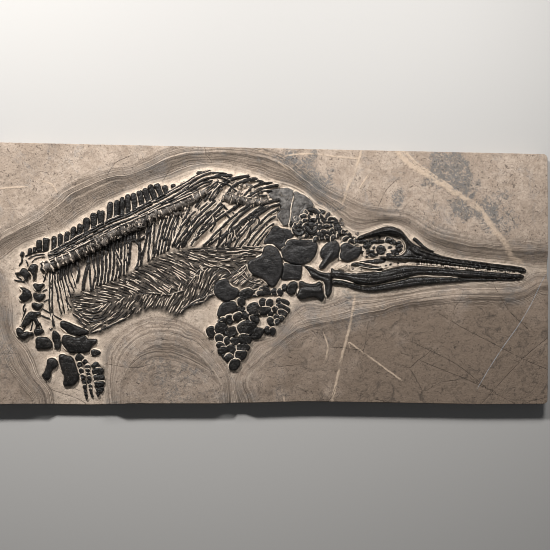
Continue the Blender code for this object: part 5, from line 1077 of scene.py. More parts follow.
# Ribs: half width and course in cm, from the backbone down
rearRibs = [
    (0.27, [(-60.9, 1.0), (-61.0, -1), (-60.95, -5), (-60.9, -9), (-60.2, -12), (-59.8, -14)]),
    (0.20, [(-60.3, 1.2), (-60.4, -2), (-60.3, -9), (-59.9, -13.4)]),
    (0.22, [(-59.6, 1.6), (-59.7, -1), (-58.9, -6), (-57.8, -10.8)]),
    (0.17, [(-59.2, 1.8), (-59.0, -1), (-58, -6), (-57, -10.5)]),
    (0.22, [(-58.6, 2.2), (-58.3, -1.5), (-57.2, -5), (-55.8, -8.5), (-55.2, -9)]),
    (0.18, [(-57.9, 2.2), (-57.9, -1), (-56.9, -5), (-56, -9.6)]),
    (0.20, [(-57.4, 2.4), (-57.2, -1), (-56.3, -3.6), (-55.4, -6)]),
    (0.2, [(-56.4, 2.8), (-56.2, -1), (-54.5, -4.5)]), (0.17, [(-55.4, 3.2), (-55.2, 0.0), (-54.2, -3.4)]),
    (0.3, [(-54.2, 3.9), (-53.4, 0.6), (-53.9, -2.3)]),
    (0.40, [(-51.4, 5.4), (-51.0, 2.5), (-51.6, 0), (-52.0, -2), (-52.2, -4.5)]),
    (0.22, [(-50.9, 5.6), (-50.6, 1), (-50.3, -1.5), (-50.2, -4.5)]),
    (0.26, [(-49.9, 6), (-49.4, 2), (-49.0, 0), (-49.3, -2), (-49.6, -4)]),
    (0.33, [(-48.6, 6.8), (-48.3, 2), (-48.2, -0.5), (-48.4, -3)]),
    (0.29, [(-47.4, 7.4), (-47.2, 2.5), (-47.3, 0), (-47.6, -3)]),
    (0.28, [(-46.4, 8), (-46.2, 2.5), (-46.3, 0), (-46.6, -2.5)]),
    (0.26, [(-45.4, 8.6), (-45.1, 2.5), (-45.5, 0), (-45.7, -2)]),
    (0.26, [(-44.4, 9.2), (-44.1, 3), (-44.4, 0), (-44.7, -2)]),
    (0.25, [(-43.4, 9.8), (-43.1, 3), (-43.4, 0), (-43.7, -1.7)]),
    (0.27, [(-42.4, 10.4), (-42.2, 5), (-42.5, 0), (-42.7, -1)]), (0.27, [(-41.4, 11), (-41.3, 5), (-41.5, 0)]),
    (0.24, [(-44.9, 8.6), (-44.0, 6.8), (-43.0, 4.8), (-42.0, 2.6)]),
    (0.28, [(-40.4, 11.4), (-40.5, 5), (-40.7, 0.8)]), (0.31, [(-39.6, 11.8), (-39.9, 7), (-40.1, 2.5)]),
    (0.36, [(-37.9, 12.4), (-37.3, 6.5), (-37.5, 3.5), (-38.1, 1.5)]),
    (0.24, [(-38.6, 12.2), (-38.7, 9.8), (-37.9, 8.4)]),
    (0.28, [(-35.1, 13.6), (-35.6, 9), (-36.6, 4.5), (-37, 2.2)]),
    (0.28, [(-34.2, 14), (-34.7, 8), (-34.9, 3.6)]), (0.22, [(-33.4, 14.6), (-33.6, 10), (-33.9, 4.2)]),
    (0.27, [(-31.3, 15), (-32.3, 11), (-33.0, 7), (-33.3, 4.8)]),
    (0.27, [(-30.1, 15.6), (-31.4, 11), (-32.2, 7), (-32.5, 5.2)]),
    (0.27, [(-29.0, 16.2), (-30.2, 12), (-31.2, 8), (-31.6, 5.6)]),
    (0.27, [(-27.6, 16.8), (-29.2, 12.5), (-30.3, 8.6), (-30.7, 6)]),
    (0.27, [(-26.2, 17.2), (-28.2, 12.8), (-29.4, 8.8), (-29.7, 6.4)]),
    (0.23, [(-27.0, 15.4), (-28.0, 11), (-28.6, 7.4)]),
    (0.30, [(-23.9, 18.6), (-25.4, 15), (-27.2, 11), (-28.4, 7.6)]),
    (0.32, [(-21.2, 19), (-23.6, 13.8), (-26, 9.6), (-27.2, 7.2)]),
    (0.30, [(-19.6, 19.4), (-22.4, 14.2), (-24.8, 10), (-26.0, 7.4)]),
    (0.26, [(-23.2, 17.6), (-25, 12.6), (-25.4, 9)]), (0.24, [(-21.6, 13.4), (-22.3, 10.6), (-23.2, 8.2)]),
    (0.26, [(-26.6, 17.6), (-26.1, 15.4), (-25.2, 13.2)]), (0.25, [(-25.2, 16.2), (-24.0, 14.4)]),
    (0.22, [(-22.6, 16.2), (-21.3, 14.6)]), (0.24, [(-34.0, 12.8), (-35.6, 10.6), (-37.4, 9.5), (-39.4, 9.1)]),
]
frontRibs = [
    (0.34, [(0.4, 18.4), (-2, 17), (-4, 15.2), (-6.5, 12.6), (-9, 9.5), (-10.3, 7.8)]),
    (0.30, [(-0.5, 16.3), (-2.5, 15), (-4.5, 13), (-7, 10), (-8.3, 8.1)]),
    (0.24, [(-1.0, 14.4), (-3.2, 12.6), (-5.4, 10), (-6.8, 8.1)]),
    (0.22, [(-2.6, 12.2), (-4.2, 10.2), (-5.6, 8.2)]),
    (0.38, [(-2.5, 18.8), (-4.5, 18.2), (-8, 15.7), (-10.5, 13.2), (-12.4, 10), (-13.5, 7.8)]),
    (0.28, [(-6.0, 15.4), (-8.6, 12.6), (-10.8, 9.6), (-11.8, 7.8)]),
    (0.37, [(-4, 20), (-7, 18.8), (-10, 16.5), (-12.6, 13.6), (-15, 10), (-16.6, 7.6)]),
    (0.26, [(-9.4, 15.6), (-12.0, 12.2), (-14.4, 9), (-15.2, 7.7)]),
    (0.33, [(-7.4, 19.6), (-11, 16.9), (-14, 14.2), (-17, 11.3), (-19, 9), (-20.3, 7.9)]),
    (0.33, [(-10.4, 19.6), (-13.4, 17.4), (-16, 15.5), (-19, 13), (-21.2, 10.8), (-23.6, 8.3)]),
    (0.26, [(-13, 15.4), (-15.6, 12.6), (-18, 9.4), (-18.9, 7.9)]),
    (0.30, [(-14.6, 19.2), (-17.6, 16.2), (-20, 13.6), (-21.8, 11)]),
    (0.24, [(-17.2, 15.8), (-17.5, 13.2), (-18.2, 11.8)]), (0.25, [(-19.6, 17), (-18.8, 15), (-18.0, 13.2)]),
    (0.24, [(-15.3, 12.4), (-15.9, 10), (-16.3, 8)]), (0.22, [(-13.2, 13), (-13.9, 10.2), (-14.3, 8)]),
    (0.26, [(-18.4, 17.6), (-16.3, 15.1)]), (0.25, [(-17.0, 18.6), (-15.0, 16.3)]),
    (0.25, [(-15.8, 19.6), (-13.3, 17.4)]), (0.24, [(-14.5, 17.0), (-12.4, 15.0)]),
    (0.22, [(-12.4, 17.2), (-10.6, 15.4)]), (0.2, [(-10.0, 14.8), (-8.6, 13.4)]),
    (0.22, [(-20.8, 16.6), (-19.9, 14.6)]), (0.2, [(-11.6, 11.4), (-10.6, 9.6)]),
    (0.26, [(0, 24.5), (-2.5, 24.6), (-5.5, 23.5), (-8.5, 21.5), (-10.5, 19.7)]),
    (0.30, [(-1.5, 25.4), (-4.8, 25.1), (-7.5, 23.6), (-10, 21)]),
    (0.24, [(-1.6, 23.4), (-4.6, 22.8), (-7.2, 21.2)]),
    (0.40, [(-5.6, 26.5), (-7, 26.4), (-10, 25.6), (-12.5, 24), (-13.6, 22.4), (-15.4, 19.8)]),
    (0.34, [(-8.0, 27.2), (-12, 26.4), (-16, 24.2), (-18.5, 22.3), (-20.0, 20.0)]),
    (0.36, [(-12.5, 27.3), (-16.5, 27.0), (-19, 26.1), (-22, 24.0), (-25, 21.5), (-27.4, 18.6)]),
    (0.30, [(-10.4, 26.9), (-14, 26.0), (-17.4, 24.0), (-20.4, 21.2), (-22.6, 18.4)]),
    (0.22, [(-3.0, 22.0), (-5.4, 21.6), (-6.6, 20.4)]),
    # Ribs of the far side, seen between the others
    (0.26, [(-8.7, 15.9), (-7.6, 14.3), (-7.6, 12.0), (-8.9, 9.3)]),
    (0.26, [(-3.0, 14.6), (-3.2, 12.5), (-4.8, 10.7), (-6.4, 8.8)]),
    (0.28, [(-13.0, 13.3), (-12.1, 11.9), (-12.5, 10.1), (-13.9, 8.3)]),
    (0.26, [(-18.3, 17.7), (-17.3, 15.9), (-17.1, 13.9), (-18.4, 11.9)]),
    (0.25, [(-20.7, 15.9), (-20.0, 14.1), (-20.2, 11.8)]),
    (0.24, [(-24.3, 15.4), (-23.4, 13.6), (-23.8, 11.3)]), (0.25, [(-5.8, 16.1), (-5.1, 15.2), (-5.3, 13.4)]),
    (0.26, [(-10.8, 14.2), (-9.9, 12.6), (-10.4, 10.2)]),
    (0.34, [(0.1, 24.9), (-3.1, 24.1), (-6.7, 22.5), (-9.4, 20.2), (-12.1, 17.8)]),
    (0.36, [(0.6, 21.0), (-3.1, 19.8), (-5.8, 17.9), (-10.3, 14.2), (-15.7, 9.6)]),
    (0.34, [(-7.7, 27.0), (-11.3, 26.5), (-14.9, 24.6), (-17.6, 20.9), (-21.2, 17.7)]),
    (0.30, [(-4.0, 25.7), (-7.7, 26.0), (-11.3, 24.7), (-13.5, 22.4)]),
    (0.30, [(0.5, 19.8), (-3.4, 18.0), (-7.6, 14.4), (-12.2, 9.4)]),
    (0.36, [(-16.9, 20.3), (-19.4, 18.1), (-21.6, 16.0), (-24.1, 13.1), (-26.1, 10.4), (-27.8, 7.5)]),
    (0.38, [(-15.3, 19.7), (-17.6, 17.3), (-20.2, 15.0), (-22.5, 12.5), (-24.3, 10.0), (-25.4, 7.7)]),
    (0.24, [(-18.6, 17.4), (-21.0, 15.3), (-23.2, 12.8), (-25.0, 10.3), (-26.3, 8.0)]),
    (0.26, [(-14.6, 17.5), (-16.8, 15.8), (-19.0, 13.7), (-21.2, 11.4), (-23.6, 8.0)]),
    (0.30,
        [(-2.8, 18.4), (-5.8, 16.6), (-8.7, 14.7), (-11.6, 13.2), (-13.8, 11.7), (-16.4, 9.9), (-18.2, 8.4)]),
    (0.30, [(-22.4, 17.4), (-25.0, 14.4), (-27.0, 11.0), (-28.5, 7.6)]),
]
# Long rods that lie along the back, above the drums
backLine = [
    (-61.6, 4.9), (-59.5, 5.6), (-55, 8.0), (-50, 10.9), (-45, 13.5), (-40, 15.5), (-36, 17.7), (-31, 20.3),
    (-27, 22.6), (-24, 24.4), (-21, 26.3), (-18, 27.3),
]
print("ribs")
for name, node, ribs, profile, level in (
    ("rearRibs", "rear_backbone", rearRibs, "grooved", 0.62),
    ("frontRibs", "front_backbone", frontRibs, "grooved", 0.78),
):
    shape = bmesh.new()
    rods = []
    for k, (half, course) in enumerate(ribs):
        half *= 1.28 if name == "rearRibs" else 1.15
        line, halves, levels, blunt = livelyRod(course, half, boneBed + level, k * 2.9 + len(name), 0.32, 0.06)
        lean = np.linspace(-0.32, 0.05, len(line)) if name == "rearRibs" else np.linspace(0.2, -0.08, len(line))
        rods.append((line, halves, levels + lean + 0.07 * ((k * 7) % 3), k % 4 == 0))
    rodBatch(shape, rods, profile, "line")
    stoneAndHighlightThreads(rods, 0.132 if name == "frontRibs" else 0.148, 1.0, 31, 0.13, 0.3)
    toPiece(shape, name, looks["brown"], "dark_bone", node)

shape = bmesh.new()
rods = []
spineLine = smoothLine(backLine, 0.3)
drumLine = smoothLine(rearSpine[1:-1], 0.3)
side, drumSide = sideways(spineLine), sideways(drumLine)
chance = random.Random(77)
for k, (path, across, away, half, level) in enumerate((
    (spineLine, side, -1.28, 0.27, 1.20), (spineLine, side, -0.46, 0.31, 1.36), (spineLine, side, 0.36, 0.30, 1.25),
    (spineLine, side, 1.12, 0.24, 0.90), (drumLine, drumSide, 1.62, 0.21, 1.42),
    (drumLine, drumSide, 1.12, 0.19, 1.74),
)):
    start = 0
    while start < len(path) - 14:
        long = chance.randrange(34, 66) if path is spineLine else chance.randrange(16, 34)
        stop = min(len(path), start + long)
        wide = 0.18 if path is spineLine else 0.30
        drift = np.linspace(chance.uniform(-wide, wide), chance.uniform(-wide, wide), stop - start)
        pull = np.interp(np.arange(start, stop) / len(path), [0, 0.06, 0.5, 1], [0.5, 0.85, 1.0, 1.1])
        if path is drumLine:
            pull = np.ones(stop - start)
        course = path[start:stop] + across[start:stop] * ((away * pull + drift)[:, None])
        line, halves, levels, blunt = livelyRod(course[::4], half, boneBed + level, k * 11 + start, 0.35, 0.05)
        rods.append((line, halves, levels + np.linspace(-0.14, 0.14, len(line)), False))
        start = stop - chance.randrange(3, 9)
fan = [
    (0.28, [(-35, 16.6), (-31, 19.0), (-28, 21.2), (-25, 23.6), (-22, 25.6)]),
    (0.25, [(-31, 18.4), (-27, 20.6), (-23, 23.6), (-20, 25.2)]),
    (0.24, [(-28.6, 18.6), (-25, 20.8), (-21.6, 23.4), (-18, 25.2)]),
    (0.28, [(-39, 14.6), (-35.6, 16.0), (-32.6, 17.8)]), (0.24, [(-44.5, 12.2), (-41, 13.7), (-37.6, 15.2)]),
    (0.22, [(-25, 19.6), (-21.6, 22.0), (-18.6, 24.2)]),
    (0.26, [(-24, 24.8), (-21, 26.8), (-18, 27.8), (-14, 27.7)]),
    (0.25, [(-22.0, 24.6), (-19, 26.4), (-16, 26.6), (-13, 25.6)]),
    (0.22, [(-20.6, 21.8), (-18.4, 24.0), (-16.2, 25.8)]),
    (0.22, [(-18.8, 20.4), (-17.2, 23.0), (-15.0, 25.2)]), (0.2, [(-52, 9.4), (-49, 10.8), (-46.4, 12.4)]),
    (0.2, [(-57.4, 6.2), (-54.4, 7.6), (-51.4, 9.2)]), (0.24, [(-17.4, 25.4), (-13.6, 24.6), (-11.2, 22.8)]),
    (0.20, [(-16.6, 26.2), (-16.2, 25.2), (-15.2, 24.4)]),
]
rods += [livelyRod(course, half, boneBed + 1.2, 200 + k * 3.1, 0.35, 0.05)
         for k, (half, course) in enumerate(fan)]
rodBatch(shape, rods, "round", "line")
stoneAndHighlightThreads(rods, 0.105, 0.95, 37, 0.06)
toPiece(shape, "backRods", looks["brown"], "dark_bone", "neural_arches")

tailRods = [
    (0.16, [(-67.6, 4.6), (-66, 5.4), (-64, 5.9), (-62, 6.0), (-60.2, 5.6)]),
    (0.12, [(-66.8, 3.9), (-65.2, 4.8), (-63, 5.2), (-61.4, 5.0)]),
    (0.12, [(-65.8, 3.0), (-64.8, 4.0), (-63, 4.5), (-61.6, 4.4)]),
    (0.2, [(-68.5, 4.2), (-68.4, 3.2), (-69.2, 2.0)]), (0.16, [(-67.4, 3.6), (-66.9, 2.6), (-66.8, 1.8)]),
    (0.17, [(-67.2, -9.2), (-67.9, -12), (-69, -15)]), (0.15, [(-64.2, -11.7), (-63.6, -13), (-62.9, -14.4)]),
    (0.14, [(-62.9, -9.2), (-60.2, -10.9), (-58.2, -12.0), (-57.4, -12.5)]),
    (0.14, [(-63.3, -11.0), (-61.6, -11.7), (-60.2, -12.2)]),
    (0.15, [(-66.0, -12), (-66.8, -13.4), (-67.8, -15.2)]),
    (0.13, [(-65.3, -12.4), (-65.5, -13.8), (-66.0, -15.4)]),
    (0.13, [(-64.7, -12.2), (-64.4, -13.6), (-64.6, -15.2)]),
    (0.27, [(-7.4, -4.5), (-5.2, -3.9), (-2.4, -3.5)]), (0.24, [(-7.9, -5.7), (-5.6, -5.3), (-2.9, -4.9)]),
    (0.2, [(-1.3, -2.4), (-2.9, -1.7), (-4.2, -1.3)]), (0.18, [(-6.8, -3.4), (-4.6, -2.8), (-2.2, -2.6)]),
    (0.14, [(-70.4, -1.7), (-69.6, -1.9), (-68.2, -2.1), (-67.4, -2.4)]),
    (0.14, [(-69.9, -0.6), (-69.2, -1.1), (-68.4, -1.6)]),
    (0.14, [(-62.9, -4.9), (-62.2, -4.3), (-61.7, -4.2)]),
    (0.14, [(-62.6, -7.6), (-61.9, -7.1), (-61.5, -6.9)]),
    (0.16, [(-67.4, -8.0), (-67.9, -9.2), (-67.6, -10.4)]),
    (0.13, [(-61.6, 0.6), (-62.2, -0.6), (-62.0, -1.6)]), (0.13, [(-62.9, -0.4), (-62.4, -1.4), (-62.8, -2.2)]),
    (0.18, [(-54.2, -9.6), (-52.6, -11.4), (-51.4, -13.0)]),
    (0.15, [(-55.0, -10.6), (-53.4, -11.8), (-52.2, -13.4)]),
    (0.2, [(-52.6, -10.2), (-51.0, -11.4), (-49.4, -12.4)]),
    (0.15, [(-54.4, -8.6), (-53.0, -9.4), (-51.0, -9.8)]),
    (0.14, [(-60.2, -14.4), (-60.6, -14.9), (-61.0, -14.6)]),
]
shape = bmesh.new()
rods = [livelyRod(course, half * 1.4, boneBed + 0.42, 300 + k * 2.3, 0.3, 0.04)
        for k, (half, course) in enumerate(tailRods)]
rodBatch(shape, rods, "round", "line")
stoneAndHighlightThreads(rods, 0.07, 0.8, 43, 0.0)
toPiece(shape, "tailRods", looks["dark"], "dark_bone", "tail_arches")


# Belly ribs: a felt of thin strands that follow a field of directions
matOutline = [
    (-55.6, -5.6), (-53, -5.2), (-49, -3.7), (-46, -2.7), (-43, -1.3), (-40, 0.1), (-37, 1.7), (-34, 3.5),
    (-31, 4.9), (-28, 6.2), (-24, 7.0), (-20, 7.4), (-15, 7.7), (-10, 7.8), (-6.6, 7.9), (-4.2, 7.8),
    (-4.0, 6.4), (-5.4, 5.2), (-8.1, 4.4), (-8.5, 2.6), (-8.1, 1.0), (-6.6, -0.3), (-4.6, -1.3), (-3.2, -2.6),
    (-2.2, -3.2), (-5, -3.1), (-9.6, -2.8), (-12.6, -1.9), (-13.3, -0.7), (-15.4, -0.9), (-17.2, -2.0),
    (-17.4, -4.8), (-18.2, -6.2), (-20, -7.5), (-23, -8.4), (-25, -9.5), (-26, -10.4), (-27, -10.9),
    (-28.5, -10.5), (-29.5, -9.7), (-31, -9), (-33.5, -9), (-35, -9.5), (-37, -10.4), (-39, -11), (-41, -12),
    (-44, -13.5), (-47, -15), (-49.8, -16), (-51.2, -14.6), (-53.4, -12.4), (-54.4, -9.4),
]
matSeam = [
    (-58.6, -9.6), (-52, -9.5), (-46, -8.0), (-41, -6.2), (-37, -5.2), (-33, -5.4), (-29, -5.6), (-25, -4.5),
    (-24.2, -3.3), (-22, -1), (-21, 1), (-18.5, 2), (-15, 2.1), (-12.5, 1.2),
]
flow = [  # x, y, heading in degrees: above the seam
    (-52, -6, -8), (-47, -4.6, -14), (-43, -3, -18), (-40, -2, -22), (-46, -6.6, -12), (-37, 0, -24),
    (-33, 2.4, -18), (-30, 3.6, -14), (-36, -3, -30), (-31, -1, -30), (-28, 2, -26), (-26, 5.4, -12),
    (-24, 3, -28), (-20, 4, -22), (-27, -2.6, -36), (-22, 6.6, 1), (-15, 6.9, 2), (-9, 7.2, 3), (-6, 6.6, -8),
    (-17, 5, -8), (-13, 5.2, 2), (-20, 2.4, -34), (-10, 4.6, 12), (-33, -3.6, -38),
]
flowBelow = [
    (-49, -11, 12), (-46, -12, 35), (-44, -10, 52), (-41, -9.6, 62), (-38, -8.6, 64), (-35, -7.6, 60),
    (-32, -7.4, 62), (-29, -8.4, 66), (-26.6, -9.6, 50), (-25, -7.4, 58), (-23.6, -4, 72), (-22, -6.6, 60),
    (-20.4, -3, 70), (-19, -0.6, 62), (-17, 0.6, 42), (-14, 0.4, 28), (-11, 0.6, 36), (-9, 0, 44),
    (-8, -2.2, 34), (-5, -2.6, 22), (-18.6, -5.6, 44), (-21, -0.4, 76), (-48, -14, 22), (-10.4, -2, 40),
    (-52, -12, -40), (-42, -11.4, 30),
]


def flowAt(x, y, rows):
    c = s = 0.0
    for fx, fy, degrees in rows:
        weight = 1 / ((x - fx) ** 2 + (y - fy) ** 2 + 0.8) ** 1.5
        c += weight * math.cos(math.radians(2 * degrees))
        s += weight * math.sin(math.radians(2 * degrees))
    return math.atan2(s, c) / 2


def felt(target, ring, rows, gap, lengths, half, level, seed, wild):
    # Strands traced both ways from a seed; the next seeds lie one gap to either side of the last strand
    cell = 0.08
    low, high = ring.min(0) - 1, ring.max(0) + 1
    counts = np.ceil((high - low) / cell).astype(int)
    centres = np.stack(np.meshgrid(low[0] + cell * np.arange(counts[0]), low[1] + cell * np.arange(counts[1]),
                                   indexing="ij"), -1).reshape(-1, 2)
    free = inside(centres, ring).reshape(counts)
    reach = int(gap / cell + 1)
    span = np.arange(-reach, reach + 1) * cell
    clear = np.hypot(*np.meshgrid(span, span)) >= gap * 0.98

    def spot(x, y):
        return int((x - low[0]) / cell + 0.5), int((y - low[1]) / cell + 0.5)

    def block(x, y):
        i, j = spot(x, y)
        if reach <= i < counts[0] - reach and reach <= j < counts[1] - reach:
            free[i - reach:i + reach + 1, j - reach:j + reach + 1] &= clear

    def isOpen(x, y):
        i, j = spot(x, y)
        return 0 <= i < counts[0] and 0 <= j < counts[1] and free[i, j]

    chance = random.Random(seed)
    far = [(chance.uniform(low[0], high[0]), chance.uniform(low[1], high[1])) for k in range(6000)]
    close, rods = [], []
    while far or close:
        x, y = close.pop(chance.randrange(max(0, len(close) - 40), len(close))) if close else far.pop()
        if not isOpen(x, y):
            continue
        long, bend, course = chance.uniform(*lengths), chance.uniform(-wild, wild), []
        for way in (1, -1):
            px, py, path = x, y, []
            for k in range(int(long / 2 / 0.2)):
                turn = flowAt(px, py, rows) + bend + 0.10 * grain(px, py, 0.35, seed)
                ways = [(px + math.cos(turn + slip) * 0.2 * way, py + math.sin(turn + slip) * 0.2 * way)
                        for slip in (0, 0.2, -0.2, 0.42, -0.42)]
                ways = [place for place in ways if isOpen(*place)]
                if not ways:
                    break
                px, py = ways[0]
                path.append(ways[0])
            course = path[::-1] + course if way == -1 else [(x, y)] + path
        if len(course) < 4:
            continue
        for k, (px, py) in enumerate(course):
            block(px, py)
            if k % 3 == 0:
                turn = flowAt(px, py, rows)
                for way in (1, -1):
                    close.append((px - math.sin(turn) * gap * 1.06 * way, py + math.cos(turn) * gap * 1.06 * way))
        line = smoothLine(np.array(course)[::2], 0.42) if len(course) > 5 else np.array(course)
        girth = half * chance.uniform(0.72, 1.12)
        tip = np.linspace(-0.05, 0.08, len(line)) * chance.choice((-1, 1))
        rods.append((line, girth * np.array([1 + 0.16 * grain(a, b, 1.3, seed) for a, b in line]),
                     level + chance.uniform(-0.09, 0.10) + tip, False))
    rodBatch(target, rods, "sharp", "strand")
    return rods


print("belly ribs")
matRing, seamLine = smoothLine(matOutline, 0.5, True), smoothLine(matSeam, 0.1)
shape, counted = bmesh.new(), 0
for rows, upper in ((flow, True), (flowBelow, False)):
    side = [(0, 20), (-60, 20)] if upper else [(0, -20), (-60, -20)]
    half = np.concatenate([seamLine, [(-10, 0.6), (-8.6, 3.2), (0, 3)], side])
    # The mat's outline, with the points of its other half pushed onto the seam
    ring = np.where(inside(matRing, half)[:, None], matRing, nearest(matRing, seamLine)[1])
    for gap, lengths, girth, level, wild in (
        (0.62, (2.2, 8.5), 0.30, 0.42, 0.06), (1.25, (1.8, 6.0), 0.24, 0.64, 0.32),
    ):
        rods = felt(shape, ring, rows, gap, lengths, girth, boneBed + level, 17 + upper, wild)
        stoneAndHighlightThreads(rods, 0.128, 0.90 if gap < 1 else 0.97, 53 + upper, 0.15)
        counted += len(rods)
print("strands", counted)
matEdges = [  # single strands along the mat's edges and seam: half width, course
    (0.24, [(-25.6, -9.2), (-22, -7.0), (-19.4, -5.9), (-17.2, -5.2)]),
    (0.2, [(-26.4, -10.2), (-23.6, -8.2), (-20, -7.2)]),
    (0.16, [(-24, 7.1), (-19, 7.4), (-13, 7.6), (-7.6, 7.7), (-4.4, 7.6)]),
    (0.15, [(-21, 6.7), (-15, 7.1), (-9, 7.2), (-5, 6.6)]),
    (0.18, [(-37, -5.0), (-33, -5.1), (-29, -5.4), (-25.4, -4.2)]),
    (0.18, [(-24.6, -3.6), (-22.6, -0.8), (-21.4, 1.2), (-18.8, 2.2), (-15, 2.4)]),
    (0.2, [(-15.8, 2.0), (-13.6, 1.4), (-12.8, 0.4)]),
    (0.16, [(-49.6, -15.7), (-46.8, -14.6), (-43.6, -13.1), (-40.6, -11.7)]),
    (0.15, [(-11.6, 3.6), (-9.6, 1.6), (-8.2, -0.4)]),
    (0.15, [(-13.4, 2.8), (-10.6, 0.8), (-7.6, -1.6), (-4.4, -2.4)]),
    (0.14, [(-12, 5.4), (-9.2, 5.6), (-6, 6.2)]), (0.2, [(-51.8, -9.8), (-49.4, -10.3), (-47.2, -9.6)]),
]
edgeRods = [livelyRod(course, half, boneBed + 0.62, 400 + k * 2.7, 0.35, 0.04)
            for k, (half, course) in enumerate(matEdges)]
rodBatch(shape, edgeRods, "round", "line")
stoneAndHighlightThreads(edgeRods, 0.08, 1.0, 59, 0.04)
toPiece(shape, "bellyStrands", looks["strand"], "belly_bone", "belly_ribs")


# Skull details
print("skull details")
fragments = [  # bones inside the eye and behind it: height, outline
    (0.75, [(21.6, 9.9), (22.6, 10.6), (24.0, 10.4), (25.2, 10.0), (24.6, 9.4), (23.2, 9.3), (22.2, 9.2)]),
    (0.70, [(26.8, 10.0), (28.2, 10.4), (29.8, 10.2), (29.6, 9.5), (28.2, 9.3), (27.0, 9.3)]),
    (0.85, [(27.3, 7.6), (27.7, 8.5), (28.6, 8.9), (29.6, 8.5), (30.0, 7.5), (29.6, 6.5), (28.6, 6.1),
        (27.7, 6.5)]),
    (0.65, [(32.6, 8.5), (33.3, 8.9), (33.9, 8.5), (33.7, 7.9), (33.0, 7.7)]),
    (0.60, [(31.3, 7.4), (32.4, 7.6), (33.5, 7.3), (33.3, 6.9), (32.2, 6.9), (31.4, 7.0)]),
    (0.60, [(30.8, 9.6), (31.8, 9.9), (32.6, 9.6), (32.4, 9.2), (31.4, 9.1)]),
    (0.70, [(24.4, 7.2), (25.1, 7.6), (25.9, 7.2), (25.6, 6.6), (24.8, 6.5)]),
    (0.60, [(25.0, 6.1), (26.4, 6.4), (28.0, 6.2), (27.8, 5.8), (26.4, 5.7), (25.2, 5.7)]),
    (0.75, [(23.6, 8.7), (24.6, 9.1), (25.6, 8.6), (25.2, 8.0), (24.2, 7.9)]),
    (0.60, [(18.2, 11.9), (18.9, 12.1), (19.5, 11.5), (19.1, 11.0), (18.4, 11.2)]),
    (0.60, [(17.6, 10.4), (18.5, 10.7), (19.4, 10.3), (18.9, 9.9), (17.9, 9.9)]),
    (0.70, [(19.8, 10.9), (20.5, 11.1), (21.0, 10.4), (20.9, 9.4), (20.3, 9.2), (19.9, 10.0)]),
    (0.55, [(26.2, 8.3), (26.8, 8.7), (27.2, 8.2), (26.8, 7.7), (26.2, 7.8)]),
    (0.55, [(30.6, 8.4), (31.5, 8.6), (31.9, 8.2), (31.2, 7.9), (30.6, 8.0)]),
    (0.55, [(30.4, 6.6), (31.0, 6.8), (31.4, 6.5), (30.9, 6.2)]),
    (0.75, [(7.4, 16.8), (7.9, 17.1), (8.2, 16.6), (7.8, 16.2)]),
    (0.75, [(9.0, 15.9), (9.6, 16.3), (10.0, 15.7), (9.4, 15.3)]),
    (0.70, [(14.2, 15.0), (14.7, 15.3), (14.9, 14.6), (14.5, 14.2)]),
    (0.65, [(11.0, 18.6), (12.2, 18.2), (13.2, 17.8), (12.7, 17.1), (11.9, 17.3), (11.5, 17.9)]),
]
crumbs = [  # more of them, as rough six-sided bits: place, size
    (22.9, 8.1, 0.42), (23.5, 6.8, 0.36), (26.1, 9.2, 0.34), (31.8, 10.5, 0.36), (33.8, 9.7, 0.38),
    (34.4, 7.6, 0.34), (30.2, 6.0, 0.28), (26.4, 7.1, 0.36), (24.6, 5.6, 0.3), (28.3, 11.0, 0.3),
    (30.4, 10.9, 0.34), (22.4, 6.4, 0.3), (32.2, 6.3, 0.26), (33.2, 6.6, 0.24), (19.0, 3.0, 0.3),
    (20.9, 2.2, 0.26), (23.2, 2.0, 0.24), (31.2, 3.6, 0.3), (33.4, 3.9, 0.26), (30.0, 3.2, 0.24),
    (8.2, 16.9, 0.3), (10.2, 16.6, 0.32), (7.6, 15.9, 0.26), (14.4, 14.2, 0.3), (21.4, 9.4, 0.34),
    (18.8, 12.6, 0.4), (19.8, 12.0, 0.3), (17.0, 11.6, 0.4), (16.2, 11.2, 0.34), (15.9, 10.4, 0.3),
]
for k, (x, y, size) in enumerate(crumbs):
    turns = [k * 2.4 + j * math.pi / 3 for j in range(6)]
    reachOf = [size * (1 + 0.5 * math.sin(k * 1.7 + j * 2.9)) for j in range(6)]
    outline = [(x + r * math.cos(t) * 1.2, y + r * math.sin(t)) for r, t in zip(reachOf, turns)]
    fragments.append((0.5 + 0.05 * (k % 5), outline))
# Plates of the ring round the eyeball, crushed flat
eyeRing = {"middle": (29.2, 8.1), "outer": (5.5, 2.75), "inner": (3.7, 1.7), "plates": 13, "lost": (3, 9)}
for k in range(eyeRing["plates"]):
    if k not in eyeRing["lost"]:
        turns = np.array([0.05, 0.24, 0.43, 0.43, 0.24, 0.05]) * 1.05 + k * 2 * math.pi / eyeRing["plates"]
        uneven = 1 + 0.10 * np.sin(k * 2.3 + np.arange(6) * 1.9)
        reach = np.array([eyeRing["outer"]] * 3 + [eyeRing["inner"]] * 3) * uneven[:, None]
        outline = np.array(eyeRing["middle"]) + reach * np.stack([np.cos(turns), np.sin(turns)], 1)
        fragments.append((0.72 + 0.06 * (k % 3), outline))
shape = bmesh.new()
for k, (high, outline) in enumerate(fragments):
    ring = boneShell(shape, outline, high, 90 + k * 1.9, brim=0.25, rough=0.08, wobble=0.07, corner=0.09)
    if k % 3 == 0:
        rimLines.append((ring, high * 1.3, 0.42))
toPiece(shape, "eyeFragments", looks["jaw"], "skull_bone")
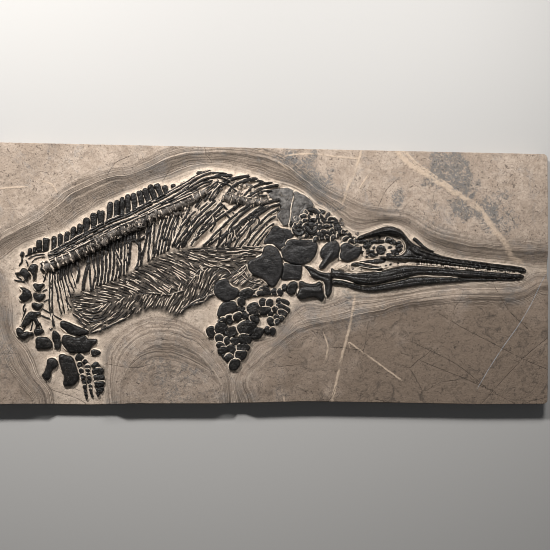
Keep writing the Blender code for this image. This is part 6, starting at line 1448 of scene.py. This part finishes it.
# Broken pieces of arches and ribs between the vertebrae of the neck
neckField = np.array([
    (3.6, 14.4), (5.6, 17.0), (8.6, 17.4), (11.6, 16.4), (14.0, 16.6), (16.4, 14.2), (19.4, 12.0), (22.6, 10.2),
    (21.8, 9.3), (18.6, 9.6), (16.6, 10.6), (13.4, 10.0), (10.6, 10.0), (7.6, 11.2), (7.2, 13.2),
])
shape, chance, taken = bmesh.new(), random.Random(23), []
for turn in range(900):
    spot = np.array([chance.uniform(3.6, 22.6), chance.uniform(9.3, 17.4)])
    size, lean = chance.uniform(0.38, 0.72), chance.uniform(0, 3.1)
    if inside(spot[None], neckField)[0] and all(
            np.hypot(*(spot - other)) > 0.86 * (size + girth) for other, girth in taken):
        taken.append((spot, size))
        turns = np.arange(6) * math.pi / 3
        reach = size * np.array([chance.uniform(0.7, 1.35) for corner in range(6)])
        across = np.stack([reach * np.cos(turns) * 1.35, reach * np.sin(turns) * 0.85], 1)
        outline = spot + across @ np.array([[math.cos(lean), math.sin(lean)], [-math.sin(lean), math.cos(lean)]])
        high = chance.uniform(0.8, 1.25)
        ring = boneShell(shape, outline, high, 200 + turn * 0.37, brim=0.2, rough=0.1, wobble=0.06, corner=0.08)
        rimLines.append((ring, high * 1.2, 0.55))
print("neck splinters", len(taken))
toPiece(shape, "neckSplinters", looks["dark"], "dark_bone")

fillings = [  # stone left standing inside the skull and between the shoulder bones: height, outline
    (0.34, [(23.6, 9.6), (24.6, 10.6), (26.6, 11.1), (29, 11.5), (31.4, 11.5), (33.4, 10.9), (34.8, 9.8),
        (35.3, 8.2), (34.8, 6.9), (33.4, 6.0), (30.8, 5.6), (28.0, 5.2), (25.2, 5.0), (23.6, 5.6), (23.2, 7.2),
        (22.4, 8.6)]),
    (0.62, [(36.0, 4.5), (40, 4.35), (43.6, 3.85), (46, 3.5), (50, 3.35), (54, 2.9), (58, 2.4), (62, 2.1),
        (66, 1.75), (68.4, 1.5), (68.2, 1.15), (66, 1.3), (62, 1.6), (58, 1.9), (54, 2.15), (50, 2.5),
        (46, 2.8), (42, 3.15), (38, 3.35), (35.4, 3.4)]),
    (0.50, [(18.4, 3.9), (19.8, 4.1), (22.2, 4.4), (25.6, 4.9), (29.2, 5.1), (34, 4.7), (35.6, 3.6), (33, 2.9),
        (30, 2.2), (26, 1.7), (22, 1.3), (18.6, 1.6), (16.2, 2.0), (16.8, 3.0)]),
    (0.42, [(22.6, -1.9), (25, -2.45), (28, -2.0), (31, -1.35), (34.4, -0.75), (34.6, -1.0), (31, -1.75),
        (28, -2.35), (25, -2.85), (22.8, -2.4)]),
    (0.45, [(36.8, 0.1), (40, 0.45), (45, 0.4), (52, 0.1), (58, 0.05), (58, -0.1), (52, -0.1), (45, 0.0),
        (40, 0.0), (37.2, -0.25)]),
    (0.55, [(7.0, 15.2), (7.4, 17.0), (8.8, 17.7), (10.4, 17.2), (11.3, 15.9), (11.5, 15.0), (9.4, 14.9)]),
    (0.50, [(14.1, 16.2), (14.8, 16.0), (15.2, 15.0), (15.2, 13.6), (14.6, 13.2), (14.0, 14.2), (13.9, 15.4)]),
    (0.34, [(-68.1, -14.9), (-66.8, -14.8), (-65.6, -15.2), (-65.7, -15.9), (-66.9, -15.6), (-67.9, -15.6)]),
]
shape = bmesh.new()
for k, (high, outline) in enumerate(fillings):
    boneShell(shape, outline, high, 140 + k * 2.3, brim=0.5, rough=0.12, wobble=0.09, foot=0.2)
toPiece(shape, "stoneFilling", filling, "stone")

jawTeeth = {"first": 38.6, "last": 67.6, "gap": 0.62, "half": 0.13}
rods, chance, x = [], random.Random(5), jawTeeth["first"]
while x < jawTeeth["last"]:
    upper = np.interp(x, [36, 42, 46, 54, 60, 66, 69], [4.75, 4.4, 3.7, 3.05, 2.4, 1.9, 1.7])
    lower = np.interp(x, [36, 43, 50, 58, 66, 69], [3.25, 2.9, 2.3, 1.8, 1.2, 0.95])
    long = (upper - lower) * chance.uniform(0.6, 1.05)
    lean = chance.uniform(-0.25, 0.25)
    fromTop = chance.random() < 0.6
    a = np.array([x, upper + 0.15]) if fromTop else np.array([x, lower - 0.15])
    b = a + np.array([lean, -long if fromTop else long])
    line = np.array([a, (a + b) / 2 + (0.05, 0), b])
    size = jawTeeth["half"] * chance.uniform(0.8, 1.25) * np.interp(x, [38, 68], [1.2, 0.8])
    rods.append((line, np.array([1.3, 1.0, 0.35]) * size, np.array([0.0, 0.06, 0.02]) + boneBed + 0.62, True))
    x += jawTeeth["gap"] * chance.uniform(0.7, 1.4)
shape = bmesh.new()
rodBatch(shape, rods, "round")
skullLines = [  # thin pale ridges round the eye, along the jaw's joint and over the brow, partly painted highlights: half width, course
    (0.14, [(28.0, 5.8), (31, 5.95), (33.4, 6.35), (34.7, 7.2), (35.0, 8.4), (34.5, 9.6)]),
    (0.16, [(19.4, 2.1), (20, 3.5), (22, 4.0), (26, 4.2), (29, 4.8)]),
    (0.18, [(24.6, 11.9), (27, 12.9), (29.6, 13.5), (32, 13.4), (34, 12.3)]),
    (0.17, [(22.4, 9.9), (24.4, 10.2), (26.2, 10.6)]), (0.15, [(21.2, 8.9), (22.4, 9.0), (23.4, 8.4)]),
]
toPiece(shape, "jawTeeth", looks["jaw"], "skull_bone")
# Beads of stone between the teeth, and pale lines in the grooves of the jaws, some of them painted highlights along
# lit edges
beads = bmesh.new()
for k, (line, size, level, blunt) in enumerate(rods):
    if k % 5:
        gumLine = np.interp(line[0][0], [36, 43, 50, 58, 69], [4.0, 3.6, 2.9, 2.3, 1.45])
        middle = np.array([line[0][0] + jawTeeth["gap"] / 2, gumLine])
        bead = 0.20 * np.interp(middle[0], [38, 68], [1.15, 0.8])
        chip(beads, middle, boneBed + 0.82, bead, 0.2 + 0.13 * (k % 4))
toPiece(beads, "toothStone", paleRimAndHighlight, "stone")
paleLines = [
    (0.15, 1.02, [(4.2, 21.7), (3.7, 19.2), (3.5, 17.0), (3.2, 14.8), (3.0, 13.7)]),
    (0.10, 0.85, [(23.2, -2.45), (27.8, -2.05), (32.3, -1.15), (35.6, -0.4)]),
    (0.10, 0.95, [(36.4, -0.05), (39.6, 0.42), (44.1, 0.42), (50, 0.15)]),
    (0.10, 1.28, [(15.6, 1.5), (18.2, 1.3), (21.4, 0.85), (25.0, 1.1), (28.8, 1.6)]),
    (0.17, 1.15, [(15.4, -0.65), (18.4, -1.05), (20.9, -1.75)]),
    (0.15, 1.0, [(20.0, 2.6), (20.2, 3.6), (21.6, 4.1), (24.4, 3.7), (27.0, 3.3)]),
    (0.12, 1.1, [(16.0, 3.0), (16.9, 2.3), (18.6, 2.9), (19.6, 2.3)]),
    (0.09, 1.1, [(22.4, 2.9), (26.6, 2.3), (30.6, 2.9), (34.6, 3.6)]),
]

# Pale rims of stone that follow the bones' outlines, kept on the sides facing the light as painted lit edges
print("stone rims")
rods = []
for k, (ring, high, stout) in enumerate(rimLines):
    line = smoothLine(ring[::4], 0.34, True)
    line = np.concatenate([line, line[:1]])
    out = -sideways(line)
    if np.sum(line[:-1, 0] * line[1:, 1] - line[:-1, 1] * line[1:, 0]) < 0:
        out = -out
    shown = np.array([grain(x, y, 0.42, 50 + k * 0.13) for x, y in line]) > (-0.26 if stout > 0.7 else -0.5)
    shown &= out @ (-0.62, 0.78) > -0.30  # only on the sides facing the light: a painted lit edge; the shaded far sides have none
    thick = stout * np.array([0.20 + 0.13 * grain(x, y, 1.1, 8) + 0.08 * grain(x, y, 3.0, 9) for x, y in line])
    standing = min(1.0, high * 0.84) if stout in (0.8, 0.55) else min(0.74, high * 0.60)
    levels = boneBed + standing + 0.10 * np.array([grain(x, y, 0.9, 3) for x, y in line])
    cuts = np.flatnonzero(np.diff(np.concatenate([[0], shown.astype(int), [0]])))
    for a, b in zip(cuts[::2], cuts[1::2]):
        if b - a > 3:
            rods.append((line[a:b] + out[a:b] * 0.06, np.maximum(thick[a:b], 0.06), levels[a:b], False))
shape = bmesh.new()
rodBatch(shape, rods, "bank")
toPiece(shape, "stoneRimsLitSide", paleRimAndHighlight, "stone")
threadsAndHighlights += [livelyRod(course, half * 0.75, boneBed + 0.62, 500 + k, 0.3, 0.03)
            for k, (half, course) in enumerate(skullLines)]
threadsAndHighlights += [livelyRod(course, half, boneBed + high, 540 + k, 0.3, 0.04, 0.3)
            for k, (half, high, course) in enumerate(paleLines)]
shape = bmesh.new()
rodBatch(shape, threadsAndHighlights, "sharp")
toPiece(shape, "stoneAndHighlightThreads", paleRimAndHighlight, "stone")


# The slab
slabValues = {
    "step": 0.36, "halfLong": 76.0, "halfWide": 35.0, "worn": 0.22, "corner": 1.15,
    "lowerEdge": [(-76, 0.2), (-66, 0.3), (-50, 0.0), (-37, 0.35), (-16, 0.3), (8, 0.9), (30, 0.55), (56, 0.05),
        (76, 0.1)],
}
hollowWall = [
    ((-79, 5.6), (-79, 2.0)), ((-75.3, 8.0), (-74.2, 4.2)), ((-70, 11.2), (-69.5, 8.0)),
    ((-65, 14.2), (-64, 10.4)), ((-60, 17.8), (-58, 13.2)), ((-55, 21.6), (-53, 16.8)),
    ((-50, 24.2), (-48.5, 19.6)), ((-45, 25.8), (-44, 22.0)), ((-40, 27.0), (-39.5, 24.0)),
    ((-35, 29.0), (-34.5, 26.0)), ((-30, 31.3), (-29.5, 27.4)), ((-25, 32.9), (-24.6, 29.4)),
    ((-20, 33.5), (-19.8, 30.6)), ((-14, 33.5), (-14, 30.4)), ((-8, 33.0), (-8.6, 29.4)),
    ((-3, 32.2), (-4.4, 28.2)), ((1, 31), (-0.8, 26.6)), ((4, 29), (2.6, 25.6)), ((7, 26.5), (5.6, 24.6)),
    ((10, 24.2), (8.4, 22.8)), ((14, 21.8), (11.2, 20.4)), ((18, 20), (14.4, 18.6)), ((22, 18), (18.6, 14.6)),
    ((26, 17.2), (22.5, 12.8)), ((30, 16.9), (26.5, 14.0)), ((33.5, 16.8), (30.5, 15.0)),
    ((37, 15.8), (34.4, 14.4)), ((41, 13.2), (38.4, 11.9)), ((45, 11.2), (42.5, 9.2)), ((50, 9.9), (48.5, 6.8)),
    ((55, 9.3), (54.5, 5.9)), ((60, 8.9), (60, 5.3)), ((65, 8.4), (65.5, 4.8)), ((70, 8.0), (70.6, 4.2)),
    ((79, 7.2), (79, 3.2)), ((79, -0.6), (79, 1.4)), ((73, -2.2), (72.2, 0.6)), ((70, -4), (70.4, -0.6)),
    ((66, -5), (66, -1.9)), ((60, -5.1), (60, -2.0)), ((50, -5.5), (50, -2.5)), ((40, -6.3), (40, -3.4)),
    ((35, -6.9), (34.5, -4.3)), ((30, -8.4), (29, -5.2)), ((25, -9.6), (23.6, -5.6)), ((20, -11), (18.5, -6.2)),
    ((14, -12.2), (12.8, -8.2)), ((10, -13), (7.2, -8.0)), ((5, -15), (3.9, -10.8)),
    ((2.5, -16.6), (1.4, -13.8)), ((0, -18.6), (-1.0, -16.8)), ((-4, -22), (-5.2, -18.4)),
    ((-7.5, -25), (-7.4, -21.6)), ((-9.2, -27.5), (-10.2, -26.2)), ((-9.3, -30.5), (-11.3, -29)),
    ((-8, -33), (-10.8, -33)), ((-7, -38), (-10.3, -38)), ((-13.6, -38), (-11.8, -38)),
    ((-14.4, -33), (-12.2, -33)), ((-15.2, -29.5), (-12.6, -29)), ((-17.2, -26.2), (-13.6, -25.8)),
    ((-20, -22.8), (-16.6, -21)), ((-24, -20), (-20, -16)), ((-29, -18.6), (-26, -12.8)),
    ((-34, -19.4), (-33, -12)), ((-38, -22.3), (-40, -14.6)), ((-40.6, -26.5), (-44.6, -19.5)),
    ((-42, -31), (-45.4, -27)), ((-43, -38), (-45.6, -38)), ((-61.5, -38), (-58.5, -38)),
    ((-63.5, -32), (-60.6, -31.4)), ((-67, -27.5), (-63.8, -27.2)), ((-70.4, -22.4), (-66.2, -21.4)),
    ((-73, -16), (-70.6, -16)), ((-74.6, -9), (-71.4, -9)), ((-75.3, -2), (-73.2, -2)),
    ((-76.5, 0.5), (-74.6, 1.2)), ((-79, 1.0), (-79, 1.4)),
]
veins = [
    [(23.3, 36), (21.5, 30), (19.5, 25), (18, 20.5)],
    [(21.7, -5), (20.8, -9), (19.7, -15), (18, -21), (16.5, -28), (15, -36)],
    [(-5, 34), (0, 32.8), (5, 33.3), (10, 33.6), (15, 33), (22, 32.5)],
    [(-5.5, 36), (-3, 33), (0, 31), (3, 29)],
    [(32, 36), (36, 31.5), (42, 28), (50, 23), (55, 20), (58, 17), (60, 14), (62, 11.5), (64, 9), (65.5, 6),
        (68, 4.5)],
    [(34.2, 36), (38, 32.0), (44, 28), (51, 23.4)], [(-74, 22.6), (-68, 23.1)],
    [(-63, 24.7), (-61, 24), (-59.5, 22)], [(13, -16), (14, -19), (13.5, -22)], [(1.5, -31), (2.7, -36)],
    [(24.5, 27.5), (22.6, 24.6)], [(20, -18), (27, -23), (34, -28)],
]
coldVeins = [[(77, 3), (74, -1), (71, -7), (68, -12), (63, -19), (59, -25), (56, -30)]]
cracks = [
    [(45, -10), (52, -14), (60, -18), (68, -22), (77, -25.8)],
    [(77, -15.5), (70, -21), (64, -27), (57, -34.5), (55, -36)],
    [(35, -21), (45, -25), (55, -29), (63, -33), (69, -36)], [(38, -18), (50, -24), (58, -30), (61, -31.6)],
    [(-46, 27), (-44, 30), (-40, 32)], [(-31, 26), (-29.4, 28.6), (-28.8, 30)],
    [(-46, -24), (-38, -25), (-34, -24)], [(58, 4), (64, -8), (70, -14)], [(28, 20), (30, 24), (33, 27)],
    [(-60, -31), (-52, -34), (-50, -36)],
]
stains = [  # middle, reach along x and y, turn in degrees, strength
    (10, 27.5, 9, 5.5, -32, 0.95), (48, 27, 13, 6.5, -35, 0.9), (33.5, 22.5, 1.6, 3.6, -10, 0.8),
    (24, -14, 5, 7, 25, 0.75), (1.5, -31, 2.5, 5, 0, 0.6), (-30, -26, 10, 7, 0, 0.5),
    (-22, -33, 11, 3, 0, 0.45), (60, 20, 8, 5, -40, 0.55), (5, 31, 7, 2.5, -10, 0.7), (40, 15, 9, 3, -30, 0.3),
    (-73, -26, 4, 8, 0, 0.45), (36, -30, 12, 4, 20, 0.35), (-60, 30, 12, 5, 10, 0.2),
]
print("stone slab")
step, halfLong, halfWide = slabValues["step"], slabValues["halfLong"], slabValues["halfWide"]
columns, rows = int(2 * halfLong / step), int(2 * halfWide / step)
slab = bmesh.new()
bmesh.ops.create_grid(slab, x_segments=columns, y_segments=rows, size=0.5,
                      matrix=Matrix.Diagonal((2 * halfLong, 2 * halfWide, 1, 1)))
plan = np.array([v.co.xy for v in slab.verts])
# The sawn outline: a wandering lower edge, a slight bulge on the right and rounded right corners
lowIn = np.interp(plan[:, 0], *zip(*slabValues["lowerEdge"]))
share = (plan[:, 1] + halfWide) / (2 * halfWide)
plan[:, 1] += lowIn * (1 - share)
bulge = 1 - np.cos(np.clip(plan[:, 1] / halfWide, -1, 1) * 1.2)
plan[:, 0] -= bulge * 0.28 * ease(0.6, 1.0, plan[:, 0] / halfLong)
worn = slabValues["worn"]
inset = 1 - worn / halfLong, 1 - worn / halfWide
plan *= np.array(inset)
corner = slabValues["corner"]
for way in (1, -1):
    edgeX = halfLong * inset[0] - 0.16 - corner
    edgeY = halfWide * inset[1] - (0.0 if way > 0 else 0.1) - corner
    over = np.maximum(plan - np.array((edgeX, edgeY * way)), 0) if way > 0 else np.stack(
        [np.maximum(plan[:, 0] - edgeX, 0), np.minimum(plan[:, 1] + edgeY, 0)], 1)
    reach = np.hypot(*over.T)
    both = (np.abs(over) > 0).all(1)
    squeeze = np.abs(over).max(1) / np.maximum(reach, 1e-6)
    plan[both] -= over[both] * (1 - squeeze[both])[:, None]

brink = smoothLine([a for a, b in hollowWall], 0.8, True)
toe = smoothLine([b for a, b in hollowWall], 0.8, True)
toBrink, toToe = nearest(plan, brink, True)[0], nearest(plan, toe, True)[0]
inBrink, inToe = inside(plan, brink), inside(plan, toe)
slopeShare = np.where(inToe, 1.0, np.where(inBrink, toBrink / np.maximum(toBrink + toToe, 1e-6), 0.0))
band = np.where(inToe, 1 + toToe / 3.2, np.where(inBrink, slopeShare, -toBrink / 3.6))
roughBroad, roughFine = grainField(plan, 0.09, 2.0, 3), grainField(plan, 0.75, 5.0, 3)
roughEdge = grainField(plan, 0.28, 11.0, 4)
beds = 7
eased = np.clip(slopeShare + roughEdge * 0.07 * np.sin(np.clip(slopeShare, 0, 1) * math.pi), 0, 1)
stair = (np.floor(eased * beds) + ease(0.25, 0.9, eased * beds % 1)) / beds
stair = 0.55 * stair + 0.45 * ease(0, 1, eased)
height = slabTop - (slabTop - boneBed) * stair
height += roughBroad * 0.055 * (1 - slopeShare * 0.6) + roughFine * 0.018 - 0.045

# Where the stone stands against the bones, from each bone's own footprint
order = np.lexsort((np.round([v.co.x for v in slab.verts], 4), np.round([v.co.y for v in slab.verts], 4)))
cells = order.reshape(rows + 1, columns + 1)
spanX, spanY = plan[cells[rows // 2], 0], plan[cells[:, columns // 2], 1]
far, margin = 9.0, 1.6  # a distance beyond any effect, and how far round a footprint the stone is shaped
nearBone, nearRod, nearStrand = (np.full(len(plan), far) for kind in ("bone", "rod", "strand"))
packed = np.full(len(plan), boneBed)  # how high the stone stands between ribs and strands
underBone = np.zeros(len(plan), bool)
for kind, *parts in footprints:
    line = parts[0]
    lowX, highX = np.searchsorted(spanX, (line[:, 0].min() - margin, line[:, 0].max() + margin))
    lowY, highY = np.searchsorted(spanY, (line[:, 1].min() - margin, line[:, 1].max() + margin))
    chosen = cells[lowY:highY, lowX:highX].ravel()
    if not len(chosen):
        continue
    local = plan[chosen]
    if kind == "ring":
        away = nearest(local, line[::3], True)[0]
        within = inside(local, line[::3])
        underBone[chosen[within]] = True
        nearBone[chosen] = np.minimum(nearBone[chosen], np.where(within, 0, away))
    else:
        away = np.maximum(nearest(local, line[::2] if len(line) > 12 else line)[0] - parts[1], 0)
        nearRod[chosen] = np.minimum(nearRod[chosen], away)
        if kind == "strand":
            nearStrand[chosen] = np.minimum(nearStrand[chosen], away)
        fill = parts[2] - (0.05 if kind == "strand" else 0.18)
        packed[chosen] = np.maximum(packed[chosen], boneBed + (fill - boneBed) * np.exp(-(away / 0.6) ** 2))
nearAny = np.minimum(nearBone, nearRod)
floorZone = np.where(inToe, ease(0, 1.2, toToe), 0)
ragged = 1 + 0.5 * roughEdge
height += (0.17 * ragged * np.exp(-(nearBone / 0.5) ** 2) * (nearBone > 0)
           + 0.05 * np.exp(-(nearAny / 1.6) ** 2)) * floorZone
height = np.where(floorZone > 0, np.maximum(height, packed + 0.03 * roughEdge + 0.02 * roughFine), height)
height = np.where(underBone & (nearBone <= 0), np.minimum(height, boneBed + 0.15), height)
# Where the dome at the bottom, between the paddles, lies, for its bedding lines; veins raised and cracks sunk a
# little
dome = np.exp(-(((plan[:, 0] + 27) / 15) ** 2 + ((plan[:, 1] + 22) / 9) ** 2)) * (1 - inBrink)
for line, side in ((veins, 0.035), (cracks, -0.05)):
    for course in line:
        gap = nearest(plan, smoothLine(course, 1.0))[0]
        height += side * np.exp(-(gap / 0.28) ** 2)
height = np.minimum(height, 5.0)
for v, (x, y), z in zip(slab.verts, plan, height):
    v.co = (x, y, z)

fields = {}
stain = np.zeros(len(plan))
for sx, sy, rx, ry, degrees, strength in stains:
    turn = math.radians(degrees)
    dx, dy = plan[:, 0] - sx, plan[:, 1] - sy
    u, w = dx * math.cos(turn) + dy * math.sin(turn), -dx * math.sin(turn) + dy * math.cos(turn)
    stain = np.maximum(stain, strength * (1 - ease(0.55, 1.25, np.hypot(u / rx, w / ry) + roughBroad * 0.9)))
fields["stain"] = stain
# Painted shade on the wall below the upper brink, which faces away from the light; the rest of the wall stays pale
wallStart = np.interp(plan[:, 0], [-76, -70, -60, 0, 20, 76], [2, 4, 4, 4, 4, 3])
upperWall = ease(-0.25, 0.35, (plan[:, 1] - wallStart) / 4)
fields["shade"] = (upperWall * (0.62 + 0.38 * ease(-58, -34, plan[:, 0])) * (0.85 + 0.5 * roughBroad)
                   * (1 - 0.45 * ease(2, 12, plan[:, 0]) * (1 - ease(22, 36, plan[:, 0]))))
fields["bed"] = band + roughBroad * 0.10 + roughEdge * 0.035 + dome * 1.2
outer = 1 - ease(0.4, 4.2, np.where(inBrink, 0, toBrink))
underMat = ease(-46, -42, plan[:, 0]) * (1 - ease(-16, -12, plan[:, 0])) * (plan[:, 1] < 0)
wallOnly = np.where(inToe, 1 - ease(0.2, 2.6 - 1.9 * underMat, toToe), np.where(inBrink, 1.0, outer))
fields["banding"] = np.clip(wallOnly * (0.85 + 0.5 * roughBroad) * (1 - 0.45 * underMat)
                            + 0.35 * ease(0.25, 0.9, dome), 0, 1)
# Crushed bone and painted shade between the strands of the mat, and a painted shadow below the rear half of the
# column
below = nearest(plan, smoothLine(rearSpine, 1.0))[0]
leeShadow = ((1 - ease(3.6, 6.0, below + roughEdge * 1.2)) * (plan[:, 1] < np.interp(plan[:, 0], *zip(*rearSpine)))
       * ease(-60.5, -57, plan[:, 0]) * (1 - 0.75 * ease(-38, -28, plan[:, 0])))
gapShades = [  # painted shade between the bones of the neck and of the paddles: middle, reach
    (9.5, 13.2, 3.0), (12.6, 12.6, 3.0), (6.8, 15.0, 3.0), (15.8, 12.2, 3.0), (-14.6, -15.0, 2.8),
    (-12.6, -17.8, 3.0), (-9.2, -18.4, 2.7), (-8.6, -14.6, 3.0), (-12.0, -21.4, 2.6), (-11.4, -23.8, 1.9),
    (-10.8, -11.4, 2.0), (-6.2, -9.6, 2.5), (-3.2, -8.2, 2.4), (1.2, -8.4, 2.6), (-47.8, -28.0, 2.4),
    (-47.6, -25.6, 1.8), (-50.8, -28.0, 1.4), (-51.2, -24.4, 1.6),
]
gapShade = np.max([1 - ease(0.5 * reach, reach, np.hypot(plan[:, 0] - x, plan[:, 1] - y) + roughEdge * 0.7)
                    for x, y, reach in gapShades], axis=0)
fields["crushed"] = np.clip(
    0.85 * gapShade + np.maximum(0.92 * np.exp(-(nearStrand / 0.55) ** 2), leeShadow * 0.98), 0, 1)
# Painted shade: darker towards the lower right and the bottom, where the light falls off
fields["deep"] = np.clip(ease(-20, 44, plan[:, 0]) * ease(6, -13, plan[:, 1]) + 0.45 * ease(-10, -34, plan[:, 1])
                         + roughBroad * 0.5 * (plan[:, 1] < 0), 0, 1) * (1 - inBrink)
fields["fresh"] = np.clip(0.36 * floorZone + 0.75 * np.exp(-(nearBone / 0.75) ** 2)
                          + 0.7 * np.exp(-(nearRod / 0.6) ** 2), 0, 1)
for name, courses in (("vein", veins), ("coldVein", coldVeins), ("crack", cracks)):
    signed = np.full(len(plan), far)
    for course in courses:
        broad = 3.2 if course[0] == (32, 36) else 1.6 if course[0] in ((23.3, 36), (21.7, -5)) else 1.0
        gap, spot, way = nearest(plan, smoothLine(course, 1.0))
        gap = gap / broad
        closer = gap < np.abs(signed)
        signed[closer] = (gap * way)[closer]
    fields[name] = np.clip(signed, -3, 3)
    fields[name + "Near"] = 1 - ease(0.7, 1.3, np.abs(signed))
layers = {name: slab.verts.layers.float.new(name) for name in fields}
for name, layer in layers.items():
    values = fields[name]
    for v, value in zip(slab.verts, values):
        v[layer] = float(value)

# Sides: a worn top edge, rough sawn faces, a worn lower edge and a flat underside
rimEdges = [e for e in slab.edges if e.is_boundary]
sideRings = [
    (0.03, 0.10), (0.13, 0.19), (0.20, 0.34), (worn, 0.8), (worn, 1.4), (worn, 2.0), (worn, 2.6), (worn, 3.2),
    (0.18, 3.8), (0.08, 3.95), (-0.08, 4.0),
]
cornerZone = 2.2  # cm from the ends within which a side turns the corner
topOf = {}
for out, down in sideRings:
    made = bmesh.ops.extrude_edge_only(slab, edges=rimEdges)["geom"]
    for v in (item for item in made if isinstance(item, bmesh.types.BMVert)):
        neighbour = next(e.other_vert(v) for e in v.link_edges if e.other_vert(v) not in made)
        rest = topOf[v] = topOf.get(neighbour, neighbour.co.copy())
        endX, endY = halfLong - cornerZone, halfWide - cornerZone
        away = Vector(((rest.x > endX) - (rest.x < -endX), (rest.y > endY) - (rest.y < -endY), 0))
        if away.length > 1.1:
            away = Vector((rest.x - math.copysign(endX, rest.x), rest.y - math.copysign(endY, rest.y), 0))
        away = away.normalized() if away.length else away
        chipped = 0.10 * noise.fractal(Vector((rest.x * 0.35, rest.y * 0.35, down * 0.9)), 0.7, 2.1, 4)
        chipped += 0.03 * noise.noise(Vector((rest.x * 2.0, rest.y * 2.0, down * 2.6)))
        inwards = abs(chipped) * (1.4 if 0.3 < down < 3.9 else 0.5)
        v.co = (rest.x + away.x * (out - inwards), rest.y + away.y * (out - inwards), 0)
        share = down / slabTop
        v.co.z = max(0.0, rest.z + (slabTop - rest.z) * share - down) if down < slabTop else 0.0
        v.co.x = max(-halfLong, min(halfLong, v.co.x))
        v.co.y = max(-halfWide, min(halfWide, v.co.y))
    rimEdges = [item for item in made if isinstance(item, bmesh.types.BMEdge)]
bmesh.ops.holes_fill(slab, edges=rimEdges, sides=0)
bmesh.ops.recalc_face_normals(slab, faces=slab.faces)
for face in slab.faces:
    face.smooth = len(face.verts) < 5
bmesh.ops.scale(slab, vec=(toMetres,) * 3, verts=slab.verts)
toPiece(slab, "stoneBed", stone, "stone", "stone_slab")


# Camera, light and floor
print("camera and light")
eye = bpy.data.cameras.new("frontEye")
eye.lens, eye.sensor_width, eye.sensor_fit, eye.clip_end = 70, 36, "HORIZONTAL", 50
eyeObject = bpy.data.objects.new("frontEye", eye)
root.objects.link(eyeObject)
right, up = Vector((0.99545, 0.00748, 0.09495)), Vector((-0.01022, 0.99954, 0.02839))
forward = Vector((0.09469, 0.02923, -0.99508))
frameAxes = Matrix((right, up, -forward)).transposed().to_4x4()
eyeObject.matrix_world = Matrix.Translation((-0.28209, -0.08219, 2.93410)) @ frameAxes
bpy.context.scene.camera = eyeObject


def lamp(name, place, target, power, size, colour=(1, 1, 1)):
    data = bpy.data.lights.new(name, "AREA")
    data.energy, data.size, data.color = power, size, colour
    made = bpy.data.objects.new(name, data)
    made.location = place
    made.rotation_euler = (Vector(target) - Vector(place)).to_track_quat("-Z", "Y").to_euler()
    root.objects.link(made)


lamp("keyLight", (-1.12, 1.42, 1.46), (-0.2, 0.0, 0.03), 60, 0.24, (1.0, 0.975, 0.95))
lamp("sideLight", (0.62, 1.12, 1.15), (0.35, 0.10, 0.03), 17, 0.35, (1.0, 0.98, 0.96))
lamp("softFill", (0.4, -1.2, 2.6), (0, 0, 0), 3, 2.4, (0.97, 0.985, 1.0))

floorLook = Look("pale_floor").finish((0.46, 0.455, 0.445, 1), 0.9)
floorShape = bmesh.new()
bmesh.ops.create_grid(floorShape, x_segments=1, y_segments=1, size=6.0)
floorMesh = bpy.data.meshes.new("floor")
floorShape.to_mesh(floorMesh)
floorShape.free()
placed(floorMesh, "floor", floorLook)
world = bpy.data.worlds.new("studio")
world.use_nodes = True
world.node_tree.nodes["Background"].inputs["Color"].default_value = (0.80, 0.82, 0.85, 1)
world.node_tree.nodes["Background"].inputs["Strength"].default_value = 0.055
bpy.context.scene.world = world
bpy.context.scene.view_settings.view_transform = "Standard"
bpy.context.scene.cycles.filter_width = 1.0

for carrier in profileCurves.values():
    flat = carrier.data
    bpy.data.objects.remove(carrier)
    bpy.data.curves.remove(flat)
